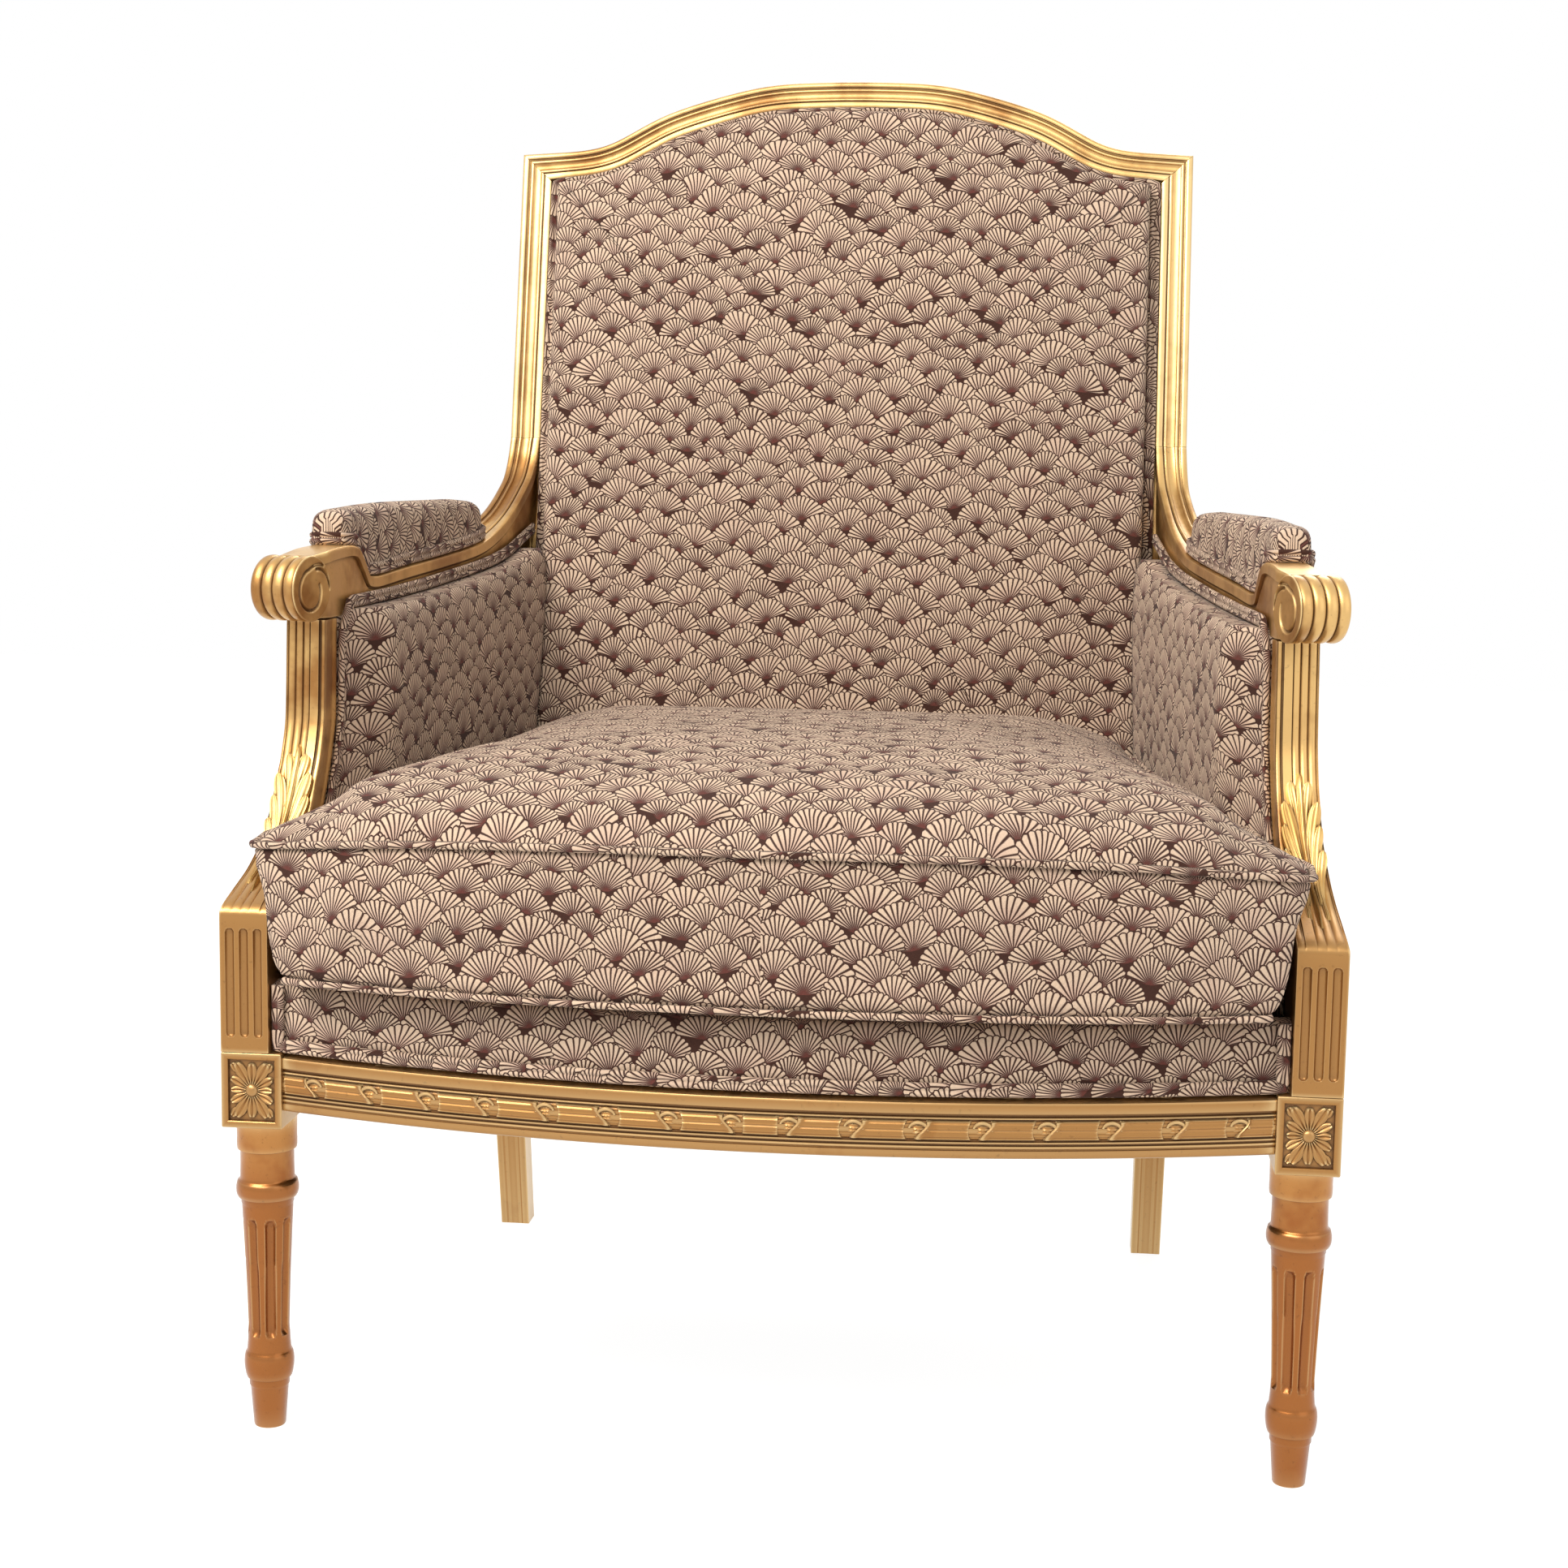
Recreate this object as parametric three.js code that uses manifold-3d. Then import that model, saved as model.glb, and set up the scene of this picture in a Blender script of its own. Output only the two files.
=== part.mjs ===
// A wide gilded armchair with closed arms and a loose seat cushion.
// Lengths are in millimetres. Z points up, the front of the chair faces -Y, and X runs across it.
// While it is modelled, Y is zero at the axes of the front legs and X at the centre plane.

import * as THREE from 'three';
import { mergeVertices } from 'three/addons/utils/BufferGeometryUtils.js';
import Module from 'manifold-3d';

const wasm = await Module();
wasm.setup();

// Clearance between pieces that touch, and how far a cutter runs past what it cuts
const gap = 0.3;
const overrun = 2;

// Main sizes
const frontHalfWidth = 399;
const rearHalfWidth = 309;
const railTop = 290;
const railHigh = 40;
const railThick = 28;
const railBow = 53;

// Front leg with its square block
const legHigh = 237;
const legRadius = 23;
const blockWide = 45;
const blockDeep = 62;
const blockHigh = 56;
const blockProud = 37;
const fluteRadius = 3;
const fluteLong = 85;
const fluteFoot = 72;
const fluteDepth = 2;
const rosetteRadius = 14;
const rosetteThick = 2.6;
const rosetteButton = 5;
const recessWide = 32;
const recessHigh = 43;
const recessDeep = 3;
const fluteAxisShare = 0.74;
const fluteLeanShare = 0.145;
const petalDipShare = 0.72;

// Arm support: a fluted plinth that sweeps back into a console
const plinthWide = 36;
const plinthHigh = 103;
const plinthFluteRadius = 2.6;
const plinthFluteLong = 80;
const plinthFlutePitch = 10.5;
const consoleHigh = 203;
const consoleRun = 119;
const consoleBackRun = 87;
const consoleNarrowing = 16;
const consoleInnerNarrowing = 3;
const consoleRearNarrowing = 4;
const consoleBeadStep = 9;
const consoleReedDeep = 2.2;

// Arm: scroll, cheek and sweep
const scrollRadius = 24.5;
const scrollLong = 43;
const scrollSplay = 8.5;
const scrollY = 64;
const armLow = 627;
const armSweep = 110;
const armOuterInset = 4;
const armInnerInset = 45.2;
const armReedDeep = 2;

// Back frame, which leans
const backRake = 12;
const backFootY = 450;
const backFootZ = 292;
const stileWide = 28;
const stileDeep = 36;
const stileRecess = 12;
const cornerAlong = 724;
const crestWide = 24.5;
const crestRise = 69;
const armJointAlong = 455;
const frameReedDeep = 2.4;
const mitreRun = 26;
const mitreFall = 24;

// Back legs, one with each stile
const rearBlockY = 442;
const rearFootSize = 26;
const rearFootY = 506;

// Hidden rails, corner blocks and their screws
const stayRailFoot = 40;
const stayRailHigh = 45;
const stayRailThick = 14;
const backRailThick = 28;
const cornerBlockLeg = 52;
const cornerBlockHigh = 28;
const cornerBlockFoot = 256;
const screwShankRadius = 2.4;
const screwHeadRadius = 4.6;
const screwHeadHigh = 2.6;
const screwBite = 14;
const screwInset = 17;

// Seat and back supports
const strapWide = 54;
const strapThick = 1.8;
const hessianThick = 0.8;
const dustCoverThick = 1;
const seatStrapsAcross = 5;
const seatStrapsAlong = 4;
const backStrapsAcross = 5;
const backStrapsAlong = 6;

// Stuffed pieces
const borderInset = 6;
const borderThick = 30;
const borderHigh = 49.5;
const deckHigh = 49;
const deckRounding = 8;
const backPadProud = 28;
const backPadCrown = 10;
const backPadFoot = 8;
const backPadRounding = 10;
const outsideRounding = 4;
const joueRounding = 9;
const joueFrontInset = 78;
const joueRearInset = 46;
const joueFrontY = 212;
const joueRearY = 480;
const jouePlanCover = 3;
const coverThick = 5;
const liningThick = 1.5;
const padHigh = 52;
const padSideInset = 6;
const padStart = 137;
const padEnd = 424;

// Welts and piping
const weltWide = 10;
const weltThick = 5;
const pipingRadius = 3;

// Loose cushion
const cushionEarInset = 22;
const cushionProud = 65;
const cushionNeckY = 52;
const cushionNeckClear = 8;
const cushionSideClear = 5.6;
const cushionBackClear = 1.7;
const cushionCorner = 30;
const cushionHigh = 114;
const cushionRearLift = 8;
const cushionCornerDroop = 17;
const cushionCrown = 46;
const cushionBelly = 6;
const cushionEarClear = 6;
const cushionNip = 4.5;

const radians = THREE.MathUtils.degToRad;
const sinRake = Math.sin(radians(backRake));
const cosRake = Math.cos(radians(backRake));
const tanRake = Math.tan(radians(backRake));

const railFoot = railTop - railHigh;
const blockFrontY = -blockProud;
const blockRearY = blockFrontY + blockDeep;
const blockTop = legHigh + blockHigh;
const blockInnerX = frontHalfWidth - blockWide;
const plinthTop = blockTop + plinthHigh;
const plinthInnerX = frontHalfWidth - plinthWide;
const consoleTop = plinthTop + consoleHigh;
const stileInnerX = rearHalfWidth - stileWide;
const ledge = 1;
const stuffingFoot = railTop + strapThick + hessianThick + 3 * gap;
const cushionFoot = stuffingFoot + deckHigh + gap + cushionBelly;

// Colours and finishes from the photograph
const gilt = { color: 0xc99a4b, roughness: 0.36, metalness: 0.85 };
const fabric = { color: 0xa98a7c, roughness: 0.9, metalness: 0 };
const rawWood = { color: 0xc9a77a, roughness: 0.7, metalness: 0 };
const steel = { color: 0x8d8f92, roughness: 0.4, metalness: 0.9 };
const jute = { color: 0xa58a5f, roughness: 0.95, metalness: 0 };
const blackCloth = { color: 0x2c2a29, roughness: 0.95, metalness: 0 };

const vec = (x, y, z) => new THREE.Vector3(x, y, z);
const flat = (x, y) => new THREE.Vector2(x, y);
const lerp = THREE.MathUtils.lerp;

// Reads a table whose first column rises, and blends the rows on either side of a share.
function readTable(table, share, column) {
  const last = table.length - 1;
  const next = table.findIndex((row) => row[0] >= share);
  if (next === 0) return table[0][column];
  if (next === -1) return table[last][column];
  const [low, high] = [table[next - 1], table[next]];
  return lerp(low[column], high[column], (share - low[0]) / (high[0] - low[0]));
}

function signedVolume(geometry) {
  const at = geometry.getAttribute('position');
  const index = geometry.getIndex();
  const [a, b, c] = [vec(0, 0, 0), vec(0, 0, 0), vec(0, 0, 0)];
  let sum = 0;
  for (let i = 0; i < index.count; i += 3) {
    a.fromBufferAttribute(at, index.getX(i));
    b.fromBufferAttribute(at, index.getX(i + 1));
    c.fromBufferAttribute(at, index.getX(i + 2));
    sum += a.dot(b.cross(c));
  }
  return sum;
}

function turnedOver(geometry) {
  const index = Array.from(geometry.getIndex().array);
  for (let i = 0; i < index.length; i += 3) {
    [index[i], index[i + 1]] = [index[i + 1], index[i]];
  }
  geometry.setIndex(index);
  return geometry;
}

// Joins rings of points into one closed skin. Unless the rings form a loop, each end is closed with a fan, or
// with a ladder where the ring runs out along one side of a thin sheet and back along the other.
function loft(rings, loop = false, ladder = false) {
  const count = rings[0].length;
  const points = rings.flat();
  const index = [];
  const spans = loop ? rings.length : rings.length - 1;
  for (let i = 0; i < spans; i++) {
    const low = i * count;
    const high = ((i + 1) % rings.length) * count;
    for (let j = 0; j < count; j++) {
      const k = (j + 1) % count;
      index.push(low + j, low + k, high + k, low + j, high + k, high + j);
    }
  }
  const addLadder = (first, inward) => {
    for (let j = 0; j < count / 2 - 1; j++) {
      const [a, b, c, d] = [j, j + 1, count - 2 - j, count - 1 - j].map((k) => first + k);
      index.push(...(inward ? [a, c, b, a, d, c] : [a, b, c, a, c, d]));
    }
  };
  if (ladder) {
    addLadder(0, true);
    addLadder((rings.length - 1) * count, false);
  } else if (!loop) {
    const addCap = (ring, first, inward) => {
      const centre = ring.reduce((sum, p) => sum.add(p), vec(0, 0, 0)).divideScalar(count);
      points.push(centre);
      for (let j = 0; j < count; j++) {
        const pair = [first + j, first + ((j + 1) % count)];
        index.push(points.length - 1, ...(inward ? pair.reverse() : pair));
      }
    };
    addCap(rings[0], 0, true);
    addCap(rings[rings.length - 1], (rings.length - 1) * count, false);
  }
  const geometry = new THREE.BufferGeometry();
  geometry.setAttribute('position', new THREE.Float32BufferAttribute(points.flatMap((p) => p.toArray()), 3));
  geometry.setIndex(index);
  return signedVolume(geometry) < 0 ? turnedOver(geometry) : geometry;
}

// The same piece for the other side of the chair
function mirrored(geometry) {
  const copy = geometry.clone();
  copy.scale(-1, 1, 1);
  return turnedOver(copy);
}

function merged(geometry) {
  const bare = geometry.clone();
  bare.deleteAttribute('normal');
  bare.deleteAttribute('uv');
  return mergeVertices(bare, gap / 100);
}

function toSolid(geometry) {
  const bare = merged(geometry);
  const vertProperties = new Float32Array(bare.getAttribute('position').array);
  const triVerts = new Uint32Array(bare.getIndex().array);
  return new wasm.Manifold(new wasm.Mesh({ numProp: 3, vertProperties, triVerts }));
}

function fromSolid(solid) {
  const mesh = solid.getMesh();
  const geometry = new THREE.BufferGeometry();
  geometry.setAttribute('position', new THREE.Float32BufferAttribute(Array.from(mesh.vertProperties), 3));
  geometry.setIndex(Array.from(mesh.triVerts));
  return geometry;
}

const joined = (parts) => fromSolid(parts.map(toSolid).reduce((sum, next) => sum.add(next)));
const cut = (body, cutters) => (
  fromSolid(cutters.map(toSolid).reduce((rest, next) => rest.subtract(next), toSolid(body)))
);

const extruded = (shape, thick) => new THREE.ExtrudeGeometry(shape, { depth: thick, bevelEnabled: false });

// Upright cutter for a stopped flute
const capsule = (radius, long) => (
  new THREE.CapsuleGeometry(radius, long - 2 * radius, 2, 6).rotateX(Math.PI / 2)
);

const chair = new THREE.Group();

function addPiece(name, geometry, finish) {
  const shape = merged(joined([geometry]));
  shape.computeVertexNormals();
  const mesh = new THREE.Mesh(shape, new THREE.MeshStandardMaterial({ ...finish, flatShading: true }));
  mesh.name = name;
  chair.add(mesh);
}

// Adds a right-hand piece and its mirror image.
function addPair(name, geometry, finish) {
  addPiece(`${name}_right`, geometry, finish);
  addPiece(`${name}_left`, mirrored(geometry), finish);
}

// A strip of the given width and thickness along a path. The normals point out of its thin side.
const stripShares = [[1, 0], [0.5, 1], [-0.5, 1], [-1, 0], [-0.5, -1], [0.5, -1]];

function strip(path, normals, wide, thick, loop = false) {
  const last = path.length - 1;
  const rings = path.map((point, i) => {
    const before = loop ? path.at(i - 1) : path[Math.max(i - 1, 0)];
    const after = loop ? path[(i + 1) % path.length] : path[Math.min(i + 1, last)];
    const tangent = after.clone().sub(before).normalize();
    const normal = normals[i].clone().addScaledVector(tangent, -normals[i].dot(tangent)).normalize();
    const across = tangent.clone().cross(normal);
    return stripShares.map(([side, out]) => point.clone()
      .addScaledVector(across, side * wide / 2)
      .addScaledVector(normal, out * thick / 2));
  });
  return loft(rings, loop);
}

// Points of the leaning back: across the chair, up along the front face of its frame, and behind that face
function onBack(x, along, behind) {
  const y = backFootY + along * sinRake + behind * cosRake;
  return vec(x, y, backFootZ + along * cosRake - behind * sinRake);
}

const backY = (z, behind) => backFootY + (z - backFootZ) * tanRake + behind / cosRake;

// Front rail line in plan, and the outer face line of a side rail
const railFrontY = (x) => blockFrontY + overrun - railBow * (1 - (x / blockInnerX) ** 2);
const sideRailEndY = rearBlockY - gap;
const railOuterX = (y) => (
  lerp(frontHalfWidth - overrun, rearHalfWidth, (y - blockRearY) / (sideRailEndY - blockRearY))
);

// Front legs
const legProfileShares = [
  [0, 0.51], [0.13, 0.61], [0.134, 0.645], [0.155, 0.645], [0.16, 0.72], [0.187, 0.78], [0.213, 0.8],
  [0.236, 0.775], [0.243, 0.73], [0.253, 0.7], [0.33, 0.66], [0.725, 0.82], [0.73, 0.84], [0.742, 0.84],
  [0.746, 0.93], [0.772, 1], [0.797, 0.957], [0.813, 0.87], [0.894, 0.857], [0.902, 0.955], [0.94, 0.957],
  [1, 0.97],
];
const legFlutes = 8;
const rosettePetals = 12;

function frontLeg() {
  const axisX = frontHalfWidth - blockWide / 2;
  const profile = legProfileShares.map(([up, out]) => flat(out * legRadius, up * legHigh));
  profile[profile.length - 1].y += overrun;
  const outline = [flat(0, 0), ...profile, flat(0, legHigh + overrun)];
  const turned = new THREE.LatheGeometry(outline, 18).rotateX(Math.PI / 2);
  const flutes = Array.from({ length: legFlutes }, (_, i) => {
    const flute = capsule(fluteRadius, fluteLong);
    const reach = legRadius * fluteAxisShare + fluteRadius - fluteDepth;
    flute.rotateY(Math.asin(legRadius * fluteLeanShare / fluteLong));
    flute.translate(reach, 0, fluteFoot + fluteLong / 2);
    return flute.rotateZ((i + 0.5) * 2 * Math.PI / legFlutes);
  });
  const shaft = cut(turned, flutes).translate(axisX, 0, 0);
  const block = new THREE.BoxGeometry(blockWide, blockDeep, blockHigh)
    .translate(axisX, blockFrontY + blockDeep / 2, legHigh + blockHigh / 2);
  const recess = new THREE.BoxGeometry(recessWide, 2 * recessDeep, recessHigh)
    .translate(axisX, blockFrontY, legHigh + blockHigh / 2);
  const rosetteAt = (shape) => shape.translate(axisX, blockFrontY + recessDeep, legHigh + blockHigh / 2);
  const petals = new THREE.Shape(Array.from({ length: 2 * rosettePetals }, (_, i) => {
    const reach = rosetteRadius * (i % 2 ? 1 : petalDipShare);
    return flat(Math.cos(i * Math.PI / rosettePetals) * reach, Math.sin(i * Math.PI / rosettePetals) * reach);
  }));
  const flower = new THREE.ExtrudeGeometry(petals, { depth: rosetteThick + overrun, bevelEnabled: false })
    .translate(0, 0, -overrun).rotateX(Math.PI / 2);
  const button = new THREE.SphereGeometry(rosetteButton, 8, 6);
  return joined([shaft, cut(block, [recess]), rosetteAt(flower), rosetteAt(button)]);
}

addPair('front_leg', frontLeg(), gilt);

// Front face of a rail: share of its height from the top, share of the moulding depth that is cut back
const railMouldingDeep = 4;
const railMouldingShares = [
  [0, 0.3], [0.03, 0], [0.2, 0], [0.22, 0.8], [0.27, 0.8], [0.29, 0.3], [0.5, 0], [0.7, 0.3], [0.72, 0.8],
  [0.76, 0.8], [0.79, 0.35], [0.95, 0.35], [1, 0.6],
];

// One ring across a rail. The outer face follows a line, the inner face lies a thickness behind it.
function railRing(place, thick) {
  const at = ([down, back]) => place(back * railMouldingDeep, railTop - down * railHigh);
  const outer = railMouldingShares.map(at);
  return [...outer, place(thick, railFoot), place(thick, railTop)];
}

const screwClear = gap;

function screwGeometry(long, swell) {
  const head = screwHeadRadius + swell;
  const shank = screwShankRadius + swell;
  const outline = [flat(0, 0), flat(head, 0), flat(head, screwHeadHigh), flat(shank, screwHeadHigh)];
  outline.push(flat(shank, long - shank + swell), flat(0, long + swell));
  return new THREE.LatheGeometry(outline, 8);
}

// Corner blocks sit in the four inside corners of the seat frame, screwed to both rails that meet there.
const cornerMidZ = cornerBlockFoot + cornerBlockHigh / 2;
const frontRailBackY = (x) => railFrontY(x) + railThick;
const sideRailInnerX = (y) => railOuterX(y) - railThick;
const backRailFrontY = rearBlockY + overrun * 3;

const frontCornerX = blockInnerX - gap;
const frontCornerY = blockRearY + gap;
const rearCornerY = backRailFrontY - gap;

function cornerPlan(front) {
  if (front) {
    const outerX = frontCornerX;
    const innerX = outerX - cornerBlockLeg;
    const rearY = frontCornerY + cornerBlockLeg;
    const sideX = (y) => sideRailInnerX(y) - gap;
    return [
      flat(outerX, frontRailBackY(outerX) + gap + overrun), flat(outerX, frontCornerY),
      flat(sideX(frontCornerY), frontCornerY), flat(sideX(rearY), rearY),
      flat(sideX(rearY) - screwInset, rearY),
      flat(innerX, frontRailBackY(innerX) + gap + screwInset), flat(innerX, frontRailBackY(innerX) + gap),
    ];
  }
  const frontY = rearCornerY - cornerBlockLeg;
  const endX = sideRailInnerX(sideRailEndY) - gap;
  const sideX = (y) => Math.min(sideRailInnerX(y) - gap, endX + (sideRailEndY - y));
  const innerX = stileInnerX - cornerBlockLeg;
  return [
    flat(innerX, rearCornerY), flat(stileInnerX - gap, rearCornerY), flat(stileInnerX - gap, sideRailEndY),
    flat(sideX(frontY), frontY), flat(sideX(frontY) - screwInset, frontY),
    flat(innerX, rearCornerY - screwInset),
  ];
}

function cornerBlock(front) {
  return extruded(new THREE.Shape(cornerPlan(front)), cornerBlockHigh).translate(0, 0, cornerBlockFoot);
}

// Each screw: where its head sits, and the way it is driven
const frontScrewX = frontCornerX - cornerBlockLeg + screwInset;
const frontSideScrewY = frontCornerY + cornerBlockLeg - screwInset;
const rearScrewX = stileInnerX - cornerBlockLeg + screwInset;
const rearSideScrewY = rearCornerY - cornerBlockLeg + screwInset;
const screwStandOff = screwInset + screwBite;
const cornerScrews = {
  front_rail: { at: [frontScrewX, frontRailBackY(frontScrewX) + screwStandOff], way: [0, -1] },
  front_side: { at: [sideRailInnerX(frontSideScrewY) - screwStandOff, frontSideScrewY], way: [1, 0] },
  back_rail: { at: [rearScrewX, rearCornerY - screwStandOff], way: [0, 1] },
  back_side: { at: [sideRailInnerX(rearSideScrewY) - screwStandOff, rearSideScrewY], way: [1, 0] },
};

function placedScrew(screw, swell) {
  const long = screwInset + 2 * screwBite + swell;
  const shape = screwGeometry(long, swell);
  const [across, along] = screw.way;
  return shape.rotateZ(Math.atan2(-across, along)).translate(screw.at[0], screw.at[1], cornerMidZ);
}

// The hole that a screw needs, widened from its head back out of the block
function screwHole(screw) {
  const shank = placedScrew(screw, screwClear);
  const wide = screwHeadRadius + screwClear;
  const access = new THREE.CylinderGeometry(wide, wide, cornerBlockLeg, 8);
  const reach = cornerBlockLeg / 2 - screwHeadHigh - screwClear;
  if (screw.way[0]) access.rotateZ(-Math.PI / 2);
  access.translate(screw.at[0] - screw.way[0] * reach, screw.at[1] - screw.way[1] * reach, cornerMidZ);
  return joined([shank, access]);
}

const both = (geometry) => [geometry, mirrored(geometry)];
const screws = Object.entries(cornerScrews);
const holes = Object.fromEntries(screws.map(([name, screw]) => [name, screwHole(screw)]));

function frontRail() {
  const steps = 16;
  const reach = blockInnerX - gap;
  const rings = Array.from({ length: steps + 1 }, (_, i) => {
    const x = lerp(-reach, reach, i / steps);
    return railRing((inward, z) => vec(x, railFrontY(x) + inward, z), railThick);
  });
  return cut(loft(rings), both(holes.front_rail));
}

function sideRail() {
  const rings = [blockRearY + gap, sideRailEndY].map((y) => (
    railRing((inward, z) => vec(railOuterX(y) - inward, y, z), railThick)
  ));
  return cut(loft(rings), [holes.front_side, holes.back_side]);
}

function backRail() {
  const wide = 2 * (stileInnerX - gap);
  const rail = new THREE.BoxGeometry(wide, backRailThick, railHigh)
    .translate(0, backRailFrontY + backRailThick / 2, railFoot + railHigh / 2);
  return cut(rail, both(holes.back_rail));
}

addPiece('front_rail', frontRail(), gilt);
addPair('side_rail', sideRail(), gilt);
addPiece('back_rail', backRail(), gilt);
addPair('front_corner_block', cut(cornerBlock(true), [holes.front_rail, holes.front_side]), rawWood);
addPair('back_corner_block', cut(cornerBlock(false), [holes.back_rail, holes.back_side]), rawWood);
for (const [name, screw] of screws) addPair(`${name}_screw`, placedScrew(screw, 0), steel);

// Arm support. Columns: share of the console's height, of its run at the front and at the back, and of its
// narrowing
const consoleShares = [
  [0, 0, 0.15, 0], [0.02, 0.03, 0.17, 0.06], [0.055, 0.17, 0.25, 0.15], [0.113, 0.42, 0.37, 0.3],
  [0.163, 0.55, 0.45, 0.42], [0.212, 0.64, 0.54, 0.52], [0.31, 0.73, 0.68, 0.72], [0.409, 0.82, 0.8, 0.81],
  [0.507, 0.916, 0.9, 0.87], [0.655, 0.99, 1, 0.92], [1, 1, 1, 1],
];
const consoleShare = (z, column) => readTable(consoleShares, (z - plinthTop) / consoleHigh, column);
const consoleFrontY = (z) => blockFrontY + consoleRun * consoleShare(z, 1);
const plinthBackShare = 0.15;
const consoleBackY = (z) => {
  const share = z >= plinthTop ? consoleShare(z, 2) : plinthBackShare * (z - blockTop) / plinthHigh;
  return blockRearY + consoleBackRun * Math.max(share, 0);
};
const consoleNarrow = (z) => (z >= plinthTop ? consoleShare(z, 3) : 0);
const consoleInnerX = (z) => plinthInnerX - (consoleInnerNarrowing + consoleBeadStep) * consoleNarrow(z);
const reeds = 4;

function armSupportBody(swell) {
  const levels = [blockTop + gap, ...consoleShares.map(([up]) => plinthTop + up * consoleHigh)];
  levels[levels.length - 1] -= gap;
  return loft(levels.map((z) => {
    const narrow = consoleNarrow(z);
    const outer = frontHalfWidth - consoleNarrowing * narrow + swell;
    const inner = plinthInnerX - consoleInnerNarrowing * narrow - swell;
    const frontY = consoleFrontY(z) - swell;
    const rearY = consoleBackY(z) + swell;
    const front = Array.from({ length: 2 * reeds + 1 }, (_, i) => (
      vec(lerp(outer, inner, i / (2 * reeds)), frontY + (i % 2 ? 0 : consoleReedDeep * narrow), z)
    ));
    const beadX = consoleInnerX(z) - swell;
    const rearX = outer - consoleRearNarrowing * narrow;
    return [...front, vec(beadX, rearY - weltWide, z), vec(beadX, rearY, z), vec(rearX, rearY, z)];
  }));
}

function armSupport() {
  const axisX = frontHalfWidth - plinthWide / 2;
  const fluteZ = blockTop + plinthHigh / 2;
  const flutes = [-1, 0, 1].map((i) => (
    capsule(plinthFluteRadius, plinthFluteLong)
      .translate(axisX + i * plinthFlutePitch, blockFrontY - plinthFluteRadius / 5, fluteZ)
  ));
  return cut(armSupportBody(0), flutes);
}

addPair('arm_support', armSupport(), gilt);

// Arms. Columns: share of the run for the top line and share of the sweep's rise, then the same two for the
// bottom line
const armRun = backY(armLow + armSweep, 0) - scrollY;
const armOuterTaper = frontHalfWidth - armOuterInset - rearHalfWidth;
const armInnerTaper = frontHalfWidth - armInnerInset - stileInnerX - gap;
const armLineShares = [
  [0, 0.19, 0, -0.236], [0.0685, 0.227, 0.0685, -0.243], [0.147, 0.236, 0.109, -0.243],
  [0.183, 0.218, 0.1245, -0.2], [0.21, 0.118, 0.183, -0.195], [0.234, 0.009, 0.228, -0.19],
  [0.2656, 0, 0.2656, -0.186], [0.39, 0.045, 0.39, -0.155], [0.55, 0.1, 0.55, -0.1],
  [0.697, 0.164, 0.697, -0.04], [0.784, 0.264, 0.797, 0.027], [0.853, 0.4, 0.878, 0.127],
  [0.919, 0.573, 0.946, 0.21],
];
// Columns: share of the run, share of the outer taper, share of the inner taper
const armEdgeShares = [
  [0, 0.965, 1], [0.07, 0.915, 0.955], [0.255, 0.884, 0.82], [0.494, 0.663, 0.545], [0.697, 0.419, 0.31],
  [0.784, 0.279, 0.214], [0.853, 0.128, 0.138], [0.919, 0.052, 0.076], [0.956, 0.023, 0.041], [1, 0, 0],
];
const armY = (share) => scrollY + share * armRun;
const armZ = (share) => armLow + share * armSweep;
const armShareAt = (y) => (y - scrollY) / armRun;
const armOuterX = (y) => rearHalfWidth + armOuterTaper * readTable(armEdgeShares, armShareAt(y), 1);
const armInnerX = (y) => stileInnerX + gap + armInnerTaper * readTable(armEdgeShares, armShareAt(y), 2);
const armTop = (y) => armZ(readTable(armLineShares, armShareAt(y), 1));
const armUnderShares = armLineShares.map((row) => [row[2], row[3]]);
const armUnder = (y) => armZ(readTable(armUnderShares, armShareAt(y), 1));

// Face of a frame member, from its inner to its outer edge: share of the width, share of the moulding depth
const frameFaceShares = [
  [0, 0], [0.2, 0], [0.25, 0.8], [0.34, 0.2], [0.42, 1], [0.58, 1], [0.66, 0.2], [0.74, 0.8], [0.8, 0],
  [1, 0],
];
const sweepEndShares = [[0.956, 0.69, 0.82], [0.983, 0.845, 0.91]];

function armRing(top, bottom, swell) {
  const down = bottom.clone().sub(top).normalize();
  const across = (point, share) => lerp(armInnerX(point.y) - swell, armOuterX(point.y) + swell, share);
  const face = frameFaceShares.map(([side, dip]) => {
    const point = top.clone().addScaledVector(down, dip * armReedDeep - swell);
    return point.setX(across(top, side));
  });
  const under = bottom.clone().addScaledVector(down, swell);
  return [...face, under.clone().setX(across(bottom, 1)), under.clone().setX(across(bottom, 0))];
}

function armBody(swell) {
  const rings = armLineShares.map(([ty, tz, by, bz]) => (
    armRing(vec(0, armY(ty), armZ(tz)), vec(0, armY(by), armZ(bz)), swell)
  ));
  const seat = stileRecess - gap;
  for (const [alongTop, upTop, alongBottom] of sweepEndShares) {
    const heel = onBack(0, armJointAlong * alongBottom, seat);
    rings.push(armRing(vec(0, armY(alongTop), armZ(upTop)), heel, swell));
  }
  rings.push(armRing(onBack(0, armJointAlong - gap, 0), onBack(0, armJointAlong - gap, seat), swell));
  return loft(rings);
}

const ridges = 4;
const ridgeShares = [[0, 0.9], [0.25, 1], [0.75, 1]];

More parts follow.
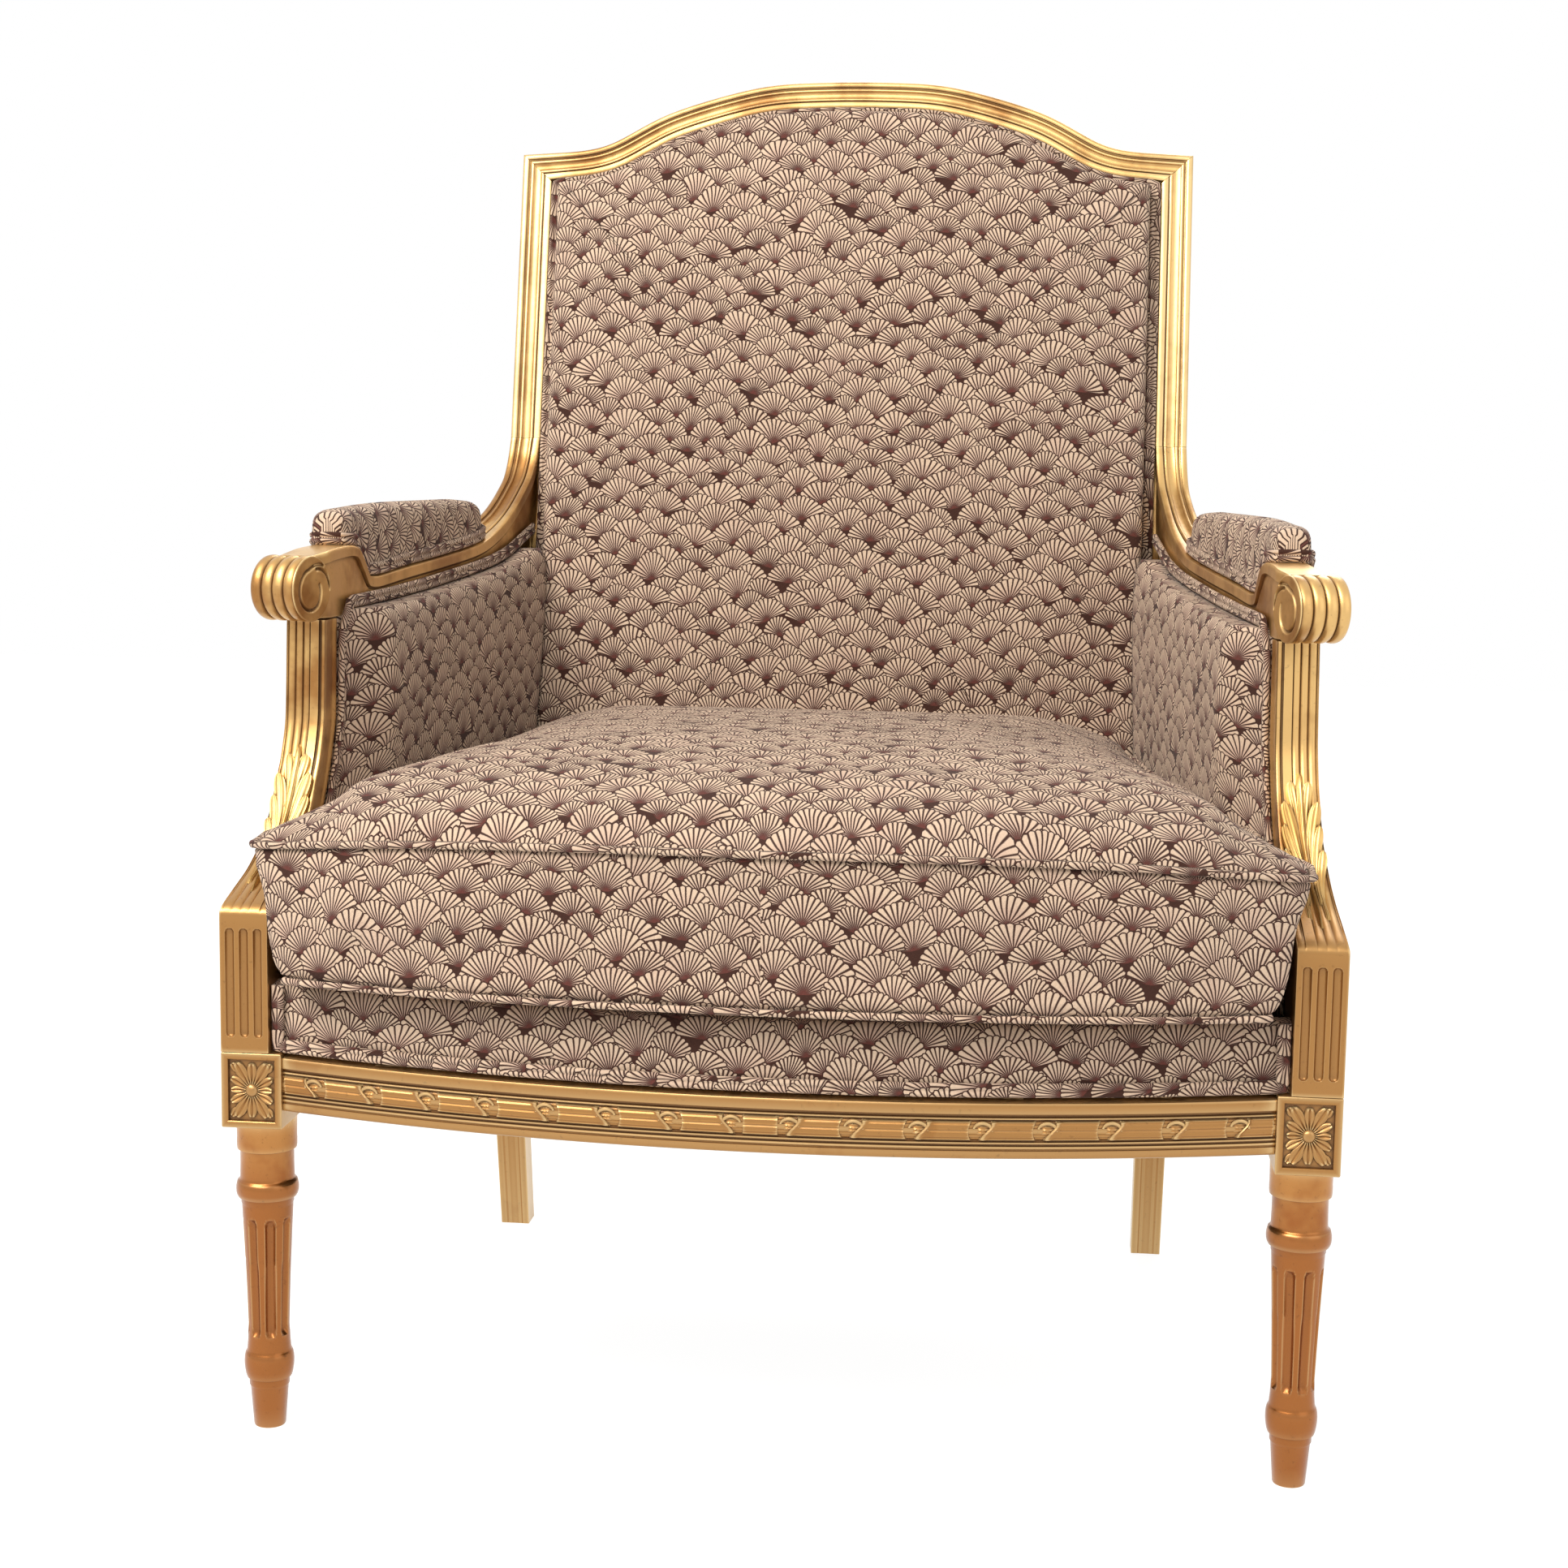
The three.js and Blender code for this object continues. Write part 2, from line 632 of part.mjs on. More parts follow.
function scroll() {
  const outline = [flat(0, -scrollLong / 2)];
  for (let i = 0; i < ridges; i++) {
    for (const [along, out] of ridgeShares) {
      outline.push(flat(out * scrollRadius, ((i + along) / ridges - 0.5) * scrollLong));
    }
  }
  outline.push(flat(ridgeShares[0][1] * scrollRadius, scrollLong / 2), flat(0, scrollLong / 2));
  const midX = (armOuterX(scrollY) + armInnerX(scrollY)) / 2;
  return new THREE.LatheGeometry(outline, 14).rotateZ(-Math.PI / 2).rotateZ(radians(scrollSplay))
    .translate(midX, scrollY, consoleTop + scrollRadius);
}

addPair('arm', joined([armBody(0), scroll()]), gilt);

// Back stiles. Each is one piece with a back leg, and its front is stepped back below the end of the arm.
const mitreAlong = (x) => cornerAlong - (rearHalfWidth - x) * mitreFall / mitreRun;
const rearLegShares = [[0, 0], [0.85, 0.93]];

function stile() {
  const lift = 2 * gap;
  const rearAt = (z) => backY(z, stileDeep);
  const level = (z, frontY, rearY, inset) => {
    const [innerX, outerX] = [stileInnerX + inset, rearHalfWidth - inset];
    const face = frameFaceShares.map(([side]) => vec(lerp(innerX, outerX, side), frontY, z));
    return [...face, vec(outerX, rearY, z), vec(innerX, rearY, z)];
  };
  const raked = (along, front, dip, mitre = false) => {
    const at = (x, behind) => onBack(x, mitre ? mitreAlong(x) - gap : along, behind);
    const face = frameFaceShares.map(([side, cutBack]) => (
      at(lerp(stileInnerX, rearHalfWidth, side), front + dip * cutBack * frameReedDeep)
    ));
    return [...face, at(rearHalfWidth, stileDeep), at(stileInnerX, stileDeep)];
  };
  const legRings = rearLegShares.map(([up, share]) => {
    const size = lerp(rearFootSize, stileWide, share);
    const frontY = lerp(rearFootY, rearBlockY + rearFootSize / 2, share);
    return level(up * legHigh, frontY, frontY + size, (stileWide - size) / 2);
  });
  const rings = [
    ...legRings,
    level(legHigh, rearBlockY, rearAt(legHigh), 0), level(railTop, rearBlockY, rearAt(railTop), 0),
    level(railTop + ledge, backY(railTop + ledge, stileRecess), rearAt(railTop + ledge), 0),
    raked(armJointAlong, stileRecess, 0), raked(armJointAlong + lift, 0, 1), raked(0, 0, 1, true),
  ];
  return loft(rings);
}

addPair('back_stile', stile(), gilt);

// Crest rail: share of the half length, share of the rise of its centre line
const crestShares = [
  [0, 1], [0.12, 0.99], [0.243, 0.965], [0.324, 0.9], [0.405, 0.81], [0.493, 0.695], [0.557, 0.6],
  [0.625, 0.47], [0.669, 0.345], [0.703, 0.25], [0.75, 0.145], [0.814, 0.068], [0.892, 0.035], [1, 0],
];
const crestHalfLong = rearHalfWidth - mitreRun / 2;
const crestFoot = cornerAlong - mitreFall / 2;
const crestLine = (x) => crestFoot + crestRise * readTable(crestShares, Math.abs(x) / crestHalfLong, 1);
const crestXs = [...crestShares.map(([out]) => -out * crestHalfLong).reverse(),
  ...crestShares.slice(1).map(([out]) => out * crestHalfLong)];

// The crest line offset toward the seat, for what follows the frame's inner edge
function crestOffset(x, offset) {
  const step = gap;
  const slope = (crestLine(x + step) - crestLine(x - step)) / (2 * step);
  const long = Math.hypot(1, slope);
  return [x + offset * slope / long, crestLine(x) - offset / long];
}

function crestRail() {
  const rings = crestXs.map((x, i) => {
    const end = i === 0 || i === crestXs.length - 1;
    const corner = (run, fall) => [Math.sign(x) * (rearHalfWidth - run), cornerAlong - fall];
    const outer = end ? corner(0, 0) : crestOffset(x, -crestWide / 2);
    const inner = end ? corner(mitreRun, mitreFall) : crestOffset(x, crestWide / 2);
    const at = (side, behind) => onBack(...[0, 1].map((k) => lerp(inner[k], outer[k], side)), behind);
    const face = frameFaceShares.map(([side, dip]) => at(side, dip * frameReedDeep));
    return [...face, at(1, stileDeep), at(0, stileDeep)];
  });
  return loft(rings);
}

addPiece('crest_rail', crestRail(), gilt);

function boxOnBack(wide, foot, high, front, thick) {
  const corners = [[-wide / 2, foot], [wide / 2, foot], [wide / 2, foot + high], [-wide / 2, foot + high]];
  return loft([front, front + thick].map((behind) => corners.map(([x, along]) => onBack(x, along, behind))));
}

const backSpan = 2 * (stileInnerX - gap);
const strapFront = stileRecess + gap;
const stayFront = strapFront + strapThick + gap;
const lowerBackRail = boxOnBack(backSpan, stayRailFoot, stayRailHigh, stayFront, stayRailThick);
addPiece('lower_back_rail', lowerBackRail, rawWood);

// Woven support: straps both ways, joined where they cross. The openings between them are cut from a plate.
function strapWeb(outline, boxX, boxY, across, along) {
  const plate = extruded(new THREE.Shape(outline), strapThick);
  const pitchX = (boxX[1] - boxX[0] - strapWide) / across;
  const pitchY = (boxY[1] - boxY[0] - strapWide) / along;
  const openings = [];
  for (let i = 0; i < across; i++) {
    for (let j = 0; j < along; j++) {
      const opening = new THREE.BoxGeometry(pitchX - strapWide, pitchY - strapWide, strapThick + 2 * overrun);
      const midX = boxX[0] + strapWide / 2 + (i + 0.5) * pitchX;
      const midY = boxY[0] + strapWide / 2 + (j + 0.5) * pitchY;
      openings.push(opening.translate(midX, midY, strapThick / 2));
    }
  }
  return cut(plate, openings);
}

// Plan of the cloths that lie on the seat frame, right half, from the front to the back
const clothInset = 12;
const clothFrontX = blockInnerX - 2 * overrun;
const clothFrontShares = [0, 0.2, 0.4, 0.6, 0.8, 1];
const clothFrontLine = (inset) => clothFrontShares.map((share) => (
  flat(share * clothFrontX, railFrontY(share * clothFrontX) + inset)
));

function seatClothPlan() {
  const half = clothFrontLine(clothInset);
  const behindBlock = blockRearY + overrun;
  const rearY = rearBlockY - overrun;
  half.push(
    flat(clothFrontX, behindBlock), flat(railOuterX(behindBlock) - clothInset, behindBlock),
    flat(railOuterX(rearY) - clothInset, rearY), flat(stileInnerX - overrun, rearY),
    flat(stileInnerX - overrun, backRailFrontY + clothInset),
  );
  const other = half.slice(1).reverse().map((p) => flat(-p.x, p.y));
  return [...half, ...other];
}

const strapReachX = rearHalfWidth - railThick;
const seatWeb = strapWeb(
  seatClothPlan(), [-strapReachX, strapReachX], [blockRearY, rearBlockY], seatStrapsAcross, seatStrapsAlong,
);
addPiece('seat_webbing', seatWeb.translate(0, 0, railTop + gap), jute);
const hessianFoot = railTop + strapThick + 2 * gap;
const hessian = extruded(new THREE.Shape(seatClothPlan()), hessianThick).translate(0, 0, hessianFoot);
addPiece('seat_hessian', hessian, jute);

function dustCover() {
  const inset = railThick / 2;
  const half = clothFrontLine(inset);
  const behindBlock = blockRearY + overrun;
  const rearY = rearBlockY - overrun;
  half.push(flat(clothFrontX, behindBlock), flat(railOuterX(behindBlock) - inset, behindBlock));
  half.push(flat(railOuterX(rearY) - inset, rearY), flat(stileInnerX - overrun, rearY));
  half.push(flat(stileInnerX - overrun, backRailFrontY + inset));
  const other = half.slice(1).reverse().map((p) => flat(-p.x, p.y));
  const plan = new THREE.Shape([...half, ...other]);
  return extruded(plan, dustCoverThick).translate(0, 0, railFoot - gap - dustCoverThick);
}

addPiece('dust_cover', dustCover(), blackCloth);

// Pieces drawn flat on the leaning back are stood up on it
function stoodOnBack(geometry, behind) {
  geometry.rotateX(Math.PI / 2 - radians(backRake));
  const foot = onBack(0, 0, behind);
  return geometry.translate(0, foot.y, foot.z);
}

// Outline inside the back frame, a given distance from its inner edge, from the foot up and round
function backOutline(inset, foot) {
  const side = stileInnerX - inset;
  const offset = crestWide / 2 + inset;
  const xs = crestXs.slice(1, -1).filter((x) => Math.abs(x) < side - inset);
  const arch = xs.map((x) => flat(...crestOffset(x, offset))).filter((p) => Math.abs(p.x) < side - overrun);
  const shoulder = crestOffset(crestXs[crestXs.length - 2], offset)[1] - overrun;
  return [flat(-side, foot), flat(-side, shoulder), ...arch, flat(side, shoulder), flat(side, foot)];
}

const backStrapsTop = crestFoot - crestWide;
const backStrapOutline = [
  flat(-stileInnerX + gap, backPadFoot), flat(stileInnerX - gap, backPadFoot),
  flat(stileInnerX - gap, backStrapsTop), flat(-stileInnerX + gap, backStrapsTop),
];
const backStrapSpan = [backPadFoot, backStrapsTop];
const backWeb = strapWeb(
  backStrapOutline, [-stileInnerX, stileInnerX], backStrapSpan, backStrapsAcross, backStrapsAlong,
);
addPiece('back_webbing', stoodOnBack(backWeb, strapFront + strapThick), jute);

// Outward directions along a closed outline of flat points
function outwards(outline) {
  const middle = outline.reduce((sum, p) => sum.add(p), flat(0, 0)).divideScalar(outline.length);
  return outline.map((p, i) => {
    const along = outline[(i + 1) % outline.length].clone().sub(outline.at(i - 1)).normalize();
    const out = flat(along.y, -along.x);
    return out.dot(p.clone().sub(middle)) < 0 ? out.negate() : out;
  });
}

// Stuffed solid over a flat outline. Each level is a share of the height and a share of the depth that it
// lies in from the outline. Smaller rings close the crown and, where it has any, the belly.
function stuffed(outline, place, depth, levelShares, crownRings, bellyRings = []) {
  const centre = outline.reduce((sum, p) => sum.add(p), flat(0, 0)).divideScalar(outline.length);
  const out = outwards(outline);
  const ring = (up, share, scale = 1, dome = 0) => outline.map((p, i) => {
    const inset = share * depth;
    return place(p.clone().addScaledVector(out[i], -inset).lerp(centre, 1 - scale), up, dome, inset);
  });
  const [lowest, highest] = [levelShares[0], levelShares[levelShares.length - 1]];
  return loft([
    ...bellyRings.map(([scale, dome]) => ring(...lowest, scale, dome)),
    ...levelShares.map((level) => ring(...level)),
    ...crownRings.map(([scale, dome]) => ring(...highest, scale, dome)),
  ]);
}

const crownShares = [[0.9, 0.25], [0.72, 0.62], [0.5, 0.87], [0.25, 0.98]];

// Inside back: it stands proud of the frame, with steep sides and soft edges
const backWeltRoom = weltWide + 2 * gap;
const backPadLevelShares = [[0, 0], [0.8, 0], [0.93, 0.3], [1, 1]];
const backPadDepth = backPadProud + stileRecess;
const backPad = stuffed(
  backOutline(backWeltRoom, backPadFoot),
  (p, up, dome) => onBack(p.x, p.y, stileRecess - up * backPadDepth - dome * backPadCrown),
  backPadRounding, backPadLevelShares, crownShares,
);
addPiece('back_pad', backPad, fabric);

const outsideFront = stayFront + stayRailThick + gap;
const outsideLevelShares = [[0, 0], [0.6, 0], [1, 1]];
const outsideThick = stileDeep - outsideFront;
const outsideBack = stuffed(
  backOutline(backWeltRoom, backPadFoot),
  (p, up, dome) => onBack(p.x, p.y, outsideFront + up * outsideThick + dome * gap),
  outsideRounding, outsideLevelShares, crownShares.slice(0, 2),
);
addPiece('outside_back', outsideBack, fabric);

function backWelt(behind, foot) {
  const outline = backOutline(gap + weltWide / 2, foot);
  const path = outline.map((p) => onBack(p.x, p.y, behind));
  const normal = onBack(0, 0, -1).sub(onBack(0, 0, 0));
  return strip(path, path.map(() => normal), weltWide, weltThick);
}

addPiece('back_welt', backWelt(0, backPadFoot), fabric);
addPiece('outside_back_welt', backWelt(stileDeep - weltThick / 2, backPadFoot), fabric);

// Front border on the front rail
const borderRunShares = [0, 0.125, 0.25, 0.375, 0.5, 0.625, 0.75, 0.875];

function frontBorder() {
  const half = [...borderRunShares.map((share) => share * blockInnerX), blockInnerX, plinthInnerX - gap];
  const xs = [...half.slice(1).reverse().map((x) => -x), ...half];
  const sectionShares = [[0, 0.06], [0, 0.75], [0.1, 0.95], [0.3, 1], [0.8, 1], [1, 0.9], [1, 0]];
  const rings = xs.map((x) => {
    const frontY = railFrontY(THREE.MathUtils.clamp(x, -blockInnerX, blockInnerX)) + borderInset;
    const at = (back, up) => vec(x, frontY + back * borderThick, stuffingFoot + up * borderHigh);
    return [vec(x, frontY + gap, stuffingFoot), ...sectionShares.map(([back, up]) => at(back, up))];
  });
  return loft(rings);
}

function borderWelt() {
  const endX = plinthInnerX - weltWide / 2 - 2 * gap;
  const foot = blockTop + gap + weltWide / 2;
  const run = [...borderRunShares.map((share) => vec(share * blockInnerX, 0, foot)), vec(endX, 0, foot)];
  const rise = [0.35, 1].map((share) => vec(endX, 0, lerp(foot, stuffingFoot + borderHigh, share)));
  const right = [...run, ...rise].map((p) => (
    p.setY(railFrontY(Math.min(p.x, blockInnerX)) + borderInset - weltThick / 2 - 3 * gap)
  ));
  const left = right.slice(1).reverse().map((p) => vec(-p.x, p.y, p.z));
  const path = [...left, ...right];
  const slope = (x) => 2 * railBow * THREE.MathUtils.clamp(x, -blockInnerX, blockInnerX) / blockInnerX ** 2;
  return strip(path, path.map((p) => vec(slope(p.x), -1, 0)), weltWide, weltThick);
}

addPiece('front_border', frontBorder(), fabric);
addPiece('border_welt', borderWelt(), fabric);

// Plan line of the inside arm face, from the console to the back
const joueFrontX = frontHalfWidth - joueFrontInset;
const joueRearX = rearHalfWidth - joueRearInset;
const joueFaceX = (y) => lerp(joueFrontX, joueRearX, (y - joueFrontY) / (joueRearY - joueFrontY));
const coverX = (y) => railOuterX(Math.min(y, sideRailEndY)) - jouePlanCover;

// Outside cover and lining of an arm: upright sheets between the console, the side rail, the stile and the
// arm
const sheetFoot = railTop + ledge + gap;
const sheetLevels = [sheetFoot, ...consoleShares.slice(0, -1).map(([up]) => plinthTop + up * consoleHigh)];
const sheetStationShares = [0.2656, 0.55, 0.697, 0.794];
const armFrontY = (z) => consoleBackY(z) + gap;
const armRearY = (z) => backY(z, stileRecess) - gap;

function armSheet(inset, thick) {
  const frontTop = armUnder(armFrontY(consoleTop)) - ledge;
  const rearTop = armUnder(armRearY(armLow)) - ledge;
  const stations = [
    { top: frontTop, y: armFrontY },
    ...sheetStationShares.map((share) => ({ top: armUnder(armY(share)) - ledge, y: () => armY(share) })),
    { top: rearTop, y: armRearY },
  ];
  return loft(stations.map(({ top, y }) => {
    const levels = [...sheetLevels, top];
    const line = (side) => levels.map((z) => vec(coverX(y(z)) - inset - side * thick, y(z), z));
    return [...line(0), ...line(1).reverse()];
  }), false, true);
}

addPair('outer_arm_cover', armSheet(0, coverThick), fabric);
addPair('arm_lining', armSheet(coverThick + gap, liningThick), jute);

// Inside arm panel, section by section from the console to the back. Each section's inner face is soft at its
// edges: share of the height, and the share of the rounding that this point lies in from the face
const jouePadSide = coverThick + liningThick + 2 * gap + 2 * overrun;
const joueSectionShares = [[1, 1], [0.93, 0.22], [0.8, 0], [0.5, 0], [0.3, 0], [0.06, 0.1], [0, 0.65]];
const joueRearFaceY = (z) => backY(z, -backPadProud - backPadCrown) - gap;
const joueStationShares = [0.39, 0.55, 0.697, 0.76];

function insideArm() {
  const stepX = stileInnerX + 2 * gap;
  const section = (innerX, yAt, topY, soft = 1) => {
    const top = armUnder(topY) - gap;
    const at = (x, up) => {
      const z = lerp(stuffingFoot, top, up);
      return vec(x(z), yAt(z), z);
    };
    const outer = (z) => coverX(Math.max(yAt(z), armFrontY(z))) - jouePadSide;
    const face = joueSectionShares.map(([up, inset]) => (
      at((z) => Math.min(innerX(z) + inset * joueRounding * soft, outer(z) - overrun), up)
    ));
    return [at(outer, 0), at(outer, 0.5), at(outer, 1), ...face];
  };
  const rearSeatY = (z) => armRearY(z) - gap;
  const frontTopY = armFrontY(consoleTop);
  const rings = [
    section((z) => consoleInnerX(z) + overrun, armFrontY, frontTopY, 0),
    section((z) => consoleInnerX(z) + overrun, (z) => armFrontY(z) + weltWide, frontTopY + weltWide, 0.3),
    section(() => joueFrontX + overrun, () => joueFrontY - weltThick, joueFrontY),
    section(() => joueFaceX(joueFrontY + weltThick), () => joueFrontY + weltThick, joueFrontY + weltThick),
    ...joueStationShares.map(armY).map((y) => section(() => joueFaceX(y), () => y, y)),
    section((z) => joueFaceX(joueRearFaceY(z)), joueRearFaceY, joueRearY),
    section(() => stepX, (z) => joueRearFaceY(z) + gap, joueRearY, 0),
    section(() => stepX, rearSeatY, rearSeatY(armLow), 0),
  ];
  return cut(loft(rings), [armBody(gap), armSupportBody(gap)]);
}

addPair('inside_arm', insideArm(), fabric);

// Welt up the console's inner edge and back under the arm
const armWeltShares = [0.128, 0.19, 0.255, 0.35, 0.42, 0.494, 0.6, 0.697, 0.784, 0.853, 0.919, 0.945];

function insideArmWelt() {
  const path = [];
  const normals = [];
  const push = (point, normal) => {
    path.push(point);
    normals.push(normal);
  };
  const uprightShares = [0.28, 0.42, 0.52, 0.62, 0.8, 0.96];
  for (const share of uprightShares) {
    const z = lerp(blockTop, consoleTop, share);
    push(vec(consoleInnerX(z) - weltThick / 2 - 3 * gap, consoleBackY(z) - weltWide * 0.1, z), vec(-1, 0, 0));
  }
  const step = gap;
  for (const share of armWeltShares) {
    const y = armY(share);
    const slope = (armInnerX(y + step) - armInnerX(y - step)) / (2 * step);
    const normal = vec(-1, slope, 0).normalize();
    const onFace = vec(armInnerX(y), y, armUnder(y) + weltWide / 2 + 2 * gap);
    push(onFace.addScaledVector(normal, weltThick / 2 + 3 * gap), normal);
  }
  return strip(path, normals, weltWide, weltThick);
}

addPair('inside_arm_welt', insideArmWelt(), fabric);

// Arm pad and the welt round its foot. Section: share of the width, share of the height
const padSectionShares = [
  [0, 0], [0, 0.62], [0.06, 0.82], [0.22, 0.96], [0.5, 1], [0.78, 0.96], [0.94, 0.82], [1, 0.62], [1, 0],
];
// Stations: share of the length, share of the height, how far the corners are rounded in
const padStationShares = [
  [0, 0.62, 0.24], [0.015, 0.76, 0.1], [0.04, 0.88, 0.03], [0.09, 0.96, 0], [0.15, 1, 0], [0.3, 1, 0],
  [0.55, 1, 0], [0.8, 1, 0], [0.94, 0.95, 0.02], [0.98, 0.85, 0.08], [1, 0.65, 0.24],
];
const padRise = 2.6;
const padY = (along) => lerp(padStart, padEnd, along);
const padTopZ = (along) => (
  lerp(armTop(padStart) + padHigh / 2, armLow + padHigh + weltThick, Math.min(along * padRise, 1))
);

function padEdges(along, nip) {
  const inner = armInnerX(padY(along)) + padSideInset;
  const outer = armOuterX(padY(along)) - padSideInset;
  return [lerp(inner, outer, nip), lerp(inner, outer, 1 - nip)];
}

function armPad() {
  const rings = padStationShares.map(([along, swell, nip]) => {
    const foot = armTop(padY(along)) + gap;
    const top = foot + (padTopZ(along) - foot) * swell;
    const [inner, outer] = padEdges(along, nip);
    const at = ([side, up]) => vec(lerp(inner, outer, side), padY(along), lerp(foot, top, up));
    return padSectionShares.map(at);
  });
  return cut(loft(rings), [armBody(gap)]);
}

function armPadWelt() {
  const inner = padStationShares.map(([along, , nip]) => flat(padEdges(along, nip)[0], padY(along)));
  const outer = padStationShares.map(([along, , nip]) => flat(padEdges(along, nip)[1], padY(along)));
  const outline = [...inner, ...outer.reverse()];
  const out = outwards(outline);
  const path = outline.map((p, i) => {
    const q = p.clone().addScaledVector(out[i], weltThick / 2 + gap);
    return vec(q.x, q.y, armTop(q.y) + weltWide / 2 + overrun);
  });
  const welt = strip(path, out.map((o) => vec(o.x, o.y, 0)), weltWide, weltThick, true);
  return cut(welt, [armBody(gap)]);
}

addPair('arm_pad', armPad(), fabric);
addPair('arm_pad_welt', armPadWelt(), fabric);

// Seat platform under the cushion
const deckLevelShares = [[0, 0], [0.85, 0], [1, 1]];
const deckMidShare = 0.7;

function seatDeck() {
  const half = [0, 0.3, 0.6, 0.85, 1].map((share) => {
    const x = (consoleInnerX(consoleTop) - weltWide) * share;
    return flat(x, railFrontY(x) + borderInset + borderThick + gap);
  });
  const clear = weltThick;
  const midY = joueRearY * deckMidShare;
  const rearY = joueRearFaceY(stuffingFoot);
  half.push(
    flat(consoleInnerX(consoleTop) - weltWide, blockRearY + weltWide),
    flat(joueFrontX - clear, joueFrontY), flat(joueFaceX(midY) - clear, midY),
    flat(joueFaceX(backY(stuffingFoot, -backPadProud) - clear) - clear, rearY), flat(0, rearY),
  );
  const other = half.slice(1, -1).reverse().map((p) => flat(-p.x, p.y));
  const place = (p, up) => vec(p.x, p.y, stuffingFoot + up * deckHigh);
  return stuffed([...half, ...other], place, deckRounding, deckLevelShares, [[0.5, 0]]);
}

addPiece('seat_deck', seatDeck(), fabric);

// Loose cushion, with ears in front of the consoles and a neck between them
const cushionHalfWidth = frontHalfWidth - cushionEarInset;
const cushionFrontY = blockFrontY - cushionProud;
const cushionNeckX = consoleInnerX(consoleTop) - cushionNeckClear;
const cushionRearTop = cushionFoot + cushionHigh + cushionRearLift;
const cushionRearY = backY(cushionRearTop, -backPadProud - backPadCrown) - cushionBackClear;
// Front and ear: share of the half width, share of the way from the front to the neck
const cushionEarShares = [
  [0, 0], [0.239, 0.016], [0.477, 0.065], [0.716, 0.156], [0.875, 0.247], [0.96, 0.325], [0.995, 0.416],
  [1, 0.52], [0.984, 0.66], [0.952, 0.79],
];
// Neck: share of the way from the neck out to the ear, share of the way from the front to the neck
const cushionNeckShares = [[0.18, 0.883], [0, 1]];
const cushionSideShares = [0.11, 0.375, 0.557, 0.73, 0.91];
// Rear corner: shares of its size, in from the side and forward from the rear
const cushionCornerShares = [[0.33, 0.4], [0.9, 0.067]];
const cushionSideX = (y) => joueFaceX(y) - cushionSideClear;

function cushionHalf() {
  const frontAt = (out, back) => flat(out, lerp(cushionFrontY, cushionNeckY, back));
  const sideYs = cushionSideShares.map((share) => lerp(cushionNeckY, cushionRearY, share));
  const endX = cushionSideX(sideYs[sideYs.length - 1]);
  return [
    ...cushionEarShares.map(([out, back]) => frontAt(out * cushionHalfWidth, back)),
    ...cushionNeckShares.map(([out, back]) => frontAt(lerp(cushionNeckX, cushionHalfWidth, out), back)),
    ...sideYs.map((y) => flat(Math.min(cushionSideX(y), cushionNeckX), y)),
    ...cushionCornerShares.map(([inward, forward]) => (
      flat(endX - inward * cushionCorner, cushionRearY - forward * cushionCorner)
    )),
    flat(endX / 2, cushionRearY), flat(0, cushionRearY),
  ];
}

const cushionRight = cushionHalf();
const cushionOutline = [...cushionRight, ...cushionRight.slice(1, -1).reverse().map((p) => flat(-p.x, p.y))];
const earBottomShare = 0.09;
const earTopShare = 0.19;
const earBottom = plinthTop + consoleHigh * earBottomShare;
const earTop = plinthTop + consoleHigh * earTopShare;

// Top of the boxing, which rises a little toward the back and sinks toward the front corners
function boxingTop(p) {
  const back = THREE.MathUtils.clamp((p.y - cushionFrontY) / (cushionRearY - cushionFrontY), 0, 1);
  const side = Math.min(Math.abs(p.x) / cushionHalfWidth, 1);
  return cushionFoot + cushionHigh + cushionRearLift * back - cushionCornerDroop * side ** 3 * (1 - back);
}

// Keeps the lower part between the plinths and lays the back edge against the leaning back
function cushionPlace(p, z, inset) {
  const squeeze = THREE.MathUtils.clamp((earTop - z) / (earTop - earBottom), 0, 1);
  const limit = lerp(cushionHalfWidth, plinthInnerX - cushionEarClear, squeeze) - inset;
  const x = THREE.MathUtils.clamp(p.x, -limit, limit);
  const behind = THREE.MathUtils.smoothstep(p.y, (cushionFrontY + cushionRearY) / 2, cushionRearY);
  return vec(x, p.y - behind * (cushionRearTop - z) * tanRake, z);
}

const cushionBellyShares = [[0.4, -1], [0.8, -0.85]];
const cushionCrownShares = [[0.95, 0.14], [0.86, 0.4], [0.72, 0.68], [0.54, 0.88], [0.3, 0.98], [0.1, 1]];
const cushionLevelShares = [
  [0, 3.1], [0.015, 1], [0.055, 1], [0.075, 0.2], [0.25, 0], [0.5, 0], [0.65, 0], [0.82, 0], [0.945, 0.2],
  [0.96, 1], [1, 1],
];

function cushion() {
  const place = (p, up, dome, inset) => {
    const edge = cushionFoot + up * (boxingTop(p) - cushionFoot);
    return cushionPlace(p, edge + dome * (dome > 0 ? cushionCrown : cushionBelly), inset);
  };
  const crownRings = cushionCrownShares;
  return stuffed(cushionOutline, place, cushionNip, cushionLevelShares, crownRings, cushionBellyShares);
}

function cushionPiping(up) {
  const out = outwards(cushionOutline);
  const inset = pipingRadius / 5;
  const path = cushionOutline.map((p, i) => {
    const z = cushionFoot + up * (boxingTop(p) - cushionFoot);
    return cushionPlace(p.clone().addScaledVector(out[i], -inset), z, inset);
  });
  return strip(path, out.map((o) => vec(o.x, o.y, 0)), 2 * pipingRadius, 2 * pipingRadius, true);
}

addPiece('seat_cushion', cushion(), fabric);
addPiece('cushion_piping_top', cushionPiping(0.982), fabric);
addPiece('cushion_piping_bottom', cushionPiping(0.032), fabric);

// The origin is on the floor under the middle of the chair
const box = new THREE.Box3().setFromObject(chair);
chair.position.y = -(box.min.y + box.max.y) / 2;
chair.updateMatrixWorld(true);

export default chair;
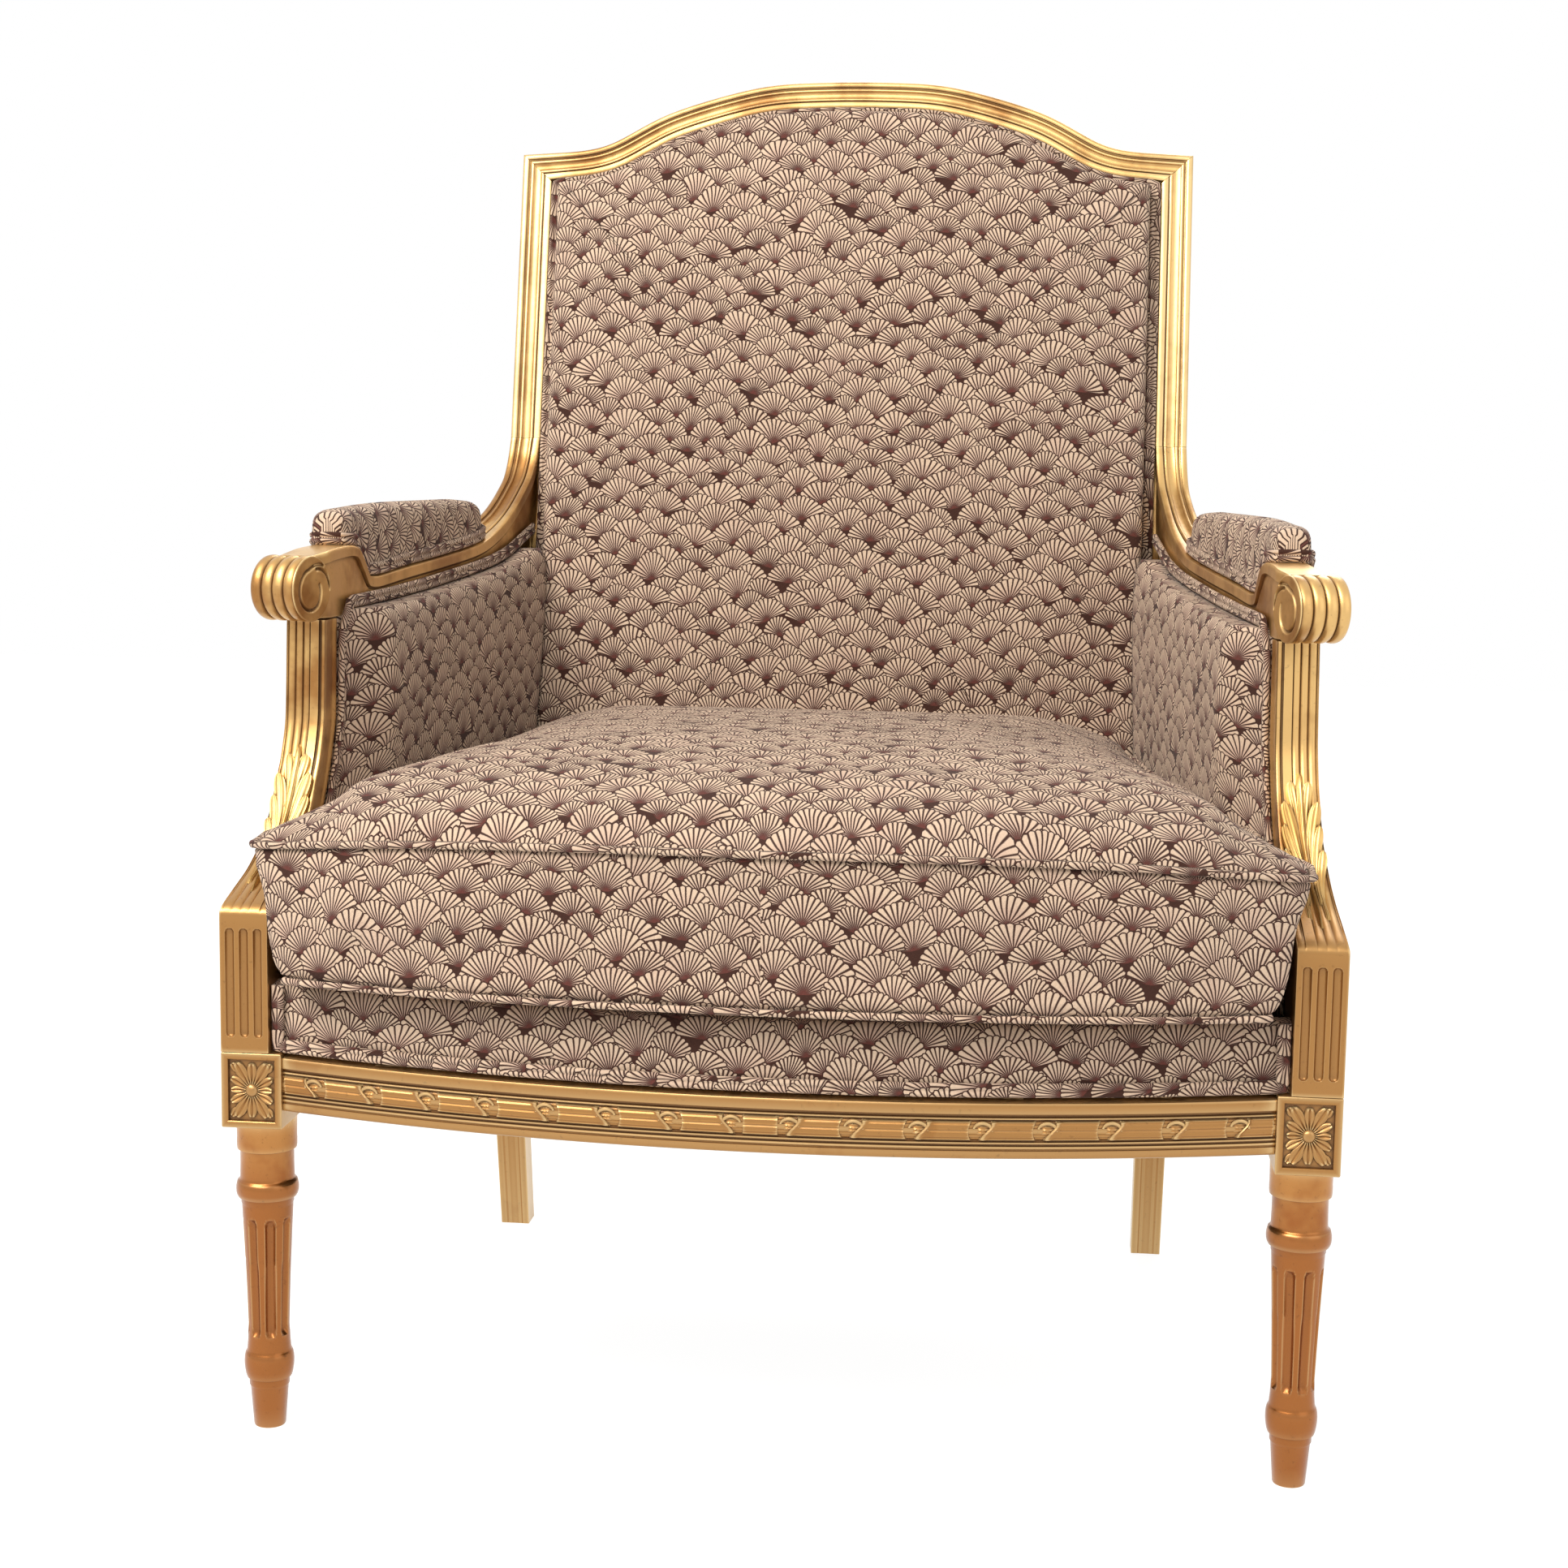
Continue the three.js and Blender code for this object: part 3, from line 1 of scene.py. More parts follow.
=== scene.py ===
"""A wide gilded armchair with closed arms, a leaning arched back and a loose seat cushion.

Sizes are in millimetres in the chair's own frame, where Z is up, the chair faces -Y and Y is zero at
the front legs. Finished meshes are in metres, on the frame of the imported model.
"""

import logging
import math
from bisect import bisect_right
from dataclasses import dataclass, field
from enum import Enum
from typing import Callable, Iterable, Sequence

import bmesh
import bpy
from mathutils import Matrix, Vector
from mathutils.kdtree import KDTree


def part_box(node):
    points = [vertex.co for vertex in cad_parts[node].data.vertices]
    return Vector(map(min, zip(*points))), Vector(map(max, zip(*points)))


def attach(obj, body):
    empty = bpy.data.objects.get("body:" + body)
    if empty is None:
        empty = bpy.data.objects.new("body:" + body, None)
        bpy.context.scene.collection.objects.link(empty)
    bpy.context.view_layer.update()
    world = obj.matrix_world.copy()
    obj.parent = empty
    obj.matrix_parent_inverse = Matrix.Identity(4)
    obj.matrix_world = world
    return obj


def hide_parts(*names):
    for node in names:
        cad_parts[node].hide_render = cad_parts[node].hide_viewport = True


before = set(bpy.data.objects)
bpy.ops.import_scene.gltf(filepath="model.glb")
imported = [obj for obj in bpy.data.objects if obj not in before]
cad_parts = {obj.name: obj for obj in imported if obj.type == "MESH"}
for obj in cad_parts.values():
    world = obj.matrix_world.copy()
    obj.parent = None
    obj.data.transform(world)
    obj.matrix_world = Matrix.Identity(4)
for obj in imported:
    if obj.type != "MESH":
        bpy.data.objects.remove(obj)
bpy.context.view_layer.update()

log = logging.getLogger("armchair")

MM = 0.001
GAP = 0.3
BIAS = math.sqrt(0.5)
SHIFT_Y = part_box("back_rail")[0].y / MM - 448.0
SIDES = (("right", 1), ("left", -1))

Place = Callable[[int, int], Vector]
Chart = Callable[[int, int], tuple[float, float]]
Table = Sequence[Sequence[float]]
Spot = tuple[float, float, float]


class Body(Enum):
    """The two bodies that pieces ride on."""

    FRAME = "frame"
    CUSHION = "cushion"


class Slot(Enum):
    """Material slots."""

    GILT = "gilt"
    UPHOLSTERY = "upholstery"
    RAW_WOOD = "raw_wood"
    STEEL = "steel"
    JUTE = "jute"
    BLACK_CLOTH = "black_cloth"


def lerp(low: float, high: float, share: float) -> float:
    """Blend two numbers by a share."""
    return low + (high - low) * share


def clamp(value: float, low: float = 0.0, high: float = 1.0) -> float:
    """Keep a number between two limits."""
    return max(low, min(high, value))


def smooth(value: float, low: float = 0.0, high: float = 1.0) -> float:
    """Ease from 0 at one limit to 1 at the other."""
    share = clamp((value - low) / (high - low))
    return share * share * (3 - 2 * share)


class Curve:
    """A smooth line through a table's points that never overshoots them."""

    def __init__(self, rows: Table, column: int = 1) -> None:
        """Store the points and work out the slope at each.

        Args:
            rows: Rows whose first column rises.
            column: Which column holds the values.
        """
        self.xs = [row[0] for row in rows]
        self.ys = [row[column] for row in rows]
        steps = [
            (y1 - y0) / (x1 - x0)
            for x0, x1, y0, y1 in zip(self.xs, self.xs[1:], self.ys, self.ys[1:])
        ]
        middle = [2 * a * b / (a + b) if a * b > 0 else 0.0 for a, b in zip(steps, steps[1:])]
        self.slopes = [steps[0], *middle, steps[-1]]

    def __call__(self, x: float) -> float:
        """Read the line at x, held level past its ends."""
        if x <= self.xs[0]:
            return self.ys[0]
        if x >= self.xs[-1]:
            return self.ys[-1]
        i = bisect_right(self.xs, x) - 1
        width = self.xs[i + 1] - self.xs[i]
        t = (x - self.xs[i]) / width
        low, high = self.ys[i], self.ys[i + 1]
        rise = width * ((t**3 - 2 * t**2 + t) * self.slopes[i] + (t**3 - t**2) * self.slopes[i + 1])
        return lerp(low, high, 3 * t**2 - 2 * t**3) + rise


def softened(line: Callable[[float], float], x: float, reach: float) -> float:
    """Average a line over a reach on either side, so that its corners turn softly."""
    shares = (-1.0, -0.75, -0.5, -0.25, 0.0, 0.25, 0.5, 0.75, 1.0)
    return sum(line(x + share * reach) for share in shares) / len(shares)


def spread(low: float, high: float, steps: int) -> list[float]:
    """Evenly spaced numbers from low to high, both included."""
    return [lerp(low, high, i / steps) for i in range(steps + 1)]


def on_chair(x: float, y: float, z: float) -> Vector:
    """Turn a point of the chair's own frame, in millimetres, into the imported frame, in metres."""
    return Vector((x, y + SHIFT_Y, z)) * MM


def own(point: Vector) -> Vector:
    """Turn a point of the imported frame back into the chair's own frame."""
    return point / MM - Vector((0.0, SHIFT_Y, 0.0))


@dataclass(frozen=True)
class ChairLines:
    """The lines that all pieces of the chair share."""

    front_half: float = 399.0
    rear_half: float = 309.0
    rail_top: float = 290.0
    rail_high: float = 40.0
    rail_thick: float = 28.0
    rail_bow: float = 53.0
    block_inner: float = 354.0
    block_front: float = -37.0
    block_rear: float = 25.0
    block_top: float = 293.0
    plinth_top: float = 396.0
    plinth_inner: float = 363.0
    console_top: float = 599.0
    rake: float = math.radians(12.0)
    foot_y: float = 450.0
    foot_z: float = 292.0
    stile_wide: float = 28.0
    stile_deep: float = 36.0
    stile_recess: float = 12.0
    side_rail_end: float = 441.7
    stuffing_foot: float = 293.5
    pad_proud: float = 28.0
    pad_crown: float = 10.0
    facet_x: float = 316.0
    facet_y: float = 150.0

    @property
    def stile_inner(self) -> float:
        """Inner edge of a stile."""
        return self.rear_half - self.stile_wide

    def on_back(self, x: float, along: float, behind: float) -> Vector:
        """Point on the leaning back, in the chair's own frame.

        Args:
            x: Across the chair.
            along: Up along the front face of the back's frame.
            behind: Behind that face.

        Returns:
            The point in millimetres.
        """
        lean, rise = math.sin(self.rake), math.cos(self.rake)
        return Vector(
            (x, self.foot_y + along * lean + behind * rise, self.foot_z + along * rise - behind * lean)
        )

    def back_y(self, z: float, behind: float) -> float:
        """Depth of the leaning back at a height."""
        return self.foot_y + (z - self.foot_z) * math.tan(self.rake) + behind / math.cos(self.rake)

    def rail_front(self, x: float) -> float:
        """Front line of the seat in plan."""
        return self.block_front + 2 - self.rail_bow * (1 - (x / self.block_inner) ** 2)

    def rail_outer(self, y: float) -> float:
        """Outer line of a side rail in plan."""
        share = (y - self.block_rear) / (self.side_rail_end - self.block_rear)
        return lerp(self.front_half - 2, self.rear_half, share)

    def joue_face(self, y: float) -> float:
        """Inner face line of the closed arm in plan, behind the corner of its front facet."""
        return lerp(self.facet_x, 263.0, (y - self.facet_y) / (480 - self.facet_y))

    def cover_x(self, y: float) -> float:
        """Outer face line of the closed arm in plan."""
        return self.rail_outer(min(y, self.side_rail_end)) - 3


LINES = ChairLines()


class Shell:
    """A mesh in the making, with a cloth chart in metres and a smooth or sharp finish."""

    def __init__(self) -> None:
        """Start an empty mesh with its chart."""
        self.bm = bmesh.new()
        self.chart = self.bm.loops.layers.uv.new("cloth")

    def skin(
        self,
        rows: int,
        columns: int,
        place: Place,
        chart: Chart | None = None,
        capped: bool = False,
        material: int = 0,
    ) -> list[bmesh.types.BMVert]:
        """Lay a net of faces over the points that place gives.

        Args:
            rows: Number of faces along the piece.
            columns: Number of faces round or across it.
            place: Gives the point of a row and a column, in the chair's own frame.
            chart: Gives the cloth coordinates of a row and a column, in metres.
            capped: Whether the two ends of a closed tube are filled.
            material: Index of the material slot.

        Returns:
            The vertices of the net.
        """
        made = bmesh.ops.create_grid(self.bm, x_segments=columns, y_segments=rows, size=0.5)["verts"]
        spots = {
            vert: (round((vert.co.y + 0.5) * rows), round((vert.co.x + 0.5) * columns)) for vert in made
        }
        faces = {face for vert in made for face in vert.link_faces}
        for face in faces:
            face.smooth = True
            face.material_index = material
            if chart:
                for loop in face.loops:
                    loop[self.chart].uv = chart(*spots[loop.vert])
        for vert, (row, column) in spots.items():
            vert.co = on_chair(*place(row, column))
        if capped:
            for row in (0, rows):
                rim = [vert for vert in made if spots[vert][0] == row]
                ring = sorted(rim, key=lambda vert: spots[vert][1])[:-1]
                cap = self.bm.faces.new(ring)
                cap.smooth = True
                cap.material_index = material
                for loop in cap.loops:
                    at = loop.vert.co
                    loop[self.chart].uv = chart(*spots[loop.vert]) if chart else (at.x, at.z)
        return made

    def merge(self, reach: float = 0.02) -> None:
        """Join points that lie together, and turn all faces outward."""
        bmesh.ops.remove_doubles(self.bm, verts=self.bm.verts[:], dist=reach * MM)
        bmesh.ops.dissolve_degenerate(self.bm, edges=self.bm.edges[:], dist=reach * MM)
        bmesh.ops.recalc_face_normals(self.bm, faces=self.bm.faces[:])

    def flip_side(self, side: int) -> None:
        """Mirror the whole mesh when it is for the left side."""
        if side < 0:
            bmesh.ops.scale(self.bm, vec=(-1, 1, 1), verts=self.bm.verts[:])
            bmesh.ops.reverse_faces(self.bm, faces=self.bm.faces[:])

    def finish(self, name: str, sharp: float = 180.0) -> bpy.types.Object:
        """Turn the mesh into an object at the origin.

        Args:
            name: Name of the piece.
            sharp: Edges that fold by more than this angle, in degrees, stay crisp.

        Returns:
            The new object.
        """
        mesh = bpy.data.meshes.new(name)
        self.bm.to_mesh(mesh)
        self.bm.free()
        if sharp < 180:
            mesh.set_sharp_from_angle(angle=math.radians(sharp))
        piece = bpy.data.objects.new(name, mesh)
        bpy.context.scene.collection.objects.link(piece)
        return piece


def settle(
    piece: bpy.types.Object,
    finish: bpy.types.Material | Sequence[bpy.types.Material],
    slot: Slot,
    nodes: Iterable[str] = (),
    body: Body = Body.FRAME,
    fill: float | None = None,
) -> bpy.types.Object:
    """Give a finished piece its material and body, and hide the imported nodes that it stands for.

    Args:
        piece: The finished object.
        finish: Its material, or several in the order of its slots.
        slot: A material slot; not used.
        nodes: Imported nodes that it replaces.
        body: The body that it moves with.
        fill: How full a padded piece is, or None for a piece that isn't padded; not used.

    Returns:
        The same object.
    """
    finishes = [finish] if isinstance(finish, bpy.types.Material) else finish
    for material in finishes:
        piece.data.materials.append(material)
    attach(piece, body.value)
    if nodes:
        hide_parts(*nodes)
    log.info("%s: %d faces on %s", piece.name, len(piece.data.polygons), body.value)
    return piece


# Shader maths -------------------------------------------------------------------------------------------


class Wire:
    """A shader socket that Python arithmetic works on."""

    def __init__(self, tree: "ShaderTree", socket: bpy.types.NodeSocket) -> None:
        """Keep the tree and the socket."""
        self.tree = tree
        self.socket = socket

    def math(self, operation: str, *values: "Wire | float") -> "Wire":
        """Add a Math node on the given values."""
        return self.tree.add("ShaderNodeMath", {"operation": operation}, dict(enumerate(values)))

    def __add__(self, other: "Wire | float") -> "Wire":
        """Add."""
        return self.math("ADD", self, other)

    __radd__ = __add__

    def __sub__(self, other: "Wire | float") -> "Wire":
        """Subtract."""
        return self.math("SUBTRACT", self, other)

    def __rsub__(self, other: "Wire | float") -> "Wire":
        """Subtract from the other value."""
        return self.math("SUBTRACT", other, self)

    def __mul__(self, other: "Wire | float") -> "Wire":
        """Multiply."""
        return self.math("MULTIPLY", self, other)

    __rmul__ = __mul__

    def __truediv__(self, other: "Wire | float") -> "Wire":
        """Divide."""
        return self.math("DIVIDE", self, other)

    def __rtruediv__(self, other: "Wire | float") -> "Wire":
        """Divide the other value by this one."""
        return self.math("DIVIDE", other, self)

    def floor(self) -> "Wire":
        """Whole part."""
        return self.math("FLOOR", self)

    def fract(self) -> "Wire":
        """Part past the whole."""
        return self.math("FRACT", self)

    def size(self) -> "Wire":
        """Value without its sign."""
        return self.math("ABSOLUTE", self)

    def above(self, limit: "Wire | float") -> "Wire":
        """1 where the value is above a limit."""
        return self.math("GREATER_THAN", self, limit)

    def eased(self, low: float, high: float) -> "Wire":
        """Ease from 0 at low to 1 at high."""
        return self.tree.add(
            "ShaderNodeMapRange",
            {"interpolation_type": "SMOOTHSTEP"},
            {"Value": self, "From Min": low, "From Max": high},
        )


class ShaderTree:
    """The node tree of one material."""

    def __init__(self, name: str) -> None:
        """Start a material with an output and a surface shader."""
        self.material = bpy.data.materials.new(name)
        self.material.use_nodes = True
        self.nodes = self.material.node_tree.nodes
        self.links = self.material.node_tree.links
        self.nodes.clear()
        self.output = self.nodes.new("ShaderNodeOutputMaterial")
        self.surface = self.nodes.new("ShaderNodeBsdfPrincipled")
        self.links.new(self.surface.outputs[0], self.output.inputs["Surface"])

    def add(self, kind: str, settings: dict | None = None, values: dict | None = None, out: int | str = 0) -> Wire:
        """Add a node.

        Args:
            kind: The node's type.
            settings: Properties set before anything is linked. A list of stops fills a colour ramp.
            values: Socket values or wires, by socket name or place.
            out: The output that is used.

        Returns:
            The chosen output.
        """
        node = self.nodes.new(kind)
        for key, value in (settings or {}).items():
            if key == "stops":
                ramp = node.color_ramp.elements
                while len(ramp) < len(value):
                    ramp.new(1.0)
                for stop, (position, colour) in zip(ramp, value):
                    stop.position = position
                    stop.color = (*colour, 1.0)
            else:
                setattr(node, key, value)
        for key, value in (values or {}).items():
            self.feed(node.inputs[key], value)
        return Wire(self, node.outputs[out])

    def feed(self, socket: bpy.types.NodeSocket, value: object) -> None:
        """Link a wire to a socket, or set a plain value on it."""
        if isinstance(value, Wire):
            self.links.new(value.socket, socket)
        elif isinstance(value, tuple) and len(value) == 3 and socket.type == "RGBA":
            socket.default_value = (*value, 1.0)
        else:
            socket.default_value = value

    def dress(self, **values: object) -> bpy.types.Material:
        """Feed the surface shader by socket name, with underscores for spaces, and return the material."""
        for key, value in values.items():
            self.feed(self.surface.inputs[key.replace("_", " ")], value)
        return self.material

    def split(self, vector: Wire) -> tuple[Wire, Wire, Wire]:
        """Take a vector apart."""
        parts = self.add("ShaderNodeSeparateXYZ", {}, {0: vector})
        node = parts.socket.node
        return tuple(Wire(self, output) for output in node.outputs)

    def join(self, x: Wire | float, y: Wire | float, z: Wire | float = 0.0) -> Wire:
        """Put a vector together."""
        return self.add("ShaderNodeCombineXYZ", {}, {0: x, 1: y, 2: z})

    def chart(self) -> Wire:
        """The cloth chart of the piece."""
        return self.add("ShaderNodeUVMap", {"uv_map": "cloth"})

    def place(self) -> Wire:
        """The place on the object, in metres."""
        return self.add("ShaderNodeTexCoord", {}, {}, "Object")

    def noise(self, vector: Wire, scale: float, detail: float = 2.0, rough: float = 0.5) -> Wire:
        """Noise between 0 and 1."""
        return self.add(
            "ShaderNodeTexNoise", {}, {"Vector": vector, "Scale": scale, "Detail": detail, "Roughness": rough}
        )

    def mix(self, factor: Wire | float, low: object, high: object) -> Wire:
        """Blend two colours."""
        node = self.nodes.new("ShaderNodeMix")
        node.data_type = "RGBA"
        self.feed(node.inputs[0], factor)
        self.feed(node.inputs[6], low)
        self.feed(node.inputs[7], high)
        return Wire(self, node.outputs[2])

    def blend(self, factor: Wire, low: Wire | float, high: Wire | float) -> Wire:
        """Blend two numbers."""
        return low + factor * (high - low)

    def bump(self, height: Wire, distance: float, strength: float = 1.0, normal: Wire | None = None) -> Wire:
        """Bump from a height between 0 and 1 over a distance in metres."""
        values = {"Height": height, "Distance": distance, "Strength": strength}
        if normal:
            values["Normal"] = normal
        return self.add("ShaderNodeBump", {}, values)


Colour = tuple[float, float, float]


@dataclass(frozen=True)
class FanCloth:
    """Furnishing cloth woven with overlapping fans, each with pale ribs on a dark ground."""

    name: str = "fan_cloth"
    pitch: float = 0.061
    row: float = 0.0059
    reach: float = 0.0180
    half_turn: float = 1.50
    line: float = 0.00065
    pale: Colour = (0.63, 0.475, 0.35)
    blush: Colour = (0.54, 0.37, 0.285)
    dark: Colour = (0.045, 0.016, 0.010)
    plum: Colour = (0.14, 0.040, 0.032)
    rows: int = 6

    def fan(self, tree: ShaderTree, u: Wire, v: Wire, band: Wire) -> tuple[Wire, Wire, Wire]:
        """One row of fans.

        Args:
            tree: The material's tree.
            u: Place across the cloth.
            v: Place up the cloth.
            band: Number of the row whose fans are read.

        Returns:
            Where the row's fans lie, where their pale ribs lie, and the share of their reach.
        """
        pair = (band * 0.5).floor()
        odd = band - pair * 2.0
        shift = (band * 0.5 + pair * 0.25).fract()
        cell = (u / self.pitch + shift).floor()
        random = tree.add(
            "ShaderNodeTexWhiteNoise", {"noise_dimensions": "2D"}, {"Vector": tree.join(cell, band)}, "Color"
        )
        first, second, third = tree.split(random)
        dx = u - (cell + 0.5 - shift) * self.pitch - (first - 0.5) * 0.0080
        dy = v - band * self.row - second * 0.0034 - (1.0 - odd) * 0.0034
        square = dx * dx + dy * dy
        far = square.math("SQRT", square)
        reach = self.reach * (0.86 + 0.34 * third)
        angle = dx.math("ARCTAN2", dx, dy) + (third - 0.5) * 0.45
        ribs = 3.9 + 1.0 * second
        across = 0.5 - ((angle * ribs + first).fract() - 0.5).size()
        line = (across * far / ribs / (0.42 + 0.62 * (far / reach))).eased(self.line * 0.45, self.line * 1.35)
        bulge = (across * 2.0).math("POWER", across * 2.0, 0.45)
        tip = reach - 0.0017 + 0.0017 * bulge - far
        sector = (self.half_turn - angle.size()) * far
        inside = tip.eased(0.0, 0.00035) * sector.eased(0.0, 0.0004)
        claim = (tip + 0.0007).above(0.0) * (sector + 0.0006).above(0.0)
        return claim, line * inside, far / reach

    def build(self) -> bpy.types.Material:
        """Build the material."""
        tree = ShaderTree(self.name)
        chart = tree.chart()
        warp = tree.add("ShaderNodeTexNoise", {}, {"Vector": chart, "Scale": 17.0, "Detail": 1.0}, "Color")
        wx, wy, _ = tree.split(warp)
        x, y, _ = tree.split(chart)
        u = x + (wx - 0.5) * 0.020
        v = y + (wy - 0.5) * 0.018
        band = (v / self.row).floor()
        rib: Wire | float = 0.0
        share: Wire | float = 1.0
        for behind in range(self.rows):
            claim, ribs, far = self.fan(tree, u, v, band - float(behind))
            rib = rib + claim * (ribs - rib)
            share = share + claim * (far - share)
        tint = tree.noise(chart, 30.0, 2.0)
        pale = tree.mix(share.eased(0.30, 0.85), self.blush, self.pale)
        pale = tree.mix(tint.eased(0.45, 0.75) * 0.5, pale, self.blush)
        ground = tree.mix(share.eased(0.42, 0.08) * 0.7, self.dark, self.plum)
        weft = (x * 1500.0).math("SINE", x * 1500.0) * (y * 1500.0).math("SINE", y * 1500.0)
        colour = tree.mix(rib, ground, pale)
        fleck = tree.noise(chart, 700.0, 1.0)
        colour = tree.mix(fleck.eased(0.45, 0.85) * 0.12, colour, self.dark)
        return tree.dress(
            Base_Color=colour,
            Roughness=0.92 - 0.1 * rib,
            Normal=tree.bump(rib + weft * 0.08, 0.0010, 0.85),
            Sheen_Weight=0.10,
            Sheen_Roughness=0.5,
            Specular_IOR_Level=0.25,
        )


@dataclass(frozen=True)
class Gilding:
    """Burnished leaf over a warm ground, dull and brown in the hollows, partly patina and partly painted shade from an
    occlusion test, with a painted highlight on sharp edges.
    """

    name: str
    leaf: Colour = (0.72, 0.455, 0.17)
    worn: Colour = (0.36, 0.165, 0.043)
    # dark tone of the hollows: patina, and painted shade where the occlusion test darkens recesses
    patina_and_shade: Colour = (0.10, 0.042, 0.013)
    rough: float = 0.36
    metal: float = 0.9
    # heights in metres between which the gilding turns darker towards the bottom
    darkening_from: float = 0.46
    darkest_below: float = 0.38

    def build(self) -> bpy.types.Material:
        """Build the material."""
        tree = ShaderTree(self.name)
        place = tree.place()
        _, _, high = tree.split(place)
        cloud = tree.noise(place, 14.0, 4.0, 0.6)
        grain = tree.noise(place, 260.0, 3.0, 0.6)
        # painted shade, partly patina: an occlusion test finds recesses, which take the dark hollow tone and lose some
        # metal
        depth = tree.add(
            "ShaderNodeAmbientOcclusion", {"samples": 8, "only_local": True}, {"Distance": 0.006}, "AO"
        )
        sunk = depth.eased(0.95, 0.40)
        # painted highlight: sharp edges, found by pointiness, are lifted toward pale gold
        edge = tree.add("ShaderNodeNewGeometry", {}, {}, "Pointiness")
        crest = edge.eased(0.51, 0.58)
        # darker towards the bottom, fully so below the lower height
        low_darkening = high.eased(self.darkening_from, self.darkest_below) * 0.9
        clouded = cloud.eased(0.40, 0.66)
        dull_mask = clouded.math("MAXIMUM", clouded, low_darkening)
        patch = tree.mix(dull_mask, self.leaf, self.worn)
        patch = tree.mix(grain.eased(0.60, 0.80) * 0.4, patch, self.patina_and_shade)
        # recesses darkened: partly patina, partly painted shade
        colour = tree.mix(sunk * 0.85, patch, self.patina_and_shade)
        colour = tree.mix(crest * 0.45, colour, (0.95, 0.74, 0.38))
        height = grain * 0.5 + cloud
        return tree.dress(
            Base_Color=colour,
            Metallic=self.metal - 0.25 * sunk,
            Roughness=self.rough + 0.16 * (cloud - 0.5) + 0.22 * sunk + 0.06 * grain,
            Normal=tree.bump(height, 0.0004, 0.35),
            Coat_Weight=0.28,
            Coat_Roughness=0.16,
        )


@dataclass(frozen=True)
class PlainWood:
    """Unfinished beech."""

    name: str = "raw_beech"

    def build(self) -> bpy.types.Material:
        """Build the material."""
        tree = ShaderTree(self.name)
        along = tree.add("ShaderNodeMapping", {}, {"Vector": tree.place(), "Scale": (6.0, 60.0, 60.0)})
        grain = tree.noise(along, 4.0, 6.0, 0.65)
        return tree.dress(
            Base_Color=tree.mix(grain, (0.42, 0.26, 0.13), (0.62, 0.42, 0.24)),
            Roughness=0.6 + 0.2 * grain,
            Normal=tree.bump(grain, 0.0004, 0.5),
        )


@dataclass(frozen=True)
class ScrewSteel:
    """Dull screw steel."""

    name: str = "screw_steel"

    def build(self) -> bpy.types.Material:
        """Build the material."""
        tree = ShaderTree(self.name)
        wear = tree.noise(tree.place(), 400.0, 3.0)
        return tree.dress(
            Base_Color=tree.mix(wear, (0.30, 0.31, 0.32), (0.48, 0.49, 0.50)),
            Metallic=0.95,
            Roughness=0.32 + 0.2 * wear,
            Normal=tree.bump(wear, 0.0001, 0.4),
        )


@dataclass(frozen=True)
class PlainWeave:
    """Open plain weave, for jute straps, hessian and the dust cover."""

    name: str
    thread: Colour
    shade: Colour
    count: float = 700.0
    relief: float = 0.0005

    def build(self) -> bpy.types.Material:
        """Build the material."""
        tree = ShaderTree(self.name)
        chart = tree.place()
        x, y, z = tree.split(chart)
        warp = (x * self.count).math("SINE", x * self.count)
        weft_place = (y + z) * self.count
        weft = weft_place.math("SINE", weft_place)
        weave = (warp * weft).eased(-0.8, 0.9)
        slub = tree.noise(chart, 120.0, 3.0)
        return tree.dress(
            Base_Color=tree.mix(weave * 0.7 + slub * 0.3, self.shade, self.thread),
            Roughness=0.95,
            Normal=tree.bump(weave, self.relief, 0.7),
            Specular_IOR_Level=0.2,
        )


# Shapes --------------------------------------------------------------------------------------------------


def eased_track(points: Sequence[Sequence[float]], steps: int) -> list[list[float]]:
    """Refine a run of rows so that every column runs smoothly through its values.

    Args:
        points: Rows of numbers.
        steps: Number of steps between two rows.

    Returns:
        The finer rows.
    """
    rows = [(i, *point) for i, point in enumerate(points)]
    curves = [Curve(rows, column) for column in range(1, len(rows[0]))]
    return [[curve(i / steps) for curve in curves] for i in range((len(points) - 1) * steps + 1)]


def round_track(points: Sequence[Vector], spacing: float, closed: bool = False) -> list[Vector]:
    """Run a Catmull-Rom line through points and read it at an even spacing.

    Args:
        points: Points in millimetres.
        spacing: Distance between the points that are returned, about.
        closed: Whether the line returns to its start, which is then not repeated.

    Returns:
        Evenly spaced points.
    """
    count = len(points)
    fine: list[Vector] = []
    for i in range(count if closed else count - 1):
        if closed:
            a, b, c, d = (points[(i + k) % count] for k in (-1, 0, 1, 2))
        else:
            a, b, c, d = (points[min(max(i + k, 0), count - 1)] for k in (-1, 0, 1, 2))
        for k in range(12):
            t = k / 12
            fine.append(
                0.5
                * (2 * b + (c - a) * t + (2 * a - 5 * b + 4 * c - d) * t**2 + (3 * b - a - 3 * c + d) * t**3)
            )
    fine.append(points[0].copy() if closed else points[-1].copy())
    lengths = [0.0]
    for p, q in zip(fine, fine[1:]):
        lengths.append(lengths[-1] + (q - p).length)
    steps = max(round(lengths[-1] / spacing), 2)
    line = []
    i = 0
    for k in range(steps + 1):
        goal = lengths[-1] * k / steps
        while i < len(fine) - 2 and lengths[i + 1] < goal:
            i += 1
        span = max(lengths[i + 1] - lengths[i], 1e-9)
        line.append(fine[i].lerp(fine[i + 1], (goal - lengths[i]) / span))
    return line[:-1] if closed else line


def outward(outline: Sequence[Vector]) -> list[Vector]:
    """Directions in the plane that point out of a closed outline."""
    count = len(outline)
    turn = sum(
        p.x * q.y - q.x * p.y for p, q in zip(outline, [*outline[1:], outline[0]])
    )
    sign = 1 if turn > 0 else -1
    ways = []
    for i in range(count):
        along = outline[(i + 1) % count] - outline[i - 1]
        ways.append(Vector((along.y, -along.x, 0.0)).normalized() * sign)
    return ways


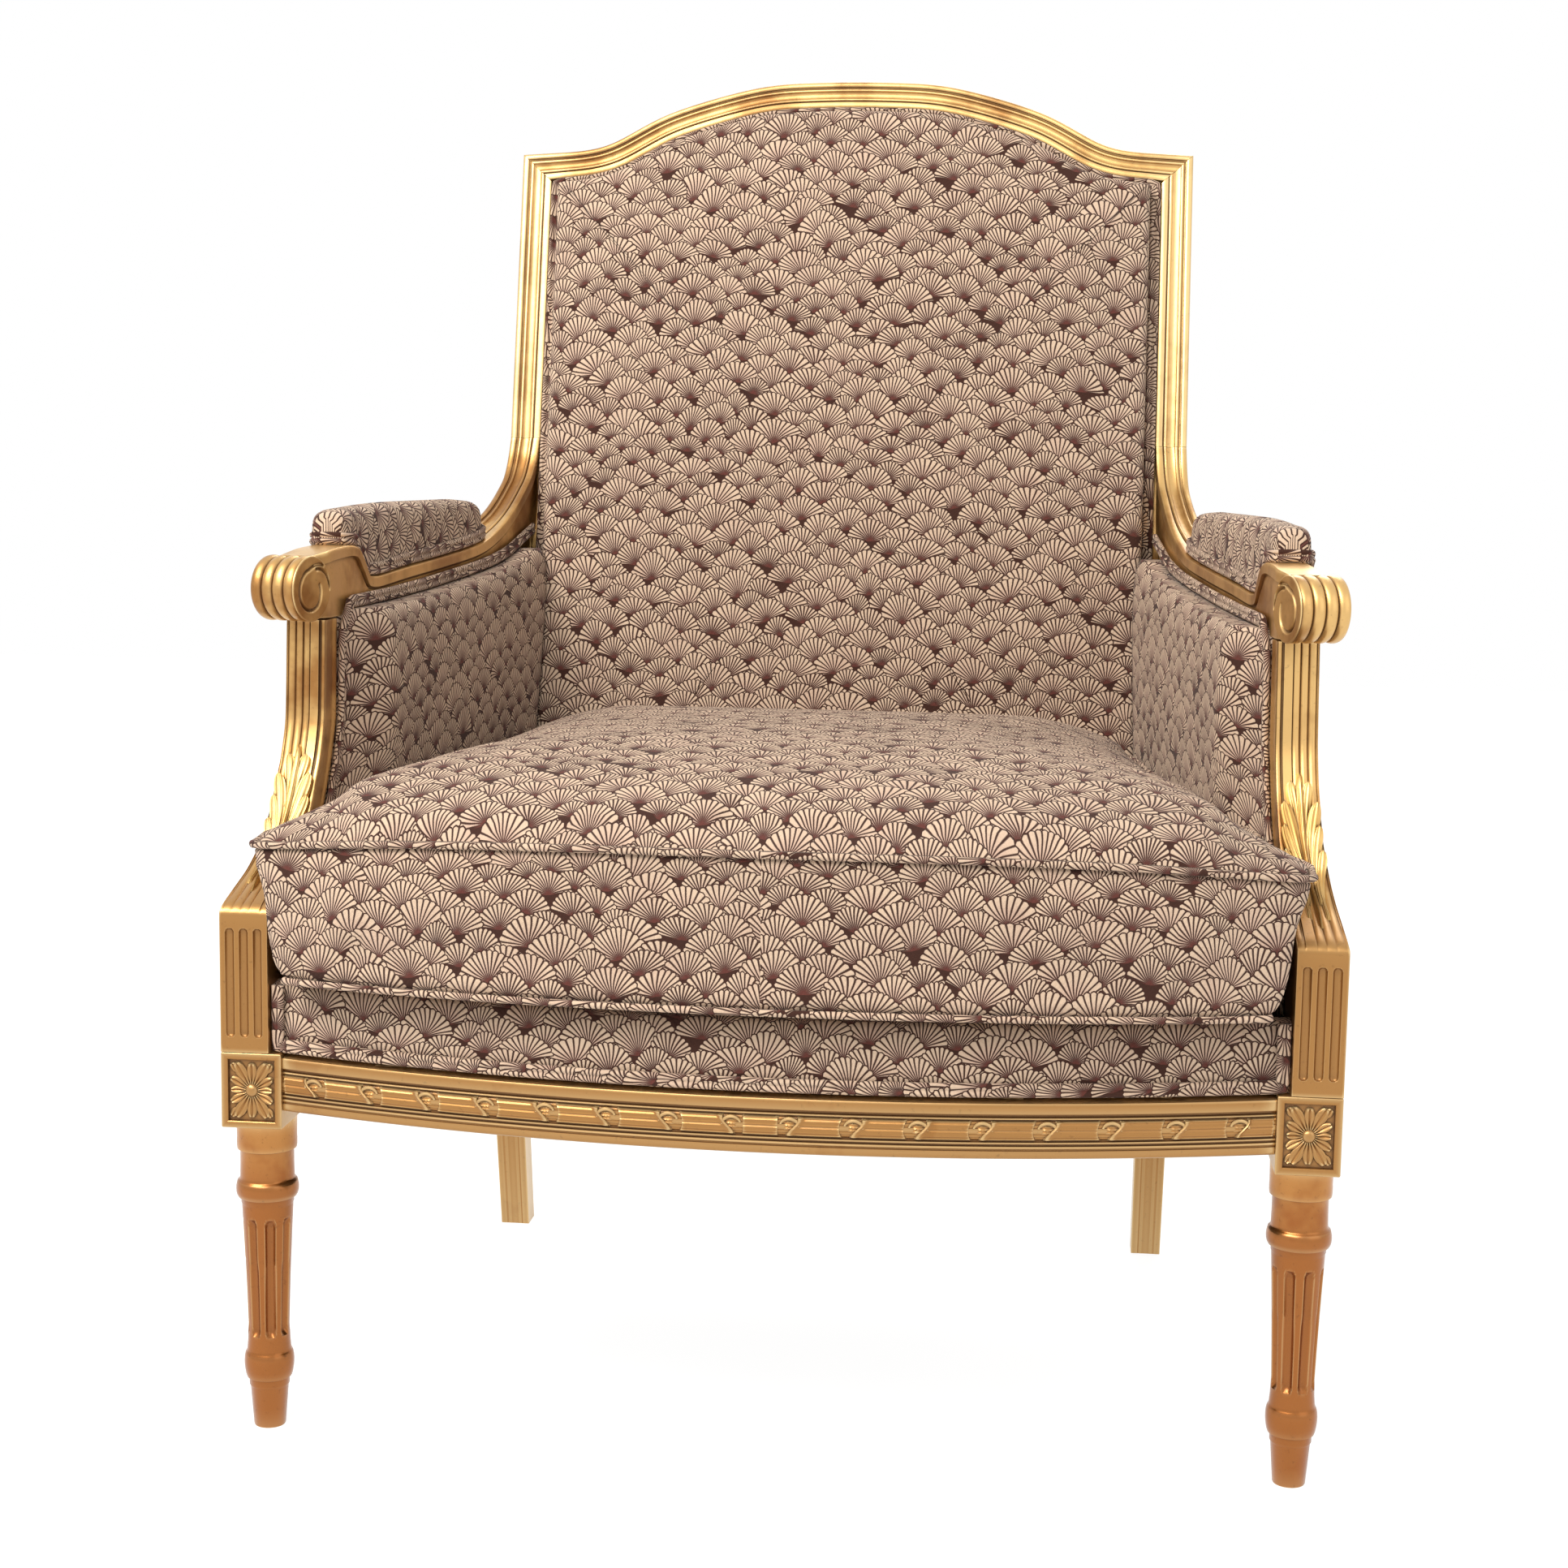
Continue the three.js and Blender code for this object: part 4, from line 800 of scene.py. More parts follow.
def add_rings(
    shell: Shell,
    rings: Sequence[Sequence[Vector]],
    capped: bool = True,
    looped: bool = False,
    chart: Chart | None = None,
    material: int = 0,
) -> list[bmesh.types.BMVert]:
    """Skin a run of closed rings.

    Args:
        shell: The mesh that they are added to.
        rings: Rings with the same number of points.
        capped: Whether the two ends are filled.
        looped: Whether the last ring joins the first.
        chart: Cloth coordinates of a ring and a point, or none.
        material: Index of the material slot.

    Returns:
        The new vertices.
    """
    count = len(rings[0])
    rows = len(rings) if looped else len(rings) - 1
    return shell.skin(
        rows,
        count,
        lambda i, j: rings[i % len(rings)][j % count],
        chart,
        capped and not looped,
        material,
    )


def add_sweep(
    shell: Shell,
    path: Sequence[Vector],
    ways: Sequence[Vector],
    section: Sequence[tuple[float, float]],
    closed: bool = False,
    scale: Callable[[float], float] | None = None,
    material: int = 0,
) -> None:
    """Sweep a closed section along a path, with a cloth chart of its length and girth.

    Args:
        shell: The mesh that it is added to.
        path: Points in millimetres.
        ways: For each point, the direction in which the section's second axis points.
        section: Points as (side, out).
        closed: Whether the path returns to its start.
        scale: Size of the section at a share of the length.
        material: Index of the material slot.
    """
    count = len(path)
    rings = []
    lengths = [0.0]
    for i, point in enumerate(path):
        before = path[i - 1] if closed or i else path[0]
        after = path[(i + 1) % count] if closed else path[min(i + 1, count - 1)]
        along = (after - before).normalized()
        out = (ways[i] - along * ways[i].dot(along)).normalized()
        across = along.cross(out)
        size = scale(i / (count - 1)) if scale else 1.0
        rings.append([point + across * side * size + out * rise * size for side, rise in section])
        lengths.append(lengths[-1] + (after - point).length)
    girth = [0.0]
    for p, q in zip(section, [*section[1:], section[0]]):
        girth.append(girth[-1] + math.dist(p, q))
    add_rings(
        shell,
        rings,
        capped=not closed,
        looped=closed,
        chart=lambda i, j: ((lengths[i] + girth[j]) * BIAS * MM, (girth[j] - lengths[i]) * BIAS * MM),
        material=material,
    )


def circle_section(radius: float, steps: int = 14) -> list[tuple[float, float]]:
    """Points of a round section."""
    turns = [2 * math.pi * k / steps for k in range(steps)]
    return [(radius * math.cos(t), radius * math.sin(t)) for t in turns]


def double_section(wide: float, thick: float, steps: int = 9) -> list[tuple[float, float]]:
    """Points of a double welt: two round cords side by side."""
    radius = wide / 4
    points = []
    for middle, first in ((radius, -150.0), (-radius, 30.0)):
        for k in range(steps + 1):
            turn = math.radians(first + 300.0 * k / (steps) if middle > 0 else first + 300.0 * k / steps)
            points.append((middle + radius * math.cos(turn), thick / 2 * math.sin(turn)))
    return points


def add_turned(
    shell: Shell, profile: Sequence[tuple[float, float]], steps: int, place: Matrix, material: int = 0
) -> list[bmesh.types.BMVert]:
    """Spin a profile of (along, radius) about its axis and put it in place.

    Args:
        shell: The mesh that it is added to.
        profile: Points from one end of the axis to the other, in millimetres.
        steps: Number of steps in the full turn.
        place: Turns the axis, local +Z, and moves the piece, in millimetres.
        material: Index of the material slot.

    Returns:
        The new vertices.
    """
    bm = shell.bm
    before = set(bm.verts)
    line = [bm.verts.new((radius, 0.0, along)) for along, radius in profile]
    edges = [bm.edges.new(pair) for pair in zip(line, line[1:])]
    bmesh.ops.spin(
        bm,
        geom=[*line, *edges],
        cent=(0, 0, 0),
        axis=(0, 0, 1),
        angle=2 * math.pi,
        steps=steps,
        use_merge=True,
        use_duplicate=False,
    )
    made = [vert for vert in bm.verts if vert not in before]
    for face in {face for vert in made for face in vert.link_faces}:
        face.smooth = True
        face.material_index = material
    for vert in made:
        vert.co = on_chair(*(place @ vert.co))
    return made


@dataclass(frozen=True)
class FrameMoulding:
    """Section that the crest, the stiles and the arms share: a broad fillet, beads and hollows."""

    face: Table = (
        (0.0, 1.3), (0.015, 0.5), (0.05, 0.08), (0.1, 0.0), (0.195, 0.0), (0.215, 0.25), (0.225, 1.9),
        (0.25, 2.0), (0.262, 1.0), (0.285, 0.5), (0.31, 0.38), (0.335, 0.5), (0.358, 1.0), (0.37, 1.9),
        (0.41, 2.45), (0.46, 2.7), (0.52, 2.7), (0.57, 2.45), (0.61, 1.9), (0.622, 1.0), (0.645, 0.5),
        (0.67, 0.38), (0.695, 0.5), (0.718, 1.0), (0.73, 1.8), (0.76, 2.15), (0.79, 1.8), (0.802, 0.6),
        (0.83, 0.12), (0.87, 0.0), (0.92, 0.15), (0.96, 0.6), (0.985, 1.3), (1.0, 2.4),
    )
    edge: float = 1.2

    def ring(self, deep: float) -> list[tuple[float, float]]:
        """Closed ring as (share from the inner to the outer edge, depth behind the face)."""
        e = self.edge
        back = [(1.0, deep - e), (0.99, deep - 0.3 * e), (0.96, deep), (0.04, deep)]
        back += [(0.01, deep - 0.3 * e), (0.0, deep - e)]
        return [*self.face, *back]


MOULDING = FrameMoulding()


@dataclass
class BackFrame:
    """The leaning back's gilt frame: an arched crest mitred to two stiles, with the back legs."""

    corner_along: float = 724.0
    crest_wide: float = 24.5
    crest_rise: float = 69.0
    mitre_run: float = 26.0
    mitre_fall: float = 24.0
    arm_joint: float = 455.0
    leg_block_y: float = 442.0
    leg_foot_y: float = 506.0
    leg_foot_size: float = 26.0
    leg_high: float = 237.0
    crest_shares: Table = (
        (0, 1), (0.12, 0.99), (0.243, 0.965), (0.324, 0.9), (0.405, 0.81), (0.493, 0.695), (0.557, 0.6),
        (0.625, 0.47), (0.669, 0.345), (0.703, 0.25), (0.75, 0.145), (0.814, 0.068), (0.892, 0.035), (1, 0),
    )
    ring: list[tuple[float, float]] = field(default_factory=lambda: MOULDING.ring(36.0))
    arch: Curve = field(init=False)

    def __post_init__(self) -> None:
        """Prepare the arch line."""
        self.arch = Curve(self.crest_shares)

    @property
    def half_long(self) -> float:
        """Half the length of the crest's centre line."""
        return LINES.rear_half - self.mitre_run / 2

    @property
    def crest_foot(self) -> float:
        """Height along the back of the crest's ends."""
        return self.corner_along - self.mitre_fall / 2

    def crest_line(self, x: float) -> float:
        """Height along the back of the crest's centre line."""
        return self.crest_foot + self.crest_rise * softened(lambda at: self.arch(abs(at) / self.half_long), x, 20.0)

    def crest_offset(self, x: float, offset: float) -> tuple[float, float]:
        """The crest line moved toward the seat."""
        slope = (self.crest_line(x + 0.5) - self.crest_line(x - 0.5)) / 1.0
        long = math.hypot(1, slope)
        return x + offset * slope / long, self.crest_line(x) - offset / long

    def crest(self) -> bpy.types.Object:
        """Build the crest rail."""
        shell = Shell()
        last = self.crest_shares[-2][0]
        shares = [-1.0, *spread(-last, last, 150), 1.0]
        rings = []
        for share in shares:
            x = share * self.half_long
            outer, inner = self.crest_offset(x, -self.crest_wide / 2), self.crest_offset(x, self.crest_wide / 2)
            if abs(share) == 1:
                half = LINES.rear_half
                outer = (share * half, self.corner_along)
                inner = (share * (half - self.mitre_run), self.corner_along - self.mitre_fall)
            rings.append(
                [
                    LINES.on_back(lerp(inner[0], outer[0], side), lerp(inner[1], outer[1], side), behind)
                    for side, behind in self.ring
                ]
            )
        add_rings(shell, rings)
        shell.merge()
        return shell.finish("carved_crest", 32)

    def stile(self, side: int) -> bpy.types.Object:
        """Build a stile with its back leg."""
        shell = Shell()
        inner, outer = LINES.stile_inner, LINES.rear_half
        deep = LINES.stile_deep

        def level(z: float, front: float, rear: float, inset: float = 0.0) -> list[Vector]:
            """Ring of the leg and of the part beside the seat."""
            return [
                Vector((lerp(inner + inset, outer - inset, s), lerp(front, rear, clamp(b / deep)), z))
                for s, b in self.ring
            ]

        def flattened(ring: list[Vector], front: float, dip: float) -> list[Vector]:
            """Leave only a trace of the moulding on a ring."""
            return [Vector((p.x, front + (p.y - front) * dip if p.y < front + 3 else p.y, p.z)) for p in ring]

        def raked(along: float, front: float, dip: float, mitre: bool = False) -> list[Vector]:
            """Ring across the leaning part."""
            points = []
            for s, b in self.ring:
                x = lerp(inner, outer, s)
                place = along
                if mitre:
                    place = self.corner_along - (outer - x) * self.mitre_fall / self.mitre_run - GAP
                behind = front + b * dip if b < 3 else b
                points.append(LINES.on_back(x, place, behind))
            return points

        rings = []
        for z, share in ((0.0, 0.0), (0.85 * self.leg_high, 0.93)):
            size = lerp(self.leg_foot_size, LINES.stile_wide, share)
            front = lerp(self.leg_foot_y, self.leg_block_y + self.leg_foot_size / 2, share)
            rings.append(flattened(level(z, front, front + size, (LINES.stile_wide - size) / 2), front, 0.15))
        for z in (self.leg_high, LINES.rail_top):
            rings.append(flattened(level(z, self.leg_block_y, LINES.back_y(z, deep)), self.leg_block_y, 0.15))
        ledge = LINES.rail_top + 1
        recess = LINES.back_y(ledge, LINES.stile_recess)
        rings.append(flattened(level(ledge, recess, LINES.back_y(ledge, deep)), recess, 0.15))
        rings.append(raked(self.arm_joint, LINES.stile_recess, 0.1))
        rings.append(raked(self.arm_joint + 2 * GAP, 0.0, 1.0))
        rings.append(raked(0.0, 0.0, 1.0, mitre=True))
        add_rings(shell, rings)
        shell.merge()
        shell.flip_side(side)
        return shell.finish("carved_stile", 32)

    def outline(self, inset: float, foot: float, spacing: float = 6.0) -> list[Vector]:
        """Closed outline inside the frame, a given distance from its inner edge."""
        half = LINES.stile_inner - inset
        offset = self.crest_wide / 2 + inset
        arch = []
        for x in spread(-half, half, 160):
            px, pa = self.crest_offset(x, offset)
            if abs(px) < half - 2:
                arch.append(Vector((px, pa, 0.0)))
        shoulder = arch[0].y - 1.5
        steps = max(round((shoulder - foot) / spacing), 2)
        up = [Vector((-half, a, 0.0)) for a in spread(foot, shoulder, steps)]
        down = [Vector((-p.x, p.y, 0.0)) for p in reversed(up)]
        base_steps = max(round(2 * half / spacing), 2)
        base = [Vector((x, foot, 0.0)) for x in spread(half, -half, base_steps)[1:-1]]
        thinned = arch[:: max(1, round(spacing / (2 * half / 160)))]
        return [*up, *thinned, *down, *base]

    def build(self, leaf: bpy.types.Material) -> None:
        """Build and dress the crest and the stiles."""
        settle(self.crest(), leaf, Slot.GILT, ["crest_rail"])
        for name, side in SIDES:
            stile = self.stile(side)
            stile.name = f"carved_stile_{name}"
            settle(stile, leaf, Slot.GILT, [f"back_stile_{name}"])


@dataclass
class FrontLeg:
    """A turned and fluted leg under a square block that carries a flower."""

    high: float = 237.0
    radius: float = 23.0
    block_wide: float = 45.0
    block_deep: float = 62.0
    block_high: float = 56.0
    flutes: int = 8
    flute_foot: float = 72.0
    flute_long: float = 89.0
    flute_wide: float = 7.4
    flute_deep: float = 3.1
    petals: int = 12
    recess_wide: float = 33.0
    recess_high: float = 43.0
    recess_deep: float = 3.0
    profile: Table = (
        (0.0, 0.0), (0.0, 0.49), (0.004, 0.51), (0.128, 0.61), (0.131, 0.625), (0.135, 0.645), (0.153, 0.648),
        (0.157, 0.66), (0.16, 0.72), (0.17, 0.755), (0.187, 0.785), (0.2, 0.798), (0.213, 0.8), (0.226, 0.79),
        (0.238, 0.765), (0.243, 0.735), (0.247, 0.715), (0.253, 0.705), (0.28, 0.68), (0.33, 0.662),
        (0.42, 0.69), (0.52, 0.727), (0.62, 0.772), (0.71, 0.814), (0.725, 0.822), (0.728, 0.84),
        (0.742, 0.842), (0.745, 0.86), (0.746, 0.93), (0.753, 0.972), (0.762, 0.994), (0.772, 1.0),
        (0.782, 0.994), (0.79, 0.975), (0.797, 0.955), (0.801, 0.90), (0.805, 0.875), (0.813, 0.868),
        (0.85, 0.858), (0.894, 0.857), (0.899, 0.875), (0.902, 0.95), (0.912, 0.962), (0.93, 0.962),
        (0.94, 0.957), (0.97, 0.962), (1.008, 0.97), (1.008, 0.0),
    )

    @property
    def axis_x(self) -> float:
        """Axis of the leg across the chair."""
        return LINES.front_half - self.block_wide / 2

    def shaft(self, shell: Shell) -> None:
        """Turn the leg and sink its stopped flutes."""
        rows: list[tuple[float, float]] = []
        for (u0, r0), (u1, r1) in zip(self.profile, self.profile[1:]):
            rows.append((u0 * self.high, r0 * self.radius))
            steps = round((u1 - u0) * self.high / 2.2) if 0.25 <= u0 < 0.725 else 0
            for k in range(1, steps):
                rows.append((lerp(u0, u1, k / steps) * self.high, lerp(r0, r1, k / steps) * self.radius))
        rows.append((self.profile[-1][0] * self.high, 0.0))
        made = add_turned(shell, rows, 144, Matrix.Translation((self.axis_x, 0, 0)))
        low, top = self.flute_foot, self.flute_foot + self.flute_long
        half = self.flute_wide / 2
        for vert in made:
            point = own(vert.co)
            x, y = point.x - self.axis_x, point.y
            reach = math.hypot(x, y)
            if reach < 2 or not low - 1 < point.z < top + 1:
                continue
            turn = math.atan2(y, x) / (2 * math.pi) * self.flutes - 0.5
            side = (turn - round(turn)) / self.flutes * 2 * math.pi * reach
            past = max(low + half - point.z, point.z - (top - half), 0.0)
            away = math.hypot(side, past) / half
            if away < 1:
                depth = self.flute_deep * math.sqrt(1 - away**2)
                vert.co = on_chair(
                    self.axis_x + x * (1 - depth / reach), y * (1 - depth / reach), point.z
                )

    def block(self, shell: Shell) -> None:
        """Build the block with its sunk panels on the front and the outer side."""
        bm = shell.bm
        middle = Vector((self.axis_x, LINES.block_front + self.block_deep / 2, self.high + self.block_high / 2))
        size = Matrix.Diagonal((self.block_wide * MM, self.block_deep * MM, self.block_high * MM, 1.0))
        cube = bmesh.ops.create_cube(bm, size=1.0, matrix=Matrix.Translation(on_chair(*middle)) @ size)["verts"]
        edges = list({edge for vert in cube for edge in vert.link_edges})
        bmesh.ops.bevel(
            bm, geom=edges, offset=1.2 * MM, segments=3, profile=0.5, affect="EDGES", material=-1
        )
        bm.normal_update()
        front = min(
            (face for face in bm.faces if face.calc_area() > 1500 * MM**2 and face.normal.y < -0.9),
            key=lambda face: face.calc_center_median().y,
        )
        border = (self.block_wide - self.recess_wide) / 2 - 1.2
        bmesh.ops.inset_region(bm, faces=[front], thickness=border * MM, depth=0.0)
        bmesh.ops.inset_region(bm, faces=[front], thickness=0.8 * MM, depth=-0.5 * MM)
        bmesh.ops.inset_region(bm, faces=[front], thickness=0.7 * MM, depth=-(self.recess_deep - 0.5) * MM)

    def flower(self, shell: Shell) -> None:
        """Carve the flower, its button and the four corner leaves into the panel."""
        ground = LINES.block_front + self.recess_deep
        centre = Vector((self.axis_x, ground, self.high + self.block_high / 2))

        def petal(angle: float, start: float, long: float, wide: float, proud: float) -> None:
            """One creased petal with a round end that lies on the panel."""
            along = Vector((math.cos(angle), 0, math.sin(angle)))
            across = Vector((-math.sin(angle), 0, math.cos(angle)))

            def spot(i: int, j: int) -> Vector:
                """Point of the petal."""
                t, c = i / 14, 2 * j / 12 - 1
                tip = math.sqrt(max(1 - (max(t - 0.62, 0) / 0.38) ** 2, 0.0))
                half = wide / 2 * (0.30 + 0.70 * smooth(t, 0.0, 0.62)) * tip
                edge = abs(c) == 1 or i in (0, 14)
                fold = 0.62 * math.exp(-((c / 0.22) ** 2))
                lift = -0.3 if edge else proud * (0.55 + 0.45 * t) * (math.sqrt(1 - c * c) - fold * (1 - t * 0.4))
                return centre + along * (start + long * t) + across * half * c - Vector((0, lift, 0))

            shell.skin(14, 12, spot)

        half_wide, half_high = self.recess_wide / 2 - 0.7, self.recess_high / 2 - 0.7
        for k in range(self.petals):
            turn = 2 * math.pi * k / self.petals
            room = min(half_wide / max(abs(math.cos(turn)), 1e-3), half_high / max(abs(math.sin(turn)), 1e-3))
            petal(turn, 3.4, room - 3.4, 0.36 * room + 1.0, 2.7)
        for sx in (-1, 1):
            for sz in (-1, 1):
                corner = Vector((sx * half_wide, 0, sz * half_high))
                aim = math.atan2(corner.z, corner.x)
                petal(aim, 13.5, corner.length - 14.5, 7.0, 2.3)
        dome = [(0.0, 4.7), (1.5, 4.6), (2.6, 4.0), (3.3, 3.1), (3.8, 1.8), (4.0, 0.0)]
        face_out = Matrix.Translation(centre) @ Matrix.Rotation(math.pi / 2, 4, "X")
        add_turned(shell, dome, 24, face_out)

    def build(self, leaf: bpy.types.Material, bronze: bpy.types.Material) -> None:
        """Build and dress both legs."""
        for name, side in SIDES:
            shell = Shell()
            self.shaft(shell)
            shell.merge()
            shell.flip_side(side)
            leg = shell.finish(f"turned_leg_{name}", 38)
            settle(leg, bronze, Slot.GILT, [f"front_leg_{name}"])
            shell = Shell()
            self.block(shell)
            self.flower(shell)
            shell.merge(0.01)
            shell.flip_side(side)
            settle(shell.finish(f"flower_block_{name}", 34), leaf, Slot.GILT, [f"front_leg_{name}"])


@dataclass
class SeatRails:
    """The seat frame's moulded rails with a carved ribbon that winds past round berries."""

    pitch: float = 44.0
    band_top: float = 277.8
    band_foot: float = 262.4
    floor_back: float = 3.1
    centre_half: float = 14.0
    face: Table = (
        (0.0, 1.7), (0.012, 0.6), (0.035, 0.05), (0.06, 0.0), (0.185, 0.0), (0.2, 0.4), (0.21, 3.0),
        (0.255, 3.2), (0.265, 1.9), (0.28, 1.3), (0.295, 1.4), (0.305, 3.1), (0.33, 3.1), (0.335, 2.7),
        (0.365, 1.9), (0.39, 1.9), (0.395, 1.5), (0.43, 1.1), (0.45, 1.3),
        (0.455, 0.9), (0.5, 0.7), (0.545, 0.9), (0.55, 1.3), (0.57, 1.1), (0.605, 1.5), (0.61, 1.9), (0.635, 1.9),
        (0.665, 2.7), (0.67, 3.1), (0.69, 3.1), (0.7, 1.3),
        (0.715, 1.2), (0.73, 1.5), (0.74, 3.1), (0.765, 3.1), (0.775, 1.5), (0.80, 1.2), (0.815, 1.5),
        (0.825, 2.3), (0.845, 2.3), (0.855, 1.5), (0.88, 1.2), (0.94, 1.2), (0.965, 1.6), (0.985, 2.2),
        (1.0, 3.4),
    )

    def ring(self, place: Callable[[float, float], Vector]) -> list[Vector]:
        """One closed ring across a rail."""
        top, high = LINES.rail_top, LINES.rail_high
        outer = [place(back, top - down * high) for down, back in self.face]
        return [*outer, place(LINES.rail_thick, top - high), place(LINES.rail_thick, top)]

    def add_ribbon(
        self, shell: Shell, point: Callable[[float, float, float], Vector], start: float, way: int, room: float = 44.0
    ) -> None:
        """Add one wrap of the ribbon and the bead of the rod that shows between two wraps.

        Args:
            shell: The mesh that they are added to.
            point: Gives the point of a length along the rail, a height and a height above the channel.
            start: Length at which the wrap starts.
            way: 1 or -1, the direction in which it runs.
            room: Length that is left before the end of the rail.
        """
        middle = (self.band_top + self.band_foot) / 2
        half = (self.band_top - self.band_foot) / 2 - 0.5
        bead = 6.0

        def wrap(i: int, j: int) -> Vector:
            """Point of the ribbon's wrap."""
            t, c = i / 26, 2 * j / 14 - 1
            first = 2 * bead - 1.0 - 8.0 * smooth(c, 0.7, -0.9)
            last = min(self.pitch, room) - 0.4 - 2.2 * (1 - c * c) * (room >= self.pitch)
            lip = math.exp(-(((t - 0.075) / 0.05) ** 2))
            rise = 1.3 + 1.3 * math.sqrt(1 - 0.9 * c * c) + 1.3 * lip - 0.3 * math.cos(5.5 * math.pi * c) * (1 - lip)
            rim = j in (0, 14) or i in (0, 26)
            return point(start + way * lerp(first, last, t), middle + half * c, -0.4 if rim else rise)

        shell.skin(26, 14, wrap)

        def knob(i: int, j: int) -> Vector:
            """Point of the rod's bead."""
            out, turn = i / 8 * math.pi / 2, 2 * math.pi * j / 24
            up = 4.9 * math.cos(out) * math.sin(turn)
            rise = 3.3 * math.sin(out) - 0.35 * math.cos(up * 2.6) * math.sin(out) - 0.3
            return point(start + way * (bead + bead * math.cos(out) * math.cos(turn)), middle - 0.3 + up, rise)

        shell.skin(8, 24, knob)

        def curl(i: int, j: int) -> Vector:
            """Point of the rim that laps the bead's top."""
            turn = math.radians(lerp(178, 20, i / 16))
            girth = 2 * math.pi * j / 8
            size = 1.15 * (0.45 + 0.55 * math.sin(math.pi * clamp(i / 16, 0.08, 0.95)))
            reach = 1.0 + size * math.cos(girth) / 5
            along = bead - bead * 1.08 * math.cos(turn) * reach
            up = middle - 0.3 + 5.9 * math.sin(turn) * reach
            return point(start + way * along, up, 2.3 + size * math.sin(girth))

        shell.skin(16, 8, curl, capped=True)

    def front(self) -> Shell:
        """Build the bowed front rail."""
        shell = Shell()
        reach = LINES.block_inner - GAP
        rings = [
            self.ring(lambda back, z, x=x: Vector((x, LINES.rail_front(x) + back, z)))
            for x in spread(-reach, reach, 120)
        ]
        add_rings(shell, rings)

        def point(s: float, z: float, rise: float) -> Vector:
            """Point on the channel of the bowed face."""
            slope = 2 * LINES.rail_bow * s / LINES.block_inner**2
            out = Vector((slope, -1, 0)).normalized()
            return Vector((s, LINES.rail_front(s) + self.floor_back, z)) + out * rise

        for way in (-1, 1):
            for start in (self.centre_half + k * self.pitch for k in range(8)):
                self.add_ribbon(shell, point, way * start, way, reach - 1 - start)
        middle = (self.band_top + self.band_foot) / 2

        def centre(i: int, j: int) -> Vector:
            """Point of the wrap at the rail's middle."""
            s, c = 2 * i / 16 - 1, 2 * j / 14 - 1
            rise = 1.3 + 1.3 * math.sqrt(1 - 0.9 * c * c) - 0.3 * math.cos(5.5 * math.pi * c)
            rim = j in (0, 14) or i in (0, 16)
            return point(s * (self.centre_half - 0.5), middle + 7.2 * c, -0.4 if rim else rise)

        shell.skin(16, 14, centre)
        return shell

    def side(self) -> Shell:
        """Build the right side rail."""
        shell = Shell()
        start, end = LINES.block_rear + GAP, LINES.side_rail_end
        rings = [
            self.ring(lambda back, z, y=y: Vector((LINES.rail_outer(y) - back, y, z)))
            for y in spread(start, end, 40)
        ]
        add_rings(shell, rings)

        def point(s: float, z: float, rise: float) -> Vector:
            """Point on the channel of the side face."""
            return Vector((LINES.rail_outer(s) - self.floor_back + rise, s, z))

        for k in range(int((end - start - 6) // self.pitch)):
            self.add_ribbon(shell, point, start + 6 + k * self.pitch, 1)
        return shell

    def build(self, leaf: bpy.types.Material) -> None:
        """Build and dress the front and side rails."""
        shell = self.front()
        shell.merge(0.01)
        settle(shell.finish("carved_front_rail", 34), leaf, Slot.GILT, ["front_rail"])
        for name, side in SIDES:
            shell = self.side()
            shell.merge(0.01)
            shell.flip_side(side)
            settle(shell.finish(f"carved_side_rail_{name}", 34), leaf, Slot.GILT, [f"side_rail_{name}"])


